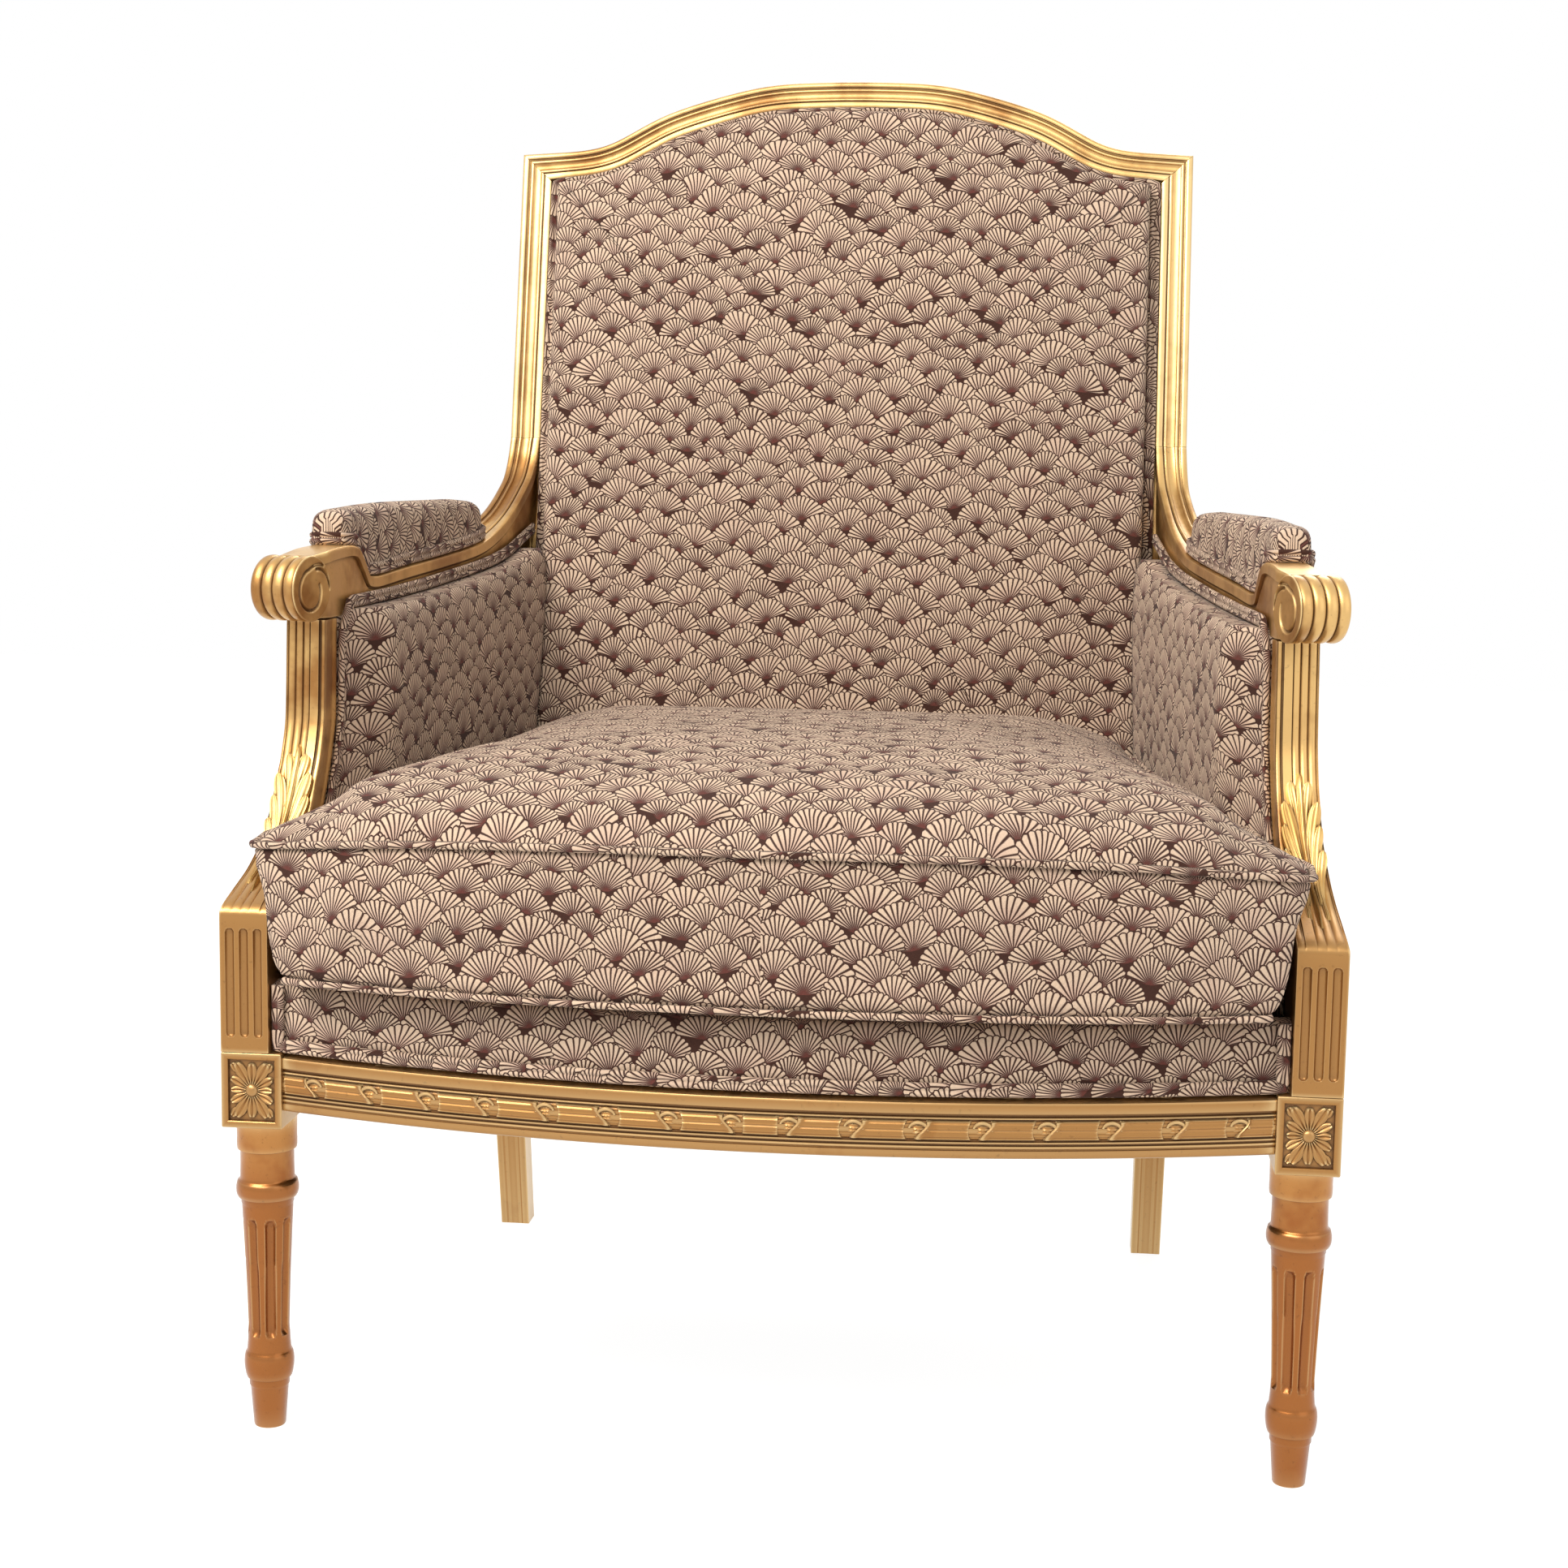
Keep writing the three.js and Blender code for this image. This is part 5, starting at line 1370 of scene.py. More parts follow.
@dataclass
class ArmSupport:
    """A fluted plinth that sweeps back into a reeded console, with an acanthus leaf on the sweep."""

    foot: float = 293.3
    plinth_high: float = 103.0
    console_high: float = 203.0
    run: float = 119.0
    back_run: float = 87.0
    narrowing: float = 16.0
    inner_narrowing: float = 3.0
    bead_step: float = 9.0
    rear_narrowing: float = 4.0
    reeds: int = 4
    reed_deep: float = 2.4
    flute_radius: float = 3.1
    flute_long: float = 80.0
    flute_pitch: float = 10.3
    flute_deep: float = 2.2
    shares: Table = (
        (0, 0, 0.15, 0), (0.02, 0.03, 0.17, 0.06), (0.055, 0.17, 0.25, 0.15), (0.113, 0.42, 0.37, 0.3),
        (0.163, 0.55, 0.45, 0.42), (0.212, 0.64, 0.54, 0.52), (0.31, 0.73, 0.68, 0.72), (0.409, 0.82, 0.8, 0.81),
        (0.507, 0.916, 0.9, 0.87), (0.655, 0.99, 1, 0.92), (1, 1, 1, 1),
    )
    lines: list[Curve] = field(init=False)

    def __post_init__(self) -> None:
        """Prepare the console's lines."""
        self.lines = [Curve(self.shares, column) for column in (1, 2, 3)]

    def share(self, z: float, line: int) -> float:
        """Share of one of the console's lines at a height."""
        return self.lines[line]((z - LINES.plinth_top) / self.console_high)

    def front_y(self, z: float) -> float:
        """Front line."""
        return LINES.block_front + self.run * self.share(z, 0)

    def back_y(self, z: float) -> float:
        """Rear line."""
        low = 0.15 * clamp((z - LINES.block_top) / self.plinth_high)
        share = self.share(z, 1) if z >= LINES.plinth_top else low
        return LINES.block_rear + self.back_run * share

    def narrow(self, z: float) -> float:
        """How far the console has narrowed, from 0 to 1."""
        return self.share(z, 2) if z >= LINES.plinth_top else 0.0

    def outer_x(self, z: float) -> float:
        """Outer edge."""
        return LINES.front_half - self.narrowing * self.narrow(z)

    def inner_x(self, z: float) -> float:
        """Inner edge of the front face."""
        return LINES.plinth_inner - self.inner_narrowing * self.narrow(z)

    def bead_x(self, z: float) -> float:
        """Inner face beside the fabric."""
        return LINES.plinth_inner - (self.inner_narrowing + self.bead_step) * self.narrow(z)

    def dip(self, z: float, share: float, x: float) -> float:
        """How deep the front face lies at a share of its width."""
        narrow = self.narrow(z)
        if narrow > 0:
            fade = smooth(narrow, 0.0, 0.2) * (1.9 - 0.9 * smooth(narrow, 0.3, 0.8))
            if share < 0.05:
                return self.reed_deep * fade * 0.5
            if share < 0.62:
                part = ((share - 0.05) / 0.19) % 1.0
                return self.reed_deep * fade * (1 - math.sqrt(max(1 - (2 * part - 1) ** 2, 0)))
            if share < 0.83:
                return 0.0
            if share < 0.87:
                return 2.8 * fade
            return fade * (1.0 + 1.2 * (1 - math.sqrt(max(1 - ((share - 0.935) / 0.066) ** 2, 0))))
        axis = (LINES.front_half + LINES.plinth_inner) / 2
        middle = LINES.block_top + self.plinth_high / 2
        half = self.flute_long / 2 - self.flute_radius
        past = max(abs(z - middle) - half, 0.0)
        for k in (-1, 0, 1):
            away = math.hypot(x - axis - k * self.flute_pitch, past) / self.flute_radius
            if away < 1:
                return self.flute_deep * math.sqrt(1 - away**2)
        return 0.0

    def ring(self, z: float) -> list[Vector]:
        """Closed ring at a height."""
        outer, bead = self.outer_x(z), self.bead_x(z)
        inner = lerp(self.inner_x(z), bead + 1.5, smooth(self.narrow(z), 0.1, 0.7))
        front, rear = self.front_y(z), self.back_y(z)
        soft = 0.8
        points = [Vector((outer, front + 1.6 * soft, z)), Vector((outer - 0.3 * soft, front + 0.5 * soft, z))]
        for share in spread(0.03, 0.985, 76):
            x = lerp(outer, inner, share)
            points.append(Vector((x, front + self.dip(z, share, x), z)))
        points += [Vector((inner + 0.3 * soft, front + 0.5 * soft, z)), Vector((inner, front + 1.6 * soft, z))]
        bead_start = rear - 11
        if bead_start < front + 6:
            bead_start = front + 6
        run = self.narrow(z)
        for share in (0.25, 0.5, 0.75, 0.92):
            points.append(Vector((lerp(inner, bead + 1.8 * run, share), lerp(front + 2, bead_start, share), z)))
        for k in range(9):
            turn = math.pi * k / 8
            swell = 1.8 * run * math.sin(turn)
            points.append(Vector((bead + 1.8 * run - swell, lerp(bead_start, rear - 1, k / 8), z)))
        points.append(Vector((bead + 1.8 * run, rear, z)))
        back_x = outer - self.rear_narrowing * run
        points += [Vector((lerp(bead, back_x, s), rear, z)) for s in (0.35, 0.7)]
        points += [Vector((back_x - 1.5, rear, z)), Vector((back_x - 0.3, rear - 0.4, z)), Vector((back_x, rear - 1.6, z))]
        points += [Vector((lerp(back_x, outer, s), lerp(rear, front, s), z)) for s in (0.3, 0.6)]
        return points

    def body(self) -> Shell:
        """Build the plinth and the console."""
        shell = Shell()
        low, top = self.foot, LINES.console_top - GAP
        ends = LINES.block_top + (self.plinth_high - self.flute_long) / 2
        levels = [low, low + 3, low + 6]
        levels += spread(ends - 1, ends + 6, 14)
        levels += spread(ends + 9, ends + self.flute_long - 9, 14)
        levels += spread(ends + self.flute_long - 6, ends + self.flute_long + 1, 14)
        levels += spread(LINES.plinth_top - 5, top, 110)
        levels = sorted(set(levels))
        add_rings(shell, [self.ring(z) for z in levels])
        return shell

    def add_leaf(self, shell: Shell) -> None:
        """Carve the acanthus leaf on the front of the sweep."""
        foot, tip = 412.0, 505.0

        def surface(z: float, x: float, rise: float) -> Vector:
            """Point above the front face."""
            slope = (self.front_y(z + 1) - self.front_y(z - 1)) / 2
            out = Vector((0, -1, slope)).normalized()
            return Vector((x, self.front_y(z), z)) + out * rise

        def lobe(root: float, top: float, aim: float, lean: float, wide: float, proud: float, curl: float) -> None:
            """One pointed lobe with a rib and furrows.

            Args:
                root: Height of its foot.
                top: Height of its tip.
                aim: How far its tip leans across.
                lean: How far its foot stands off the middle.
                wide: Its greatest width.
                proud: How far it stands off the face.
                curl: How far its tip curls forward.
            """

            def spot(i: int, j: int) -> Vector:
                """Point of the lobe."""
                t, c = i / 22, 2 * j / 16 - 1
                z = lerp(root, top, t) - 0.8 * abs(c) * t
                mid = self.outer_x(z) - 14.6 + lean * (1 - t) + aim * t**1.6
                body = 0.36 + 0.64 * smooth(t, 0.1, 0.8)
                end = math.sqrt(max(1 - (max(t - 0.8, 0) / 0.2) ** 2, 0.0))
                half = wide / 2 * body * end
                vein = 0.9 * math.exp(-((c / 0.16) ** 2)) - 0.8 * math.cos(3 * math.pi * c) * (1 - abs(c))
                rise = proud * (0.5 + 0.5 * math.sqrt(1 - c * c)) + vein + curl * t**3
                if j in (0, 16) or i == 0:
                    rise = -0.6 + 0.5 * curl * t**3
                return surface(z, mid + half * c, rise)

            shell.skin(22, 16, spot)

        for side in (-1, 1):
            lobe(foot, 453, side * 13.0, side * 6.5, 9.0, 1.6, 1.8)
            lobe(foot + 6, 469, side * 12.4, side * 4.5, 9.5, 2.2, 2.6)
            lobe(foot + 16, 484, side * 11.6, side * 3.2, 10.5, 2.8, 3.4)
            lobe(foot + 46, 498, side * 6.4, side * 2.6, 8.6, 2.6, 3.0)
        lobe(foot - 4, tip, 0.0, 0.0, 5.6, 4.4, 1.4)

    def build(self, leaf: bpy.types.Material, highlit_leaf: bpy.types.Material) -> None:
        """Build and dress both supports."""
        for name, side in SIDES:
            shell = self.body()
            shell.merge(0.01)
            shell.flip_side(side)
            settle(shell.finish(f"carved_arm_support_{name}", 34), leaf, Slot.GILT, [f"arm_support_{name}"])
            shell = Shell()
            self.add_leaf(shell)
            shell.merge(0.01)
            shell.flip_side(side)
            # the carved leaf takes a brighter copy of the gilding, a painted highlight
            settle(shell.finish(f"acanthus_leaf_{name}", 60), highlit_leaf, Slot.GILT)


@dataclass
class GiltArm:
    """An arm that starts in a ridged scroll with a volute cheek, carries a pad and sweeps up to the stile."""

    scroll_radius: float = 24.5
    scroll_long: float = 43.0
    scroll_splay: float = math.radians(18)
    scroll_y: float = 64.0
    low: float = 627.0
    sweep: float = 110.0
    outer_inset: float = 4.0
    inner_inset: float = 45.2
    joint: float = 455.0
    ridges: int = 4
    ridged_share: float = 0.97
    cheek_back: float = 3.5
    groove_deep: float = 2.6
    groove_wide: float = 1.1
    line_shares: Table = (
        (0, 0.19, 0, -0.236), (0.0685, 0.227, 0.0685, -0.243), (0.147, 0.236, 0.109, -0.243),
        (0.183, 0.218, 0.1245, -0.2), (0.21, 0.118, 0.183, -0.195), (0.234, 0.009, 0.228, -0.19),
        (0.2656, 0, 0.2656, -0.186), (0.39, 0.045, 0.39, -0.155), (0.55, 0.1, 0.55, -0.1),
        (0.697, 0.164, 0.697, -0.04), (0.784, 0.264, 0.797, 0.027), (0.853, 0.4, 0.878, 0.127),
        (0.919, 0.573, 0.946, 0.21),
    )
    edge_shares: Table = (
        (0, 0.965, 1), (0.07, 0.915, 0.955), (0.255, 0.884, 0.82), (0.494, 0.663, 0.545), (0.697, 0.419, 0.31),
        (0.784, 0.279, 0.214), (0.853, 0.128, 0.138), (0.919, 0.052, 0.076), (0.956, 0.023, 0.041), (1, 0, 0),
    )
    end_shares: Table = ((0.956, 0.69, 0.82), (0.983, 0.845, 0.91))
    curves: dict[str, Curve] = field(init=False)

    def __post_init__(self) -> None:
        """Prepare the arm's lines."""
        under = [(row[2], row[3]) for row in self.line_shares]
        self.curves = {
            "outer": Curve(self.edge_shares, 1),
            "inner": Curve(self.edge_shares, 2),
            "top": Curve(self.line_shares, 1),
            "under": Curve(under, 1),
        }

    @property
    def run(self) -> float:
        """Length of the arm in plan."""
        return LINES.back_y(self.low + self.sweep, 0) - self.scroll_y

    def y(self, share: float) -> float:
        """Depth at a share of the run."""
        return self.scroll_y + share * self.run

    def z(self, share: float) -> float:
        """Height at a share of the sweep."""
        return self.low + share * self.sweep

    def outer_x(self, y: float) -> float:
        """Outer edge."""
        taper = LINES.front_half - self.outer_inset - LINES.rear_half
        return LINES.rear_half + taper * self.curves["outer"]((y - self.scroll_y) / self.run)

    def inner_x(self, y: float) -> float:
        """Inner edge."""
        taper = LINES.front_half - self.inner_inset - LINES.stile_inner - GAP
        return LINES.stile_inner + GAP + taper * self.curves["inner"]((y - self.scroll_y) / self.run)

    def top(self, y: float) -> float:
        """Top line."""
        return self.z(self.curves["top"]((y - self.scroll_y) / self.run))

    def under(self, y: float) -> float:
        """Bottom line."""
        return self.z(self.curves["under"]((y - self.scroll_y) / self.run))

    def lead(self, y: float) -> float:
        """How far the inner side comes out to meet the cheek of the splayed scroll."""
        if y < self.scroll_y + 19:
            return lerp(-2.2, 2.3, clamp((y - self.scroll_y) / 19))
        return 2.3 * (1 - smooth(y, self.scroll_y + 19, 130))

    def body(self, shell: Shell) -> None:
        """Skin the arm from the scroll to the stile."""
        rows = [(self.y(a), self.z(b), self.y(c), self.z(d)) for a, b, c, d in self.line_shares]
        seat = LINES.stile_recess - GAP
        for along, up, heel_along in self.end_shares:
            heel = LINES.on_back(0, self.joint * heel_along, seat)
            rows.append((self.y(along), self.z(up), heel.y, heel.z))
        head, tail = LINES.on_back(0, self.joint + GAP, 0), LINES.on_back(0, self.joint + GAP, seat)
        rows.append((head.y, head.z, tail.y, tail.z))
        rings = []
        for ty, tz, by, bz in eased_track(rows, 10):
            top, bottom = Vector((0, ty, tz)), Vector((0, by, bz))
            down = (bottom - top).normalized()
            long = (bottom - top).length
            depth = smooth(ty, 150, 200)
            trim = 9.0 * smooth(ty, 168, 130)
            ring = []
            for s, b in MOULDING.face:
                soft = 2.4 * max(1 - min(s, 1 - s) / 0.05, 0) ** 2 * 0.8
                dip = lerp(soft, b, depth)
                x = lerp(self.inner_x(ty) - self.lead(ty), self.outer_x(ty) - trim, s)
                ring.append(top + down * dip + Vector((x, 0, 0)))
            for share, inset in ((0.45, 0.0), (0.62, 0.0), (0.65, 0.9), (0.70, 0.9), (0.73, 0.0), (0.93, 0.2), (1.0, 2.0)):
                place = top + down * long * share
                ring.append(Vector((self.outer_x(place.y) - inset - trim, place.y, place.z)))
            line = min(9.4 / long, 0.9)
            sunk = 1.6 * smooth(long, 14, 22)
            cut = 1.3 * smooth(long, 11, 16)
            inner_side = ((1.0, 2.0), (0.97, 0.4 + sunk), (lerp(line, 1, 0.12), sunk), (line + 0.5 / long, sunk + cut))
            inner_side += ((line - 0.2 / long, sunk + cut), (line - 0.9 / long, 0.0), (line * 0.4, 0.0))
            for share, inset in inner_side:
                place = top + down * long * share
                ring.append(Vector((self.inner_x(place.y) - self.lead(place.y) + inset, place.y, place.z)))
            rings.append(ring)
        add_rings(shell, rings)

    def scroll_place(self) -> Matrix:
        """Turn local +Z to the scroll's axis and move it into the scroll."""
        middle = (self.outer_x(self.scroll_y) + self.inner_x(self.scroll_y)) / 2
        centre = Vector((middle, self.scroll_y, LINES.console_top + self.scroll_radius))
        return (
            Matrix.Translation(centre)
            @ Matrix.Rotation(self.scroll_splay, 4, "Z")
            @ Matrix.Rotation(math.pi / 2, 4, "Y")
        )

    def groove_lines(self) -> list[tuple[float, float]]:
        """Points of the lines cut into the cheek, as (backward, upward) from the scroll's axis."""
        volute = Curve((
            (50, 0.93), (75, 0.73), (107, 0.60), (146, 0.60), (179, 0.63), (208, 0.66), (233, 0.67),
            (264, 0.655), (289, 0.62), (312, 0.575), (336, 0.50), (376, 0.43),
        ))
        rim = Curve(((-4, 1.0), (11, 0.93), (30, 0.87), (48, 0.77), (67, 0.64)))
        points = []
        for line, first, last in ((volute, 50.0, 376.0), (rim, -4.0, 67.0)):
            for turn in spread(first, last, int((last - first) / 1.8)):
                reach = self.scroll_radius * line(turn)
                points.append((math.cos(math.radians(turn)) * reach, math.sin(math.radians(turn)) * reach))
        return points

    def scroll(self, shell: Shell) -> None:
        """Turn the ridged scroll and close it with a cheek into which the volute is cut."""
        half, radius = self.scroll_long / 2, self.scroll_radius
        cheek = -half + self.cheek_back
        start = half - (half - cheek) * self.ridged_share
        profile = [(cheek, radius - 1.0), (cheek + 0.3, radius - 0.3), (cheek + 1.0, radius)]
        profile += [(start, radius - 0.6)]
        pitch = (half - start) / self.ridges
        for k in range(self.ridges):
            for step in range(1, 12):
                part = step / 12
                swell = math.sqrt(max(1 - (2 * part - 1) ** 2, 0))
                profile.append((start + (k + part) * pitch, radius - 2.9 + 2.9 * swell))
            profile.append((start + (k + 1) * pitch, radius - 3.0))
        profile += [(half, radius - 4.0), (half, radius * 0.5), (half, 0.0)]
        place = self.scroll_place()
        add_turned(shell, profile, 144, place)
        lines = self.groove_lines()

        def spot(i: int, j: int) -> Vector:
            """Point of the cheek."""
            reach = (radius - 1.0) * i / 48
            angle = 2 * math.pi * j / 144
            back, up = math.cos(angle) * reach, math.sin(angle) * reach
            away = min((back - a) ** 2 + (up - b) ** 2 for a, b in lines)
            sunk = self.groove_deep * math.exp(-away / self.groove_wide**2) if reach < radius - 1.2 else 0.0
            return place @ Vector((-up, back, cheek + sunk))

        shell.skin(48, 144, spot)

    def build(self, leaf: bpy.types.Material) -> None:
        """Build and dress both arms."""
        for name, side in SIDES:
            shell = Shell()
            self.body(shell)
            self.scroll(shell)
            shell.merge(0.01)
            shell.flip_side(side)
            settle(shell.finish(f"carved_arm_{name}", 34), leaf, Slot.GILT, [f"arm_{name}"])


SUPPORT = ArmSupport()
ARM = GiltArm()
BACK = BackFrame()


# Stuffed and covered pieces ------------------------------------------------------------------------------


@dataclass
class StuffedForm:
    """A stuffed piece over an outline: a wall of levels, closed by a crown and, below, by a belly or a flat."""

    outline: list[Vector]
    place: Callable[[Vector, float, float, float], Vector]
    walls: Sequence[tuple[float, float]]
    crown: Sequence[tuple[float, float]]
    belly: Sequence[tuple[float, float]] = ((0.5, 0.0),)
    boxed: bool = False

    def add_to(self, shell: Shell, chart: Callable[[Vector, Vector, float], tuple[float, float]]) -> None:
        """Skin the form.

        Args:
            shell: The mesh that it is added to.
            chart: Gives the cloth coordinates of an outline point, its outward direction and its depth below
                the crown, in metres.
        """
        count = len(self.outline)
        centre = sum(self.outline, Vector((0, 0, 0))) / count
        ways = outward(self.outline)

        def ring(up: float, inset: float, scale: float, dome: float) -> list[Vector]:
            """One ring of the form."""
            points = []
            for p, way in zip(self.outline, ways):
                flat_point = (p - way * inset).lerp(centre, 1 - scale)
                points.append(self.place(flat_point, up, dome, inset))
            return points

        rows = [(*self.walls[0], scale, dome) for scale, dome in self.belly]
        rows += [(up, inset, 1.0, 0.0) for up, inset in self.walls]
        rows += [(*self.walls[-1], scale, dome) for scale, dome in self.crown]
        rings = [ring(*row) for row in rows]
        last_wall = len(self.belly) + len(self.walls) - 1
        lengths = [0.0]
        for p, q in zip(self.outline, [*self.outline[1:], self.outline[0]]):
            lengths.append(lengths[-1] + (q - p).length)

        def spot(i: int, j: int) -> tuple[float, float]:
            """Cloth coordinates of a ring and a point."""
            point = rings[i][j % count]
            if i >= last_wall or (self.boxed and i < len(self.belly)):
                return chart(point, Vector((0, 0, 0)), 0.0)
            if self.boxed:
                return lengths[j] * MM, point.z * MM
            edge = rings[last_wall][j % count]
            depth = sum(
                (rings[k][j % count] - rings[k + 1][j % count]).length for k in range(i, last_wall)
            )
            return chart(edge, ways[j % count], depth)

        add_rings(shell, rings, capped=True, chart=spot)


@dataclass(frozen=True)
class Plumping:
    """Cloth simulation that swells a stuffed piece between its seams."""

    voxel: float = 6.0
    pressure: float = 4.0
    frames: int = 20
    most: float = 8.0
    slack: float = 0.03
    seam_near: float = 3.0
    seam_far: float = 24.0

    def swollen(self, piece: bpy.types.Object) -> tuple[list[Vector], list[Vector]]:
        """Run the simulation on a copy.

        Args:
            piece: The stuffed piece, which isn't changed.

        Returns:
            The copy's points at rest, and how far each has moved.
        """
        scene = bpy.context.scene
        copy = bpy.data.objects.new("plumping", piece.data.copy())
        scene.collection.objects.link(copy)
        remesh = copy.modifiers.new("remesh", "REMESH")
        remesh.mode = "VOXEL"
        remesh.voxel_size = self.voxel * MM
        even = bpy.data.meshes.new_from_object(copy.evaluated_get(bpy.context.evaluated_depsgraph_get()))
        copy.modifiers.clear()
        copy.data = even
        cloth = copy.modifiers.new("cloth", "CLOTH")
        cloth.settings.use_pressure = True
        cloth.settings.uniform_pressure_force = self.pressure
        cloth.settings.effector_weights.gravity = 0.0
        cloth.settings.shrink_min = -self.slack
        cloth.settings.quality = 5
        cloth.collision_settings.use_collision = False
        cloth.point_cache.frame_start = 1
        cloth.point_cache.frame_end = self.frames
        for number in range(1, self.frames + 1):
            scene.frame_set(number)
        result = copy.evaluated_get(bpy.context.evaluated_depsgraph_get()).to_mesh()
        rest = [vert.co.copy() for vert in even.vertices]
        moves = []
        for before, vert in zip(rest, result.vertices):
            move = vert.co - before
            moves.append(move * min(1.0, self.most * MM / max(move.length, 1e-9)))
        bpy.data.objects.remove(copy)
        scene.frame_set(1)
        return rest, moves

    def apply(
        self, piece: bpy.types.Object, seams: Sequence[Vector], free: Callable[[Vector], float]
    ) -> bpy.types.Object:
        """Swell a piece, except near its seams.

        Args:
            piece: The stuffed piece.
            seams: Points along its seams, in the chair's own frame.
            free: Gives how freely a point moves, from 0 to 1, in the chair's own frame.

        Returns:
            The same piece.
        """
        rest, moves = self.swollen(piece)
        tree, edge = KDTree(len(rest)), KDTree(len(seams))
        for i, point in enumerate(rest):
            tree.insert(point, i)
        for i, point in enumerate(seams):
            edge.insert(on_chair(*point), i)
        tree.balance()
        edge.balance()
        for vert in piece.data.vertices:
            share = free(own(vert.co)) * smooth(edge.find(vert.co)[2] / MM, self.seam_near, self.seam_far)
            near = tree.find_n(vert.co, 5)
            total = sum(1 / (far + 1e-5) for _, _, far in near)
            move = sum((moves[i] * (1 / (far + 1e-5)) for _, i, far in near), Vector()) / total
            vert.co += move * share
        log.info("%s: swollen by simulation", piece.name)
        return piece


def planar_chart(point: Vector, way: Vector, depth: float) -> tuple[float, float]:
    """Cloth laid flat over the crown and folded down its sides."""
    return (point.x + way.x * depth) * MM, (point.y + way.y * depth) * MM


def back_chart(point: Vector, way: Vector, depth: float) -> tuple[float, float]:
    """Cloth laid on the leaning back."""
    along = (point.z - LINES.foot_z) / math.cos(LINES.rake)
    return (point.x + way.x * depth) * MM, (along + way.y * depth) * MM


@dataclass
class BackUpholstery:
    """The stuffed inside back, the cover of the outside back, and their welts."""

    foot: float = 8.0
    welt_wide: float = 10.0
    welt_thick: float = 5.0
    outside_front: float = 28.7

    def inside(self) -> bpy.types.Object:
        """Build the stuffed inside back."""
        shell = Shell()
        proud, recess, crown = LINES.pad_proud, LINES.stile_recess, LINES.pad_crown

        def place(p: Vector, up: float, dome: float, inset: float) -> Vector:
            """Stand a flat point up on the back."""
            return LINES.on_back(p.x, p.y, recess - up * (proud + recess) - dome * crown)

        walls = [(0.0, 0.3), (0.3, 0.0), (0.6, 0.0), (0.78, 0.1), (0.86, 0.6), (0.92, 1.9)]
        walls += [(0.965, 4.2), (0.99, 6.6), (1.0, 9.0)]
        scales = (0.985, 0.96, 0.92, 0.87, 0.81, 0.74, 0.66, 0.57, 0.47, 0.36, 0.25, 0.14, 0.05, 0.008)
        crown_rows = [(s, 1 - s**3.2) for s in scales]
        form = StuffedForm(BACK.outline(self.welt_wide + 2 * GAP, self.foot, 5.0), place, walls, crown_rows)
        form.add_to(shell, back_chart)
        shell.merge()
        return shell.finish("stuffed_inside_back")

    def outside(self) -> bpy.types.Object:
        """Build the cover of the outside back."""
        shell = Shell()
        thick = LINES.stile_deep - self.outside_front

        def place(p: Vector, up: float, dome: float, inset: float) -> Vector:
            """Stand a flat point up on the back."""
            return LINES.on_back(p.x, p.y, self.outside_front + up * thick + dome * 1.2)

        walls = [(0.0, 0.2), (0.5, 0.0), (0.8, 0.6), (0.95, 1.8), (1.0, 3.5)]
        crown_rows = [(s, 1 - s**2) for s in (0.97, 0.92, 0.84, 0.72, 0.58, 0.42, 0.25, 0.08, 0.01)]
        form = StuffedForm(BACK.outline(self.welt_wide + 2 * GAP, self.foot, 6.0), place, walls, crown_rows)
        form.add_to(shell, back_chart)
        shell.merge()
        return shell.finish("covered_outside_back")

    def welt(self, name: str, behind: float, way: int) -> bpy.types.Object:
        """Build a double welt inside the frame's edge."""
        shell = Shell()
        whole = BACK.outline(GAP + self.welt_wide / 2, self.foot, 4.0)
        line = [p for p in whole if p.y > self.foot + 0.01 or abs(p.x) > LINES.stile_inner - self.welt_wide]
        path = [LINES.on_back(p.x, p.y, behind) for p in line]
        normal = (LINES.on_back(0, 0, way) - LINES.on_back(0, 0, 0)).normalized()
        add_sweep(shell, path, [normal] * len(path), double_section(self.welt_wide, self.welt_thick))
        shell.merge()
        return shell.finish(name)

    def build(self, cloth: bpy.types.Material) -> None:
        """Build and dress the back's soft pieces."""
        edge = BACK.outline(self.welt_wide + 8, self.foot + 4, 6.0)
        seams = [LINES.on_back(p.x, p.y, -LINES.pad_proud) for p in edge]
        swell = Plumping(voxel=7.0, most=5.0, seam_far=60.0)
        piece = swell.apply(self.inside(), seams, lambda p: smooth(p.z, 500, 560) * smooth(300 - abs(p.x), 30, 90))
        settle(piece, cloth, Slot.UPHOLSTERY, ["back_pad"], fill=0.85)
        settle(self.outside(), cloth, Slot.UPHOLSTERY, ["outside_back"], fill=0.3)
        settle(self.welt("inner_back_welt", -0.5, -1), cloth, Slot.UPHOLSTERY, ["back_welt"])
        rear = LINES.stile_deep - self.welt_thick / 2
        settle(self.welt("outer_back_welt", rear, 1), cloth, Slot.UPHOLSTERY, ["outside_back_welt"])


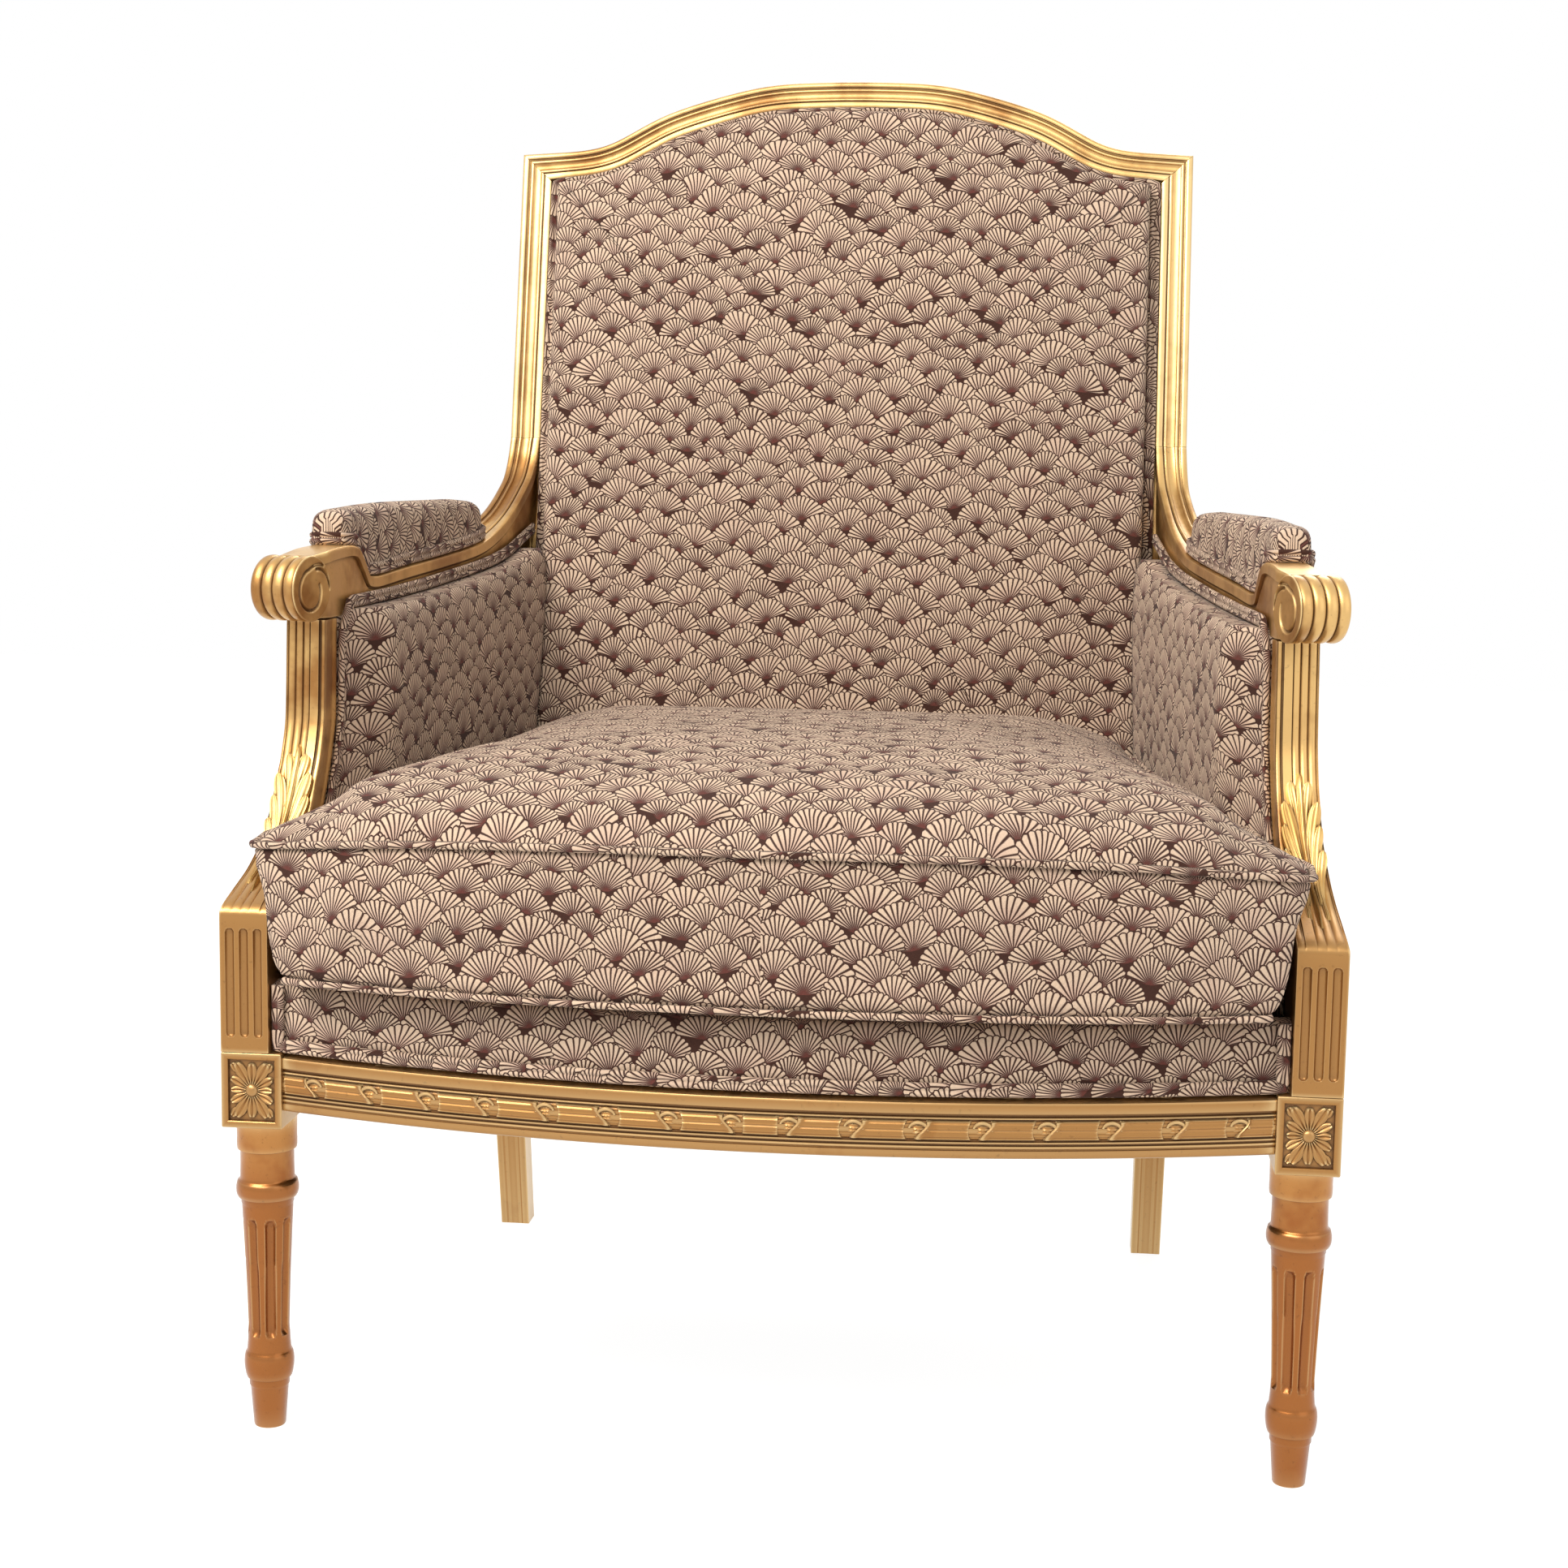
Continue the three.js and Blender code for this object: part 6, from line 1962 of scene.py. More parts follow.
@dataclass
class ArmUpholstery:
    """The closed arms: stuffed insides, outside covers, pads on the arms, and the welts round them."""

    welt_wide: float = 10.0
    welt_thick: float = 5.0
    pad_start: float = 137.0
    pad_end: float = 424.0
    pad_high: float = 52.0
    pad_inset: float = 6.0
    rounding: float = 9.0
    sheet_foot: float = 291.3
    cover_thick: float = 5.0
    pad_section: Table = (
        (0.0, 0.0), (0.0, 0.2), (-0.012, 0.42), (0.0, 0.62), (0.02, 0.74), (0.06, 0.84), (0.12, 0.905),
        (0.22, 0.96), (0.35, 0.99), (0.5, 1.0), (0.65, 0.99), (0.78, 0.96), (0.88, 0.905), (0.94, 0.84),
        (0.98, 0.74), (1.0, 0.62), (1.012, 0.42), (1.0, 0.2), (1.0, 0.0),
    )
    pad_stations: Table = (
        (0, 0.80, 0.12), (0.005, 0.87, 0.07), (0.014, 0.93, 0.03), (0.03, 0.975, 0.01), (0.055, 1, 0), (0.3, 1, 0),
        (0.55, 1, 0), (0.8, 1, 0), (0.94, 0.95, 0.02), (0.98, 0.85, 0.08), (1, 0.65, 0.24),
    )

    def pad_y(self, along: float) -> float:
        """Depth at a share of the pad."""
        return lerp(self.pad_start, self.pad_end, along)

    def pad_top(self, along: float) -> float:
        """Height of the pad's top at a share of its length."""
        low = ARM.top(self.pad_start) + self.pad_high / 2
        return lerp(low, ARM.low + self.pad_high + self.welt_thick, smooth(min(along * 2.2, 1), -0.4, 1.0))

    def pad_edges(self, along: float, nip: float) -> tuple[float, float]:
        """Inner and outer edge of the pad."""
        y = self.pad_y(along)
        inner, outer = ARM.inner_x(y) + self.pad_inset, ARM.outer_x(y) - self.pad_inset
        return lerp(inner, outer, nip), lerp(inner, outer, 1 - nip)

    def pad(self) -> Shell:
        """Build the pad on the arm."""
        shell = Shell()
        swell, nip = Curve(self.pad_stations, 1), Curve(self.pad_stations, 2)
        alongs = sorted({*spread(0, 0.1, 14), *spread(0.1, 0.9, 44), *spread(0.9, 1.0, 14)})
        rings = []
        for along in alongs:
            foot = ARM.top(self.pad_y(along)) + GAP
            top = foot + (self.pad_top(along) - foot) * swell(along)
            inner, outer = self.pad_edges(along, nip(along))
            ring = [
                Vector((lerp(inner, outer, s), self.pad_y(along), lerp(foot, top, up)))
                for s, up in self.pad_section
            ]
            ring += [Vector((lerp(outer, inner, s), self.pad_y(along), foot)) for s in (0.25, 0.5, 0.75)]
            rings.append(ring)
        girths = []
        for ring in rings:
            girth = [0.0]
            for p, q in zip(ring, [*ring[1:], ring[0]]):
                girth.append(girth[-1] + (q - p).length)
            middle = girth[9]
            girths.append([g - middle for g in girth])
        add_rings(shell, rings, chart=lambda i, j: (girths[i][j] * MM, (rings[i][0].y + 3.0) * MM))
        return shell

    def pad_welt(self) -> Shell:
        """Build the double welt round the pad's foot."""
        shell = Shell()
        inner = [Vector((self.pad_edges(a, n)[0], self.pad_y(a), 0)) for a, _, n in self.pad_stations]
        outer = [Vector((self.pad_edges(a, n)[1], self.pad_y(a), 0)) for a, _, n in self.pad_stations]
        outline = round_track([*inner, *reversed(outer)], 4.0, closed=True)
        ways = outward(outline)
        path = []
        for p, way in zip(outline, ways):
            q = p + way * (self.welt_thick / 2 - 0.6 - 3.4 * smooth(p.y, self.pad_start + 14, self.pad_start + 4))
            path.append(Vector((q.x, q.y, ARM.top(q.y) + self.welt_wide / 2 + 0.8)))
        add_sweep(shell, path, ways, double_section(self.welt_wide, self.welt_thick), closed=True)
        return shell

    def joue_front(self, z: float) -> float:
        """Front line of the stuffed inside, behind the console."""
        return SUPPORT.back_y(z) + GAP

    def joue(self) -> Shell:
        """Build the stuffed inside of an arm."""
        shell = Shell()
        side_room = self.cover_thick + 1.5 + 2 * GAP + 4
        section = [(1.0, 1.0), (0.985, 0.62), (0.96, 0.36), (0.93, 0.2), (0.88, 0.09), (0.8, 0.0)]
        section += [(s, 0.0) for s in (0.7, 0.6, 0.5, 0.4, 0.3, 0.2)]
        section += [(0.12, 0.04), (0.06, 0.12), (0.02, 0.4), (0.0, 0.65)]
        recess = LINES.stile_recess

        def rear_face(z: float) -> float:
            """Where the inside back's face meets the arm."""
            return LINES.back_y(z, -LINES.pad_proud - LINES.pad_crown * 0.2) - GAP

        def ring(share: float) -> list[Vector]:
            """Ring from the console, share 0, to the stile, share 1."""
            points = []

            def point(up: float, inset: float | None, x: float | None = None) -> Vector:
                """Point of the ring at a share of the height."""
                z = LINES.stuffing_foot
                for _ in range(4):
                    start, end = self.joue_front(z), rear_face(z)
                    y = lerp(start, end, share)
                    top = ARM.under(clamp(y, self.joue_front(LINES.console_top), 478)) - GAP
                    z = lerp(LINES.stuffing_foot, top, up)
                start, end = self.joue_front(z), rear_face(z)
                y = lerp(start, end, share)
                outer_line = LINES.cover_x(max(y, start)) - side_room
                if x is not None:
                    return Vector((outer_line, y, z))
                bead = SUPPORT.bead_x(z) + 1.5

                def face(at: float) -> float:
                    """Plan line with a corner where it turns along the arm."""
                    if at > LINES.facet_y:
                        return LINES.joue_face(at)
                    return lerp(bead, LINES.facet_x, clamp((at - start) / max(LINES.facet_y - start, 24)))

                line = softened(face, y, 6.0) if y > start + 7 else face(y)
                soft = self.rounding * clamp(0.2 + (y - start) / 60)
                return Vector((min(line + (inset or 0) * soft, outer_line - 2), y, z))

            points += [point(0.0, None, 1.0), point(0.5, None, 1.0), point(1.0, None, 1.0)]
            points += [point(up, inset) for up, inset in section]
            return points

        shares = [0.0, 0.01, 0.02, *spread(0.03, 0.3, 36), *spread(0.31, 0.97, 40), 0.985, 1.0]
        rings = [ring(share) for share in shares]
        runs = [0.0]
        for p, q in zip(rings, rings[1:]):
            runs.append(runs[-1] + (q[12] - p[12]).length)
        climbs = []
        for row in rings:
            climb = [row[-1].z]
            for p, q in zip(reversed(row), reversed(row[:-1])):
                climb.append(climb[-1] + (q - p).length)
            climbs.append(climb[::-1])
        add_rings(shell, rings, chart=lambda i, j: (runs[i] * MM, climbs[i][j % len(climbs[i])] * MM))
        return shell

    def joue_welt(self) -> Shell:
        """Build the welt up the console's edge and back under the arm."""
        shell = Shell()
        path, ways = [], []
        for z in spread(336, 588, 50):
            path.append(Vector((SUPPORT.bead_x(z) - self.welt_thick / 2 - 0.4, SUPPORT.back_y(z) + 1.0, z)))
            ways.append(Vector((-1, 0, 0)))
        for share in spread(0.125, 0.945, 84):
            y = ARM.y(share)
            slope = (ARM.inner_x(y + 1) - ARM.inner_x(y - 1)) / 2
            out = Vector((-1, slope, 0)).normalized()
            on_face = Vector((ARM.inner_x(y), y, ARM.under(y) + self.welt_wide / 2 + 0.4))
            path.append(on_face + out * (self.welt_thick / 2 + 0.4))
            ways.append(out)
        add_sweep(shell, path, ways, double_section(self.welt_wide, self.welt_thick))
        return shell

    def cover(self, inset: float) -> Shell:
        """Build the cloth of an arm's outside, or its lining further in."""
        shell = Shell()

        def spot(i: int, j: int) -> Vector:
            """Point of the cover."""
            share, up = j / 40, i / 30
            z = self.sheet_foot
            for _ in range(4):
                y = lerp(SUPPORT.back_y(z) + GAP, LINES.back_y(z, LINES.stile_recess) - GAP, share)
                z = lerp(self.sheet_foot, ARM.under(clamp(y, 112.3, 519)) - 1, up)
            y = lerp(SUPPORT.back_y(z) + GAP, LINES.back_y(z, LINES.stile_recess) - GAP, share)
            return Vector((LINES.cover_x(y) - inset, y, z))

        shell.skin(30, 40, spot, lambda i, j: (spot(i, j).y * MM, spot(i, j).z * MM))
        return shell

    def build(self, cloth: bpy.types.Material, jute: bpy.types.Material) -> None:
        """Build and dress the arms' soft pieces."""
        for name, side in SIDES:
            for shell, piece_name, finish, nodes, fill in (
                (self.pad(), "stuffed_arm_pad", cloth, "arm_pad", 0.85),
                (self.pad_welt(), "pad_welt", cloth, "arm_pad_welt", None),
                (self.joue(), "stuffed_inside_arm", cloth, "inside_arm", 0.8),
                (self.joue_welt(), "arm_welt", cloth, "inside_arm_welt", None),
            ):
                shell.merge(0.01)
                shell.flip_side(side)
                piece = shell.finish(f"{piece_name}_{name}")
                settle(piece, finish, Slot.UPHOLSTERY, [f"{nodes}_{name}"], fill=fill)
            for inset, finish, piece_name, node, slot in (
                (0.0, cloth, "outside_arm_cloth", "outer_arm_cover", Slot.UPHOLSTERY),
                (self.cover_thick + GAP, jute, "arm_lining_cloth", "arm_lining", Slot.JUTE),
            ):
                shell = self.cover(inset)
                shell.merge(0.01)
                shell.flip_side(side)
                piece = shell.finish(f"{piece_name}_{name}")
                thicken(piece, 1.4, -1.0 if side > 0 else 1.0)
                settle(piece, finish, slot, [f"{node}_{name}"])
                declare_sheet(piece, 0.54, 0.37)


def thicken(piece: bpy.types.Object, thick: float, offset: float) -> None:
    """Give a sheet its thickness, in millimetres, on the side that the offset points to."""
    wall = piece.modifiers.new("thickness", "SOLIDIFY")
    wall.thickness = thick * MM
    wall.offset = offset
    wall.use_even_offset = False


def declare_sheet(
    piece: bpy.types.Object, width: float, length: float
) -> None:
    """Work out the area of a sheet of cloth whose cut isn't a rectangle, capped by the cloth that it is cut from; the
    result isn't kept.

    Args:
        piece: The sheet, one layer of faces before its thickness.
        width: Width of the cloth that it is cut from, in metres.
        length: Its length in metres.
    """
    area = sum(face.area for face in piece.data.polygons)
    min(area, width * length)


@dataclass
class SeatUpholstery:
    """The stuffed front border with its welt, and the seat platform."""

    border_inset: float = 6.0
    border_thick: float = 30.0
    border_high: float = 49.5
    welt_wide: float = 10.0
    welt_thick: float = 5.0
    deck_high: float = 49.0
    border_section: Table = (
        (0.01, 0.0), (-0.01, 0.12), (-0.03, 0.3), (-0.04, 0.5), (-0.02, 0.68), (0.02, 0.82), (0.09, 0.93),
        (0.2, 0.985), (0.35, 1.0), (0.6, 1.0), (0.85, 0.97), (1.0, 0.9), (1.0, 0.5), (1.0, 0.0),
    )

    def border(self) -> bpy.types.Object:
        """Build the border above the front rail."""
        shell = Shell()
        end = LINES.plinth_inner - GAP
        xs = spread(-end, end, 140)
        rings = []
        for x in xs:
            front = LINES.rail_front(clamp(x, -LINES.block_inner, LINES.block_inner)) + self.border_inset
            rings.append(
                [
                    Vector((x, front + back * self.border_thick, LINES.stuffing_foot + up * self.border_high))
                    for back, up in self.border_section
                ]
            )
        heights = [0.0]
        for p, q in zip(rings[0], [*rings[0][1:], rings[0][0]]):
            heights.append(heights[-1] + (q - p).length)
        add_rings(shell, rings, chart=lambda i, j: (xs[i] * MM, (heights[j] + 292.0) * MM))
        shell.merge()
        return shell.finish("stuffed_front_border")

    def welt(self) -> bpy.types.Object:
        """Build the welt along the border's foot and up its ends."""
        shell = Shell()
        end = LINES.plinth_inner - self.welt_wide / 2 - 2 * GAP
        foot = LINES.block_top + GAP + self.welt_wide / 2
        top = LINES.stuffing_foot + self.border_high
        half = [Vector((x, 0, foot)) for x in spread(0, end, 90)]
        half += [Vector((end, 0, z)) for z in spread(foot + 3, top, 12)]
        path, ways = [], []
        right = []
        for p in half:
            inner = min(p.x, LINES.block_inner)
            right.append(Vector((p.x, LINES.rail_front(inner) + self.border_inset - self.welt_thick / 2 - 0.6, p.z)))
        left = [Vector((-p.x, p.y, p.z)) for p in reversed(right[1:])]
        for p in [*left, *right]:
            path.append(p)
            inner = clamp(p.x, -LINES.block_inner, LINES.block_inner)
            ways.append(Vector((2 * LINES.rail_bow * inner / LINES.block_inner**2, -1, 0)).normalized())
        add_sweep(shell, path, ways, double_section(self.welt_wide, self.welt_thick))
        shell.merge()
        return shell.finish("front_border_welt")

    def deck(self) -> bpy.types.Object:
        """Build the seat platform under the cushion."""
        shell = Shell()
        inner = SUPPORT.bead_x(LINES.console_top) - self.welt_wide
        half = []
        for share in (0, 0.15, 0.3, 0.45, 0.6, 0.72, 0.85, 0.93, 1):
            x = inner * share
            half.append(Vector((x, LINES.rail_front(x) + self.border_inset + self.border_thick + GAP, 0)))
        half.append(Vector((inner, LINES.block_rear + self.welt_wide, 0)))
        half += [Vector((LINES.joue_face(y) - self.welt_thick, y, 0)) for y in (212, 336, 400)]
        rear = LINES.back_y(LINES.stuffing_foot, -LINES.pad_proud - LINES.pad_crown) - GAP
        half += [Vector((LINES.joue_face(rear) - self.welt_thick, rear, 0)), Vector((0, rear, 0))]
        outline = [*half, *[Vector((-p.x, p.y, 0)) for p in reversed(half[1:-1])]]

        def place(p: Vector, up: float, dome: float, inset: float) -> Vector:
            """Raise a flat point."""
            return Vector((p.x, p.y, LINES.stuffing_foot + up * self.deck_high))

        walls = [(0.0, 0.2), (0.5, 0.0), (0.85, 0.0), (0.95, 2.0), (1.0, 6.0)]
        form = StuffedForm(outline, place, walls, [(s, 0.0) for s in (0.85, 0.6, 0.3)])
        form.add_to(shell, planar_chart)
        shell.merge()
        return shell.finish("stuffed_seat_platform")

    def build(self, cloth: bpy.types.Material) -> None:
        """Build and dress the seat's fixed soft pieces."""
        settle(self.border(), cloth, Slot.UPHOLSTERY, ["front_border"], fill=0.9)
        settle(self.welt(), cloth, Slot.UPHOLSTERY, ["border_welt"])
        settle(self.deck(), cloth, Slot.UPHOLSTERY, ["seat_deck"], fill=0.9)


@dataclass
class SeatCushion:
    """The loose cushion, with ears in front of the consoles, a boxing between two piped seams."""

    half_wide: float = 377.0
    front_y: float = -102.0
    neck_y: float = 52.0
    foot: float = 348.8
    high: float = 114.0
    rear_lift: float = 8.0
    corner_droop: float = 17.0
    crown: float = 46.0
    belly: float = 6.0
    corner: float = 30.0
    ear_clear: float = 6.0
    side_clear: float = 5.6
    piping: float = 2.6
    nip: float = 4.5
    ears: Table = (
        (0, 0), (0.239, 0.016), (0.477, 0.065), (0.716, 0.156), (0.875, 0.247), (0.96, 0.325), (0.995, 0.416),
        (1, 0.52), (0.984, 0.66), (0.952, 0.79),
    )
    side_rows: Table = ((348, 339), (353, 346), (362, 351), (380, 355), (396, 357), (412, 359), (436, 368), (456, 377))
    side_line: Curve = field(init=False)
    neck_x: float = field(init=False)
    rear_top: float = field(init=False)
    rear_y: float = field(init=False)
    outline: list[Vector] = field(init=False)

    def __post_init__(self) -> None:
        """Draw the plan."""
        self.side_line = Curve(self.side_rows)
        self.neck_x = SUPPORT.bead_x(LINES.console_top) - 8
        self.rear_top = self.foot + self.high + self.rear_lift
        self.rear_y = LINES.back_y(self.rear_top, -LINES.pad_proud - LINES.pad_crown) - 1.7
        half = [
            Vector((out * self.half_wide, lerp(self.front_y, self.neck_y, back), 0)) for out, back in self.ears
        ]
        for out, back in ((0.18, 0.883), (0.0, 1.0)):
            half.append(
                Vector((lerp(self.neck_x, self.half_wide, out), lerp(self.front_y, self.neck_y, back), 0))
            )
        end_x = 0.0
        half.append(Vector((self.neck_x, 97.0, 0)))
        half.append(Vector((lerp(self.neck_x, LINES.facet_x, 0.5) - 7.0, lerp(112, LINES.facet_y, 0.5) + 1.0, 0)))
        half.append(Vector((LINES.facet_x - 8.5, LINES.facet_y + 4.0, 0)))
        for share in (0.375, 0.557, 0.73, 0.91):
            y = lerp(self.neck_y, self.rear_y, share)
            end_x = LINES.joue_face(y) - self.side_clear
            half.append(Vector((end_x, y, 0)))
        for inward, forward in ((0.33, 0.4), (0.9, 0.067)):
            half.append(Vector((end_x - inward * self.corner, self.rear_y - forward * self.corner, 0)))
        half += [Vector((end_x / 2, self.rear_y, 0)), Vector((0, self.rear_y, 0))]
        points = [*half, *[Vector((-p.x, p.y, 0)) for p in reversed(half[1:-1])]]
        self.outline = round_track(points, 5.5, closed=True)

    def boxing_top(self, p: Vector) -> float:
        """Height of the upper seam."""
        back = clamp((p.y - self.front_y) / (self.rear_y - self.front_y))
        side = min(abs(p.x) / self.half_wide, 1)
        return self.foot + self.high + self.rear_lift * back - self.corner_droop * side**3 * (1 - back)

    def place(self, p: Vector, z: float, inset: float) -> Vector:
        """Keep the lower part between the plinths and lean the back edge."""
        limit = self.side_line(z) - inset
        behind = smooth(p.y, (self.front_y + self.rear_y) / 2, self.rear_y)
        lean = behind * (self.rear_top - z) * math.tan(LINES.rake)
        return Vector((clamp(p.x, -limit, limit), p.y - lean, z))

    def form(self) -> bpy.types.Object:
        """Build the stuffed cushion."""
        shell = Shell()

        def place(p: Vector, up: float, dome: float, inset: float) -> Vector:
            """Raise a flat point of the plan."""
            edge = self.foot + up * (self.boxing_top(p) - self.foot)
            return self.place(p, edge + dome * (self.crown if dome > 0 else self.belly), inset)

        walls = [(0.0, 9.0), (0.008, 5.5), (0.02, 4.5), (0.055, 4.2), (0.08, 1.2), (0.13, 0.2), (0.2, -0.6)]
        walls += [(up, -1.0) for up in (0.3, 0.42, 0.54, 0.66, 0.76)]
        walls += [(0.84, -0.4), (0.9, 0.4), (0.94, 1.6), (0.96, 4.2), (0.985, 4.5), (1.0, 5.5)]
        rise = Curve(((0.0, 0.0), (0.15, 0.01), (0.3, 0.025), (0.4, 0.06), (0.49, 0.11), (0.58, 0.18), (0.68, 0.26),
                      (0.75, 0.36), (0.81, 0.47), (0.86, 0.58), (0.9, 0.68), (0.94, 0.8), (0.97, 0.88), (1.0, 1.0)))
        crown_rows = [(s, 1 - rise(s)) for s in (0.99, 0.978, *spread(0.965, 0.02, 56), 0.006)]
        belly_rows = [(0.1, -1.0), (0.4, -1.0), (0.7, -0.95), (0.85, -0.8), (0.93, -0.5), (0.975, -0.2)]
        form = StuffedForm(self.outline, place, walls, crown_rows, belly_rows, boxed=True)
        form.add_to(shell, planar_chart)
        shell.merge()
        return shell.finish("stuffed_seat_cushion")

    def seam_path(self, up: float) -> list[Vector]:
        """Points along a seam at a share of the boxing's height."""
        inset = self.piping / 5
        path = []
        for p, way in zip(self.outline, outward(self.outline)):
            z = self.foot + up * (self.boxing_top(p) - self.foot)
            path.append(self.place(p - way * inset, z, inset))
        return path

    def seam(self, name: str, up: float) -> bpy.types.Object:
        """Build the piping of a seam."""
        shell = Shell()
        add_sweep(shell, self.seam_path(up), outward(self.outline), circle_section(self.piping), closed=True)
        shell.merge()
        return shell.finish(name)

    def build(self, cloth: bpy.types.Material) -> None:
        """Build and dress the cushion."""
        seams = [*self.seam_path(0.982), *self.seam_path(0.032)]

        def free(p: Vector) -> float:
            """Hold the cushion where it touches the chair."""
            side = 1 - smooth(abs(p.x), 290, 330) * (1 - smooth(p.z, 474, 486))
            rear = 1 - smooth(p.y, self.rear_y - 60, self.rear_y - 20) * (1 - smooth(p.z, 486, 500))
            return 0.0 if p.z < self.foot + 2 else side * rear * (0.55 if p.y < self.front_y + 25 else 1.0)

        piece = Plumping().apply(self.form(), seams, free)
        settle(piece, cloth, Slot.UPHOLSTERY, ["seat_cushion"], Body.CUSHION, fill=0.7)
        top = self.seam("upper_cushion_piping", 0.982)
        settle(top, cloth, Slot.UPHOLSTERY, ["cushion_piping_top"], Body.CUSHION)
        low = self.seam("lower_cushion_piping", 0.032)
        settle(low, cloth, Slot.UPHOLSTERY, ["cushion_piping_bottom"], Body.CUSHION)


@dataclass(frozen=True)
class HiddenCloths:
    """The cloths that carry the stuffing: woven jute straps, hessian, and the dust cover below."""

    strap_wide: float = 54.0
    strap_thick: float = 0.9
    weave: float = 0.5
    strap_span: float = 562.0
    rear: float = 441.0
    reach: float = 352.0

    def half_wide(self, y: float, inset: float) -> float:
        """Half the width of a seat cloth at a depth."""
        return min(self.reach, LINES.rail_outer(max(y, LINES.block_rear)) - inset)

    def seat_cloth(self, name: str, z: float, inset: float, thick: float) -> bpy.types.Object:
        """Build a cloth that covers the seat frame."""
        shell = Shell()

        def spot(i: int, j: int) -> Vector:
            """Point of the cloth."""
            across = 2 * j / 40 - 1
            y = lerp(LINES.rail_front(across * self.reach) + inset, self.rear, i / 30)
            return Vector((across * self.half_wide(y, inset), y, z))

        shell.skin(30, 40, spot, lambda i, j: (spot(i, j).x * MM, spot(i, j).y * MM))
        shell.merge(0.01)
        piece = shell.finish(name)
        thicken(piece, thick, 0.0)
        return piece

    def straps(
        self,
        name: str,
        place: Callable[[float, float, float], Vector],
        ups: list[float],
        ends: Callable[[float], tuple[float, float]],
        reach: Callable[[float], float],
    ) -> tuple[bpy.types.Object, float]:
        """Weave straps both ways.

        Args:
            name: Name of the piece.
            place: Gives the point of a place across, a place along and a height off the straps' plane.
            ups: Places along at which straps run across.
            ends: Gives the two ends along of a strap at a place across.
            reach: Gives half the length of a strap at a place along.

        Returns:
            The piece and the length of strap that it takes, in millimetres.
        """
        shell = Shell()
        half = self.strap_wide / 2
        span = self.strap_span - self.strap_wide
        acrosses = spread(-span / 2, span / 2, 5)
        long = 0.0
        for k, x in enumerate(acrosses):
            low, top = ends(x)
            long += top - low

            def upright(i: int, j: int, x: float = x, low: float = low, top: float = top, k: int = k) -> Vector:
                """Point of a strap that runs along."""
                y = lerp(low, top, i / 60)
                turn = (y - ups[0]) / (ups[1] - ups[0]) + k
                return place(x + (j - 1) * half, y, self.weave * math.cos(math.pi * turn))

            shell.skin(60, 2, upright, lambda i, j: (j * 0.027, i * 0.009))
        for k, y in enumerate(ups):
            wide = reach(y)
            long += 2 * wide

            def level(i: int, j: int, y: float = y, wide: float = wide, k: int = k) -> Vector:
                """Point of a strap that runs across."""
                x = lerp(-wide, wide, i / 60)
                turn = (x - acrosses[0]) / (acrosses[1] - acrosses[0]) + k
                return place(x, y + (1 - j) * half, -self.weave * math.cos(math.pi * turn))

            shell.skin(60, 2, level, lambda i, j: (j * 0.027, i * 0.009))
        piece = shell.finish(name)
        thicken(piece, self.strap_thick, 0.0)
        return piece, long

    def build(self, jute: bpy.types.Material, black: bpy.types.Material) -> None:
        """Build and dress the hidden cloths."""
        cover = settle(self.seat_cloth("dust_cover_cloth", 249.2, 14.0, 0.8), black, Slot.BLACK_CLOTH, ["dust_cover"])
        declare_sheet(cover, 0.80, 0.56)
        hessian = settle(self.seat_cloth("hessian_cloth", 292.8, 12.0, 0.6), jute, Slot.JUTE, ["seat_hessian"])
        declare_sheet(hessian, 0.80, 0.56)
        piece, long = self.straps(
            "seat_straps",
            lambda x, y, up: Vector((x, y, 291.3 + up)),
            spread(52.0, 415.0, 4),
            lambda x: (LINES.rail_front(x) + 12.0, self.rear),
            lambda y: self.half_wide(y, 12.0),
        )
        settle(piece, jute, Slot.JUTE, ["seat_webbing"])
        declare_sheet(piece, self.strap_wide * MM, long * MM)
        piece, long = self.straps(
            "back_straps",
            lambda x, along, up: LINES.on_back(x, along, 13.2 + up),
            spread(35.0, 660.0, 6),
            lambda x: (8.0, 687.0),
            lambda along: LINES.stile_inner - GAP,
        )
        settle(piece, jute, Slot.JUTE, ["back_webbing"])
        declare_sheet(piece, self.strap_wide * MM, long * MM)


@dataclass(frozen=True)
class PlainParts:
    """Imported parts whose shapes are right: they only get their finishes."""

    wood: tuple[str, ...] = ("front_corner_block", "back_corner_block")
    screws: tuple[str, ...] = ("front_rail_screw", "front_side_screw", "back_rail_screw", "back_side_screw")

    def build(self, leaf: bpy.types.Material, beech: bpy.types.Material, steel: bpy.types.Material) -> None:
        """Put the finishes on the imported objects."""
        finishes = {"back_rail": leaf, "lower_back_rail": beech}
        for side, _ in SIDES:
            finishes |= {f"{name}_{side}": beech for name in self.wood}
            finishes |= {f"{name}_{side}": steel for name in self.screws}
        for name, finish in finishes.items():
            node = bpy.data.objects[name]
            node.data.materials.clear()
            node.data.materials.append(finish)
            log.info("%s: packed shape, finished with %s", name, finish.name)


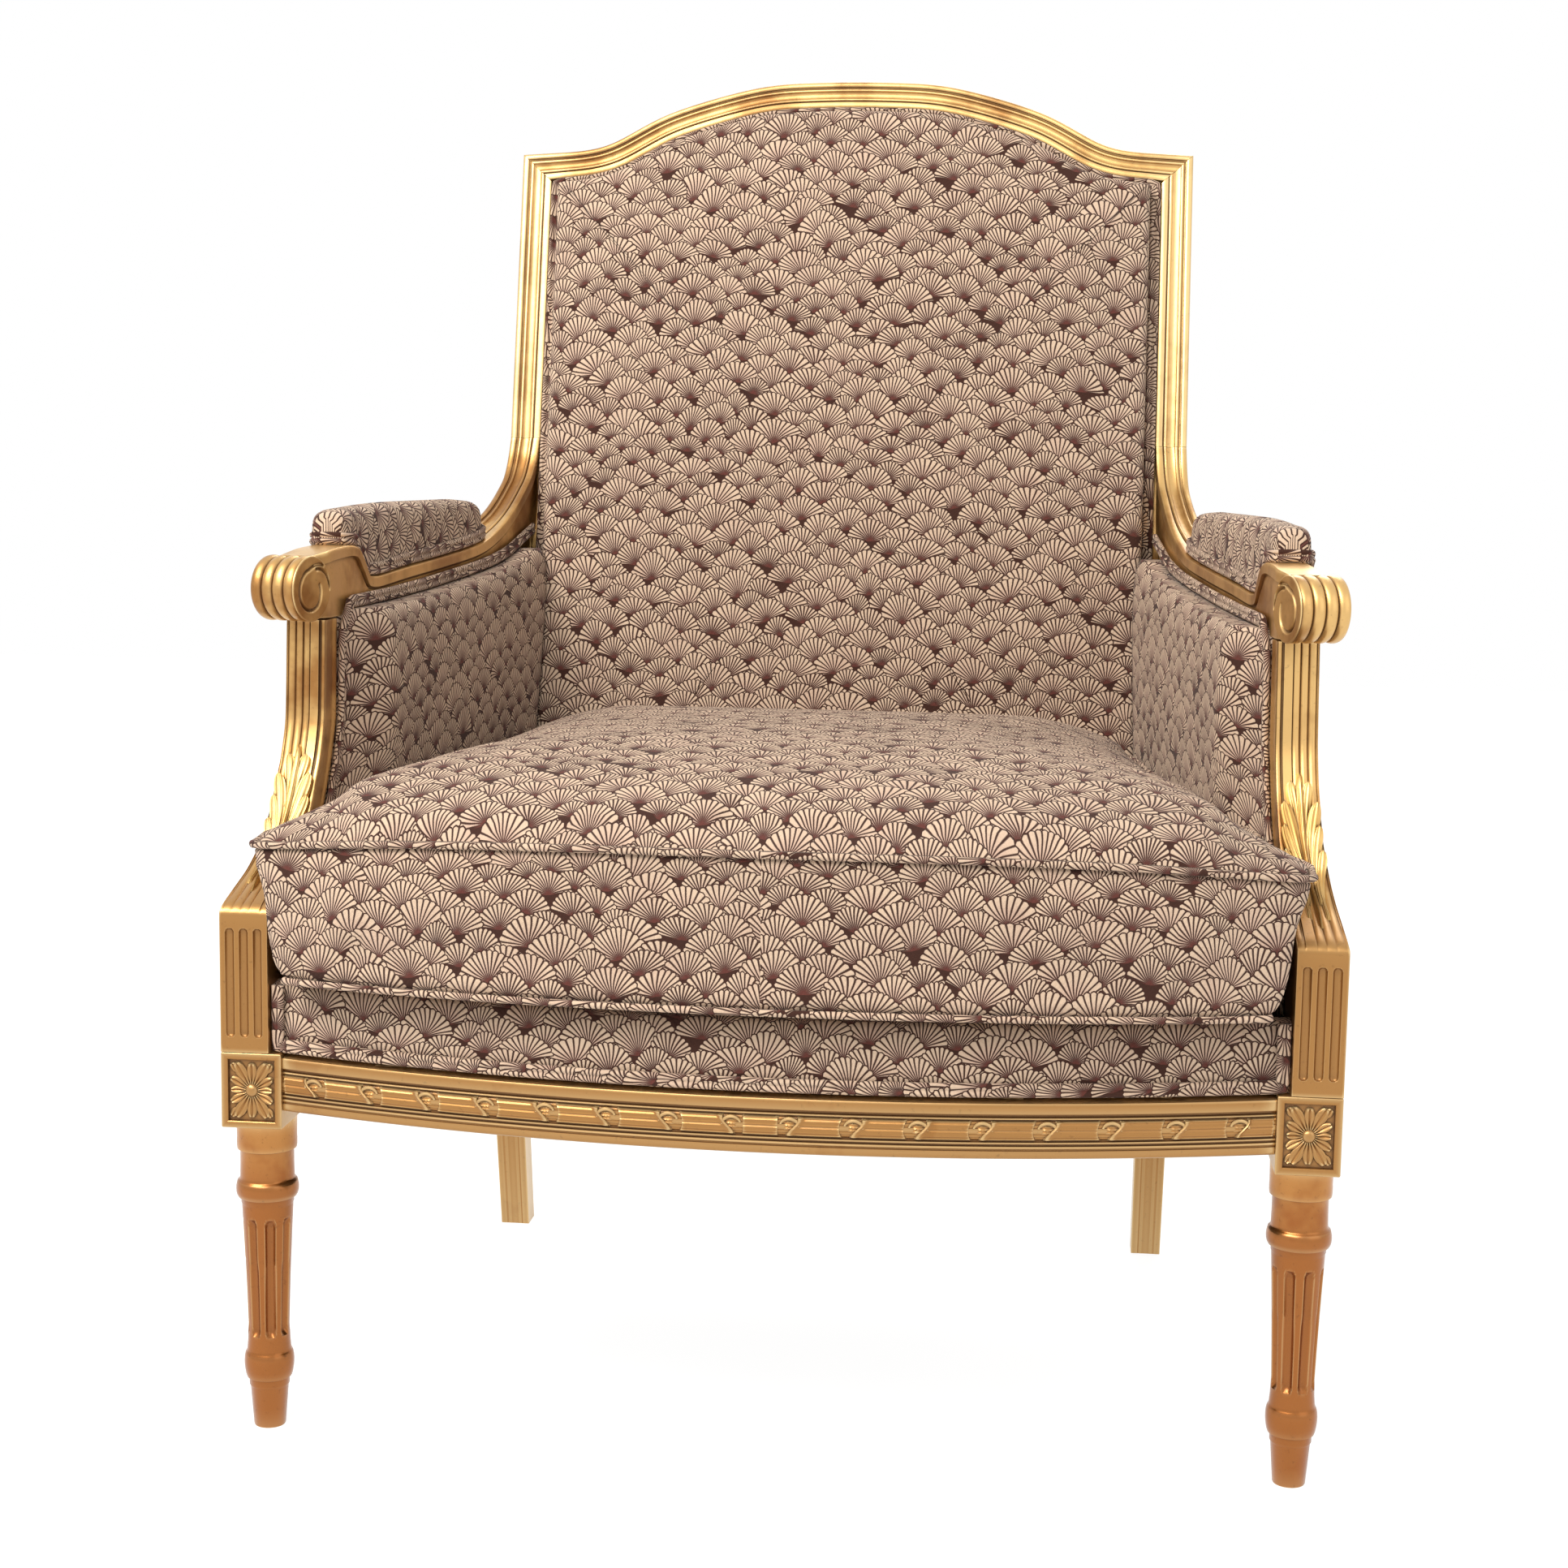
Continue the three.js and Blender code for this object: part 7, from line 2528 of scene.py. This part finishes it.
@dataclass(frozen=True)
class Studio:
    """Camera at the photograph's viewpoint, a plain pale floor and soft light."""

    place: Spot = (0.178935, -2.035825, 0.735870)
    aim: Spot = (0.0, 0.0, 0.5)
    yaw: float = 0.1113
    pitch: float = 0.12764
    roll: float = 0.013984
    lens: float = 57.765
    shift: tuple[float, float] = (0.01975, -0.01175)
    floor_share: float = 0.72
    floor_glow: float = 1.26

    def camera(self) -> None:
        """Make the camera."""
        data = bpy.data.cameras.new("photo_camera")
        data.lens = self.lens
        data.sensor_width = 36.0
        data.shift_x, data.shift_y = self.shift
        level = math.cos(self.pitch)
        forward = Vector((-math.sin(self.yaw) * level, math.cos(self.yaw) * level, -math.sin(self.pitch)))
        flat_right = Vector((math.cos(self.yaw), math.sin(self.yaw), 0))
        flat_up = flat_right.cross(forward)
        right = flat_right * math.cos(self.roll) + flat_up * math.sin(self.roll)
        up = flat_up * math.cos(self.roll) - flat_right * math.sin(self.roll)
        turn = Matrix((right, up, -forward)).transposed().to_4x4()
        camera = bpy.data.objects.new("photo_camera", data)
        camera.matrix_world = Matrix.Translation(self.place) @ turn
        bpy.context.scene.collection.objects.link(camera)
        bpy.context.scene.camera = camera

    def floor(self) -> None:
        """Lay the floor."""
        bm = bmesh.new()
        bmesh.ops.create_grid(bm, x_segments=1, y_segments=1, size=6.0)
        mesh = bpy.data.meshes.new("studio_floor")
        bm.to_mesh(mesh)
        bm.free()
        floor = bpy.data.objects.new("studio_floor", mesh)
        bpy.context.scene.collection.objects.link(floor)
        tree = ShaderTree("studio_white")
        tree.dress(Base_Color=(0.86, 0.86, 0.86), Roughness=0.95)
        glow = tree.add("ShaderNodeEmission", {}, {"Color": (1.0, 1.0, 1.0), "Strength": self.floor_glow})
        path = tree.add("ShaderNodeLightPath", {}, {}, "Is Camera Ray")
        for kind in ("Is Glossy Ray", "Is Transmission Ray"):
            path = path.math("MAXIMUM", path, tree.add("ShaderNodeLightPath", {}, {}, kind))
        share = path * self.floor_share
        both = tree.add("ShaderNodeMixShader", {}, {"Fac": share})
        tree.links.new(tree.surface.outputs[0], both.socket.node.inputs[1])
        tree.links.new(glow.socket, both.socket.node.inputs[2])
        tree.links.new(both.socket, tree.output.inputs["Surface"])
        floor.data.materials.append(tree.material)

    def lamp(self, name: str, at: Spot, size: float, power: float, tint: Colour) -> None:
        """Hang one soft square lamp.

        Args:
            name: Its name.
            at: Its place, in metres.
            size: Length of its side, in metres.
            power: Its power, in watts.
            tint: Its colour.
        """
        data = bpy.data.lights.new(name, "AREA")
        data.shape = "SQUARE"
        data.size = size
        data.energy = power
        data.color = tint
        lamp = bpy.data.objects.new(name, data)
        way = (Vector(self.aim) - Vector(at)).to_track_quat("-Z", "Y").to_matrix().to_4x4()
        lamp.matrix_world = Matrix.Translation(at) @ way
        bpy.context.scene.collection.objects.link(lamp)

    def world(self) -> None:
        """Make a white surround that lights plainly."""
        world = bpy.data.worlds.new("studio")
        world.use_nodes = True
        bpy.context.scene.world = world
        nodes, links = world.node_tree.nodes, world.node_tree.links
        nodes.clear()
        output = nodes.new("ShaderNodeOutputWorld")
        lit = nodes.new("ShaderNodeBackground")
        seen = nodes.new("ShaderNodeBackground")
        lit.inputs["Color"].default_value = (1.0, 0.97, 0.93, 1)
        lit.inputs["Strength"].default_value = 0.56
        seen.inputs["Color"].default_value = (1, 1, 1, 1)
        seen.inputs["Strength"].default_value = 1.0
        path = nodes.new("ShaderNodeLightPath")
        blend = nodes.new("ShaderNodeMixShader")
        seen_by = nodes.new("ShaderNodeMath")
        seen_by.operation = "MAXIMUM"
        either = nodes.new("ShaderNodeMath")
        either.operation = "MAXIMUM"
        links.new(path.outputs["Is Camera Ray"], either.inputs[0])
        links.new(path.outputs["Is Glossy Ray"], either.inputs[1])
        links.new(either.outputs[0], seen_by.inputs[0])
        links.new(path.outputs["Is Transmission Ray"], seen_by.inputs[1])
        links.new(seen_by.outputs[0], blend.inputs["Fac"])
        links.new(lit.outputs[0], blend.inputs[1])
        links.new(seen.outputs[0], blend.inputs[2])
        links.new(blend.outputs[0], output.inputs["Surface"])

    def build(self) -> None:
        """Make the light and the floor."""
        bpy.context.scene.view_settings.view_transform = "Standard"
        self.floor()
        self.world()
        self.lamp("key_light", (-1.7, -1.7, 2.9), 1.4, 88, (1.0, 0.96, 0.9))
        self.lamp("front_light", (-0.55, -2.5, 2.7), 1.3, 36, (1.0, 0.97, 0.92))
        self.lamp("fill_light", (2.2, -1.6, 1.5), 2.0, 8, (1.0, 0.97, 0.94))
        self.lamp("rear_light", (0.4, 2.4, 2.4), 1.8, 35, (1.0, 0.98, 0.96))


def main() -> None:
    """Build the chair, piece by piece."""
    logging.basicConfig(level=logging.INFO, format="%(name)s: %(message)s")
    studio = Studio()
    studio.camera()
    leaf = Gilding("antique_leaf").build()
    # painted highlight: a brighter copy of the gilding for the carved acanthus leaf
    highlit_leaf = Gilding("painted_highlight_leaf", (0.78, 0.52, 0.19), (0.56, 0.32, 0.09), (0.12, 0.05, 0.012), 0.30).build()
    bronze = Gilding(
        "bronzed_leaf", (0.50, 0.225, 0.06), (0.33, 0.108, 0.022), (0.07, 0.022, 0.007), 0.27,
        darkening_from=0.235, darkest_below=0.175,
    ).build()
    cloth = FanCloth().build()
    beech = PlainWood().build()
    steel = ScrewSteel().build()
    jute = PlainWeave("jute_weave", (0.42, 0.30, 0.16), (0.16, 0.10, 0.05)).build()
    black = PlainWeave("black_cambric", (0.035, 0.033, 0.03), (0.012, 0.011, 0.01), 2200.0, 0.0002).build()
    BACK.build(leaf)
    FrontLeg().build(leaf, bronze)
    SeatRails().build(leaf)
    SUPPORT.build(leaf, highlit_leaf)
    ARM.build(leaf)
    BackUpholstery().build(cloth)
    ArmUpholstery().build(cloth, jute)
    SeatUpholstery().build(cloth)
    SeatCushion().build(cloth)
    HiddenCloths().build(jute, black)
    PlainParts().build(leaf, beech, steel)
    studio.build()


def write_sizes() -> None:
    bpy.context.view_layer.update()


if __name__ == "__main__":
    main()
    write_sizes()
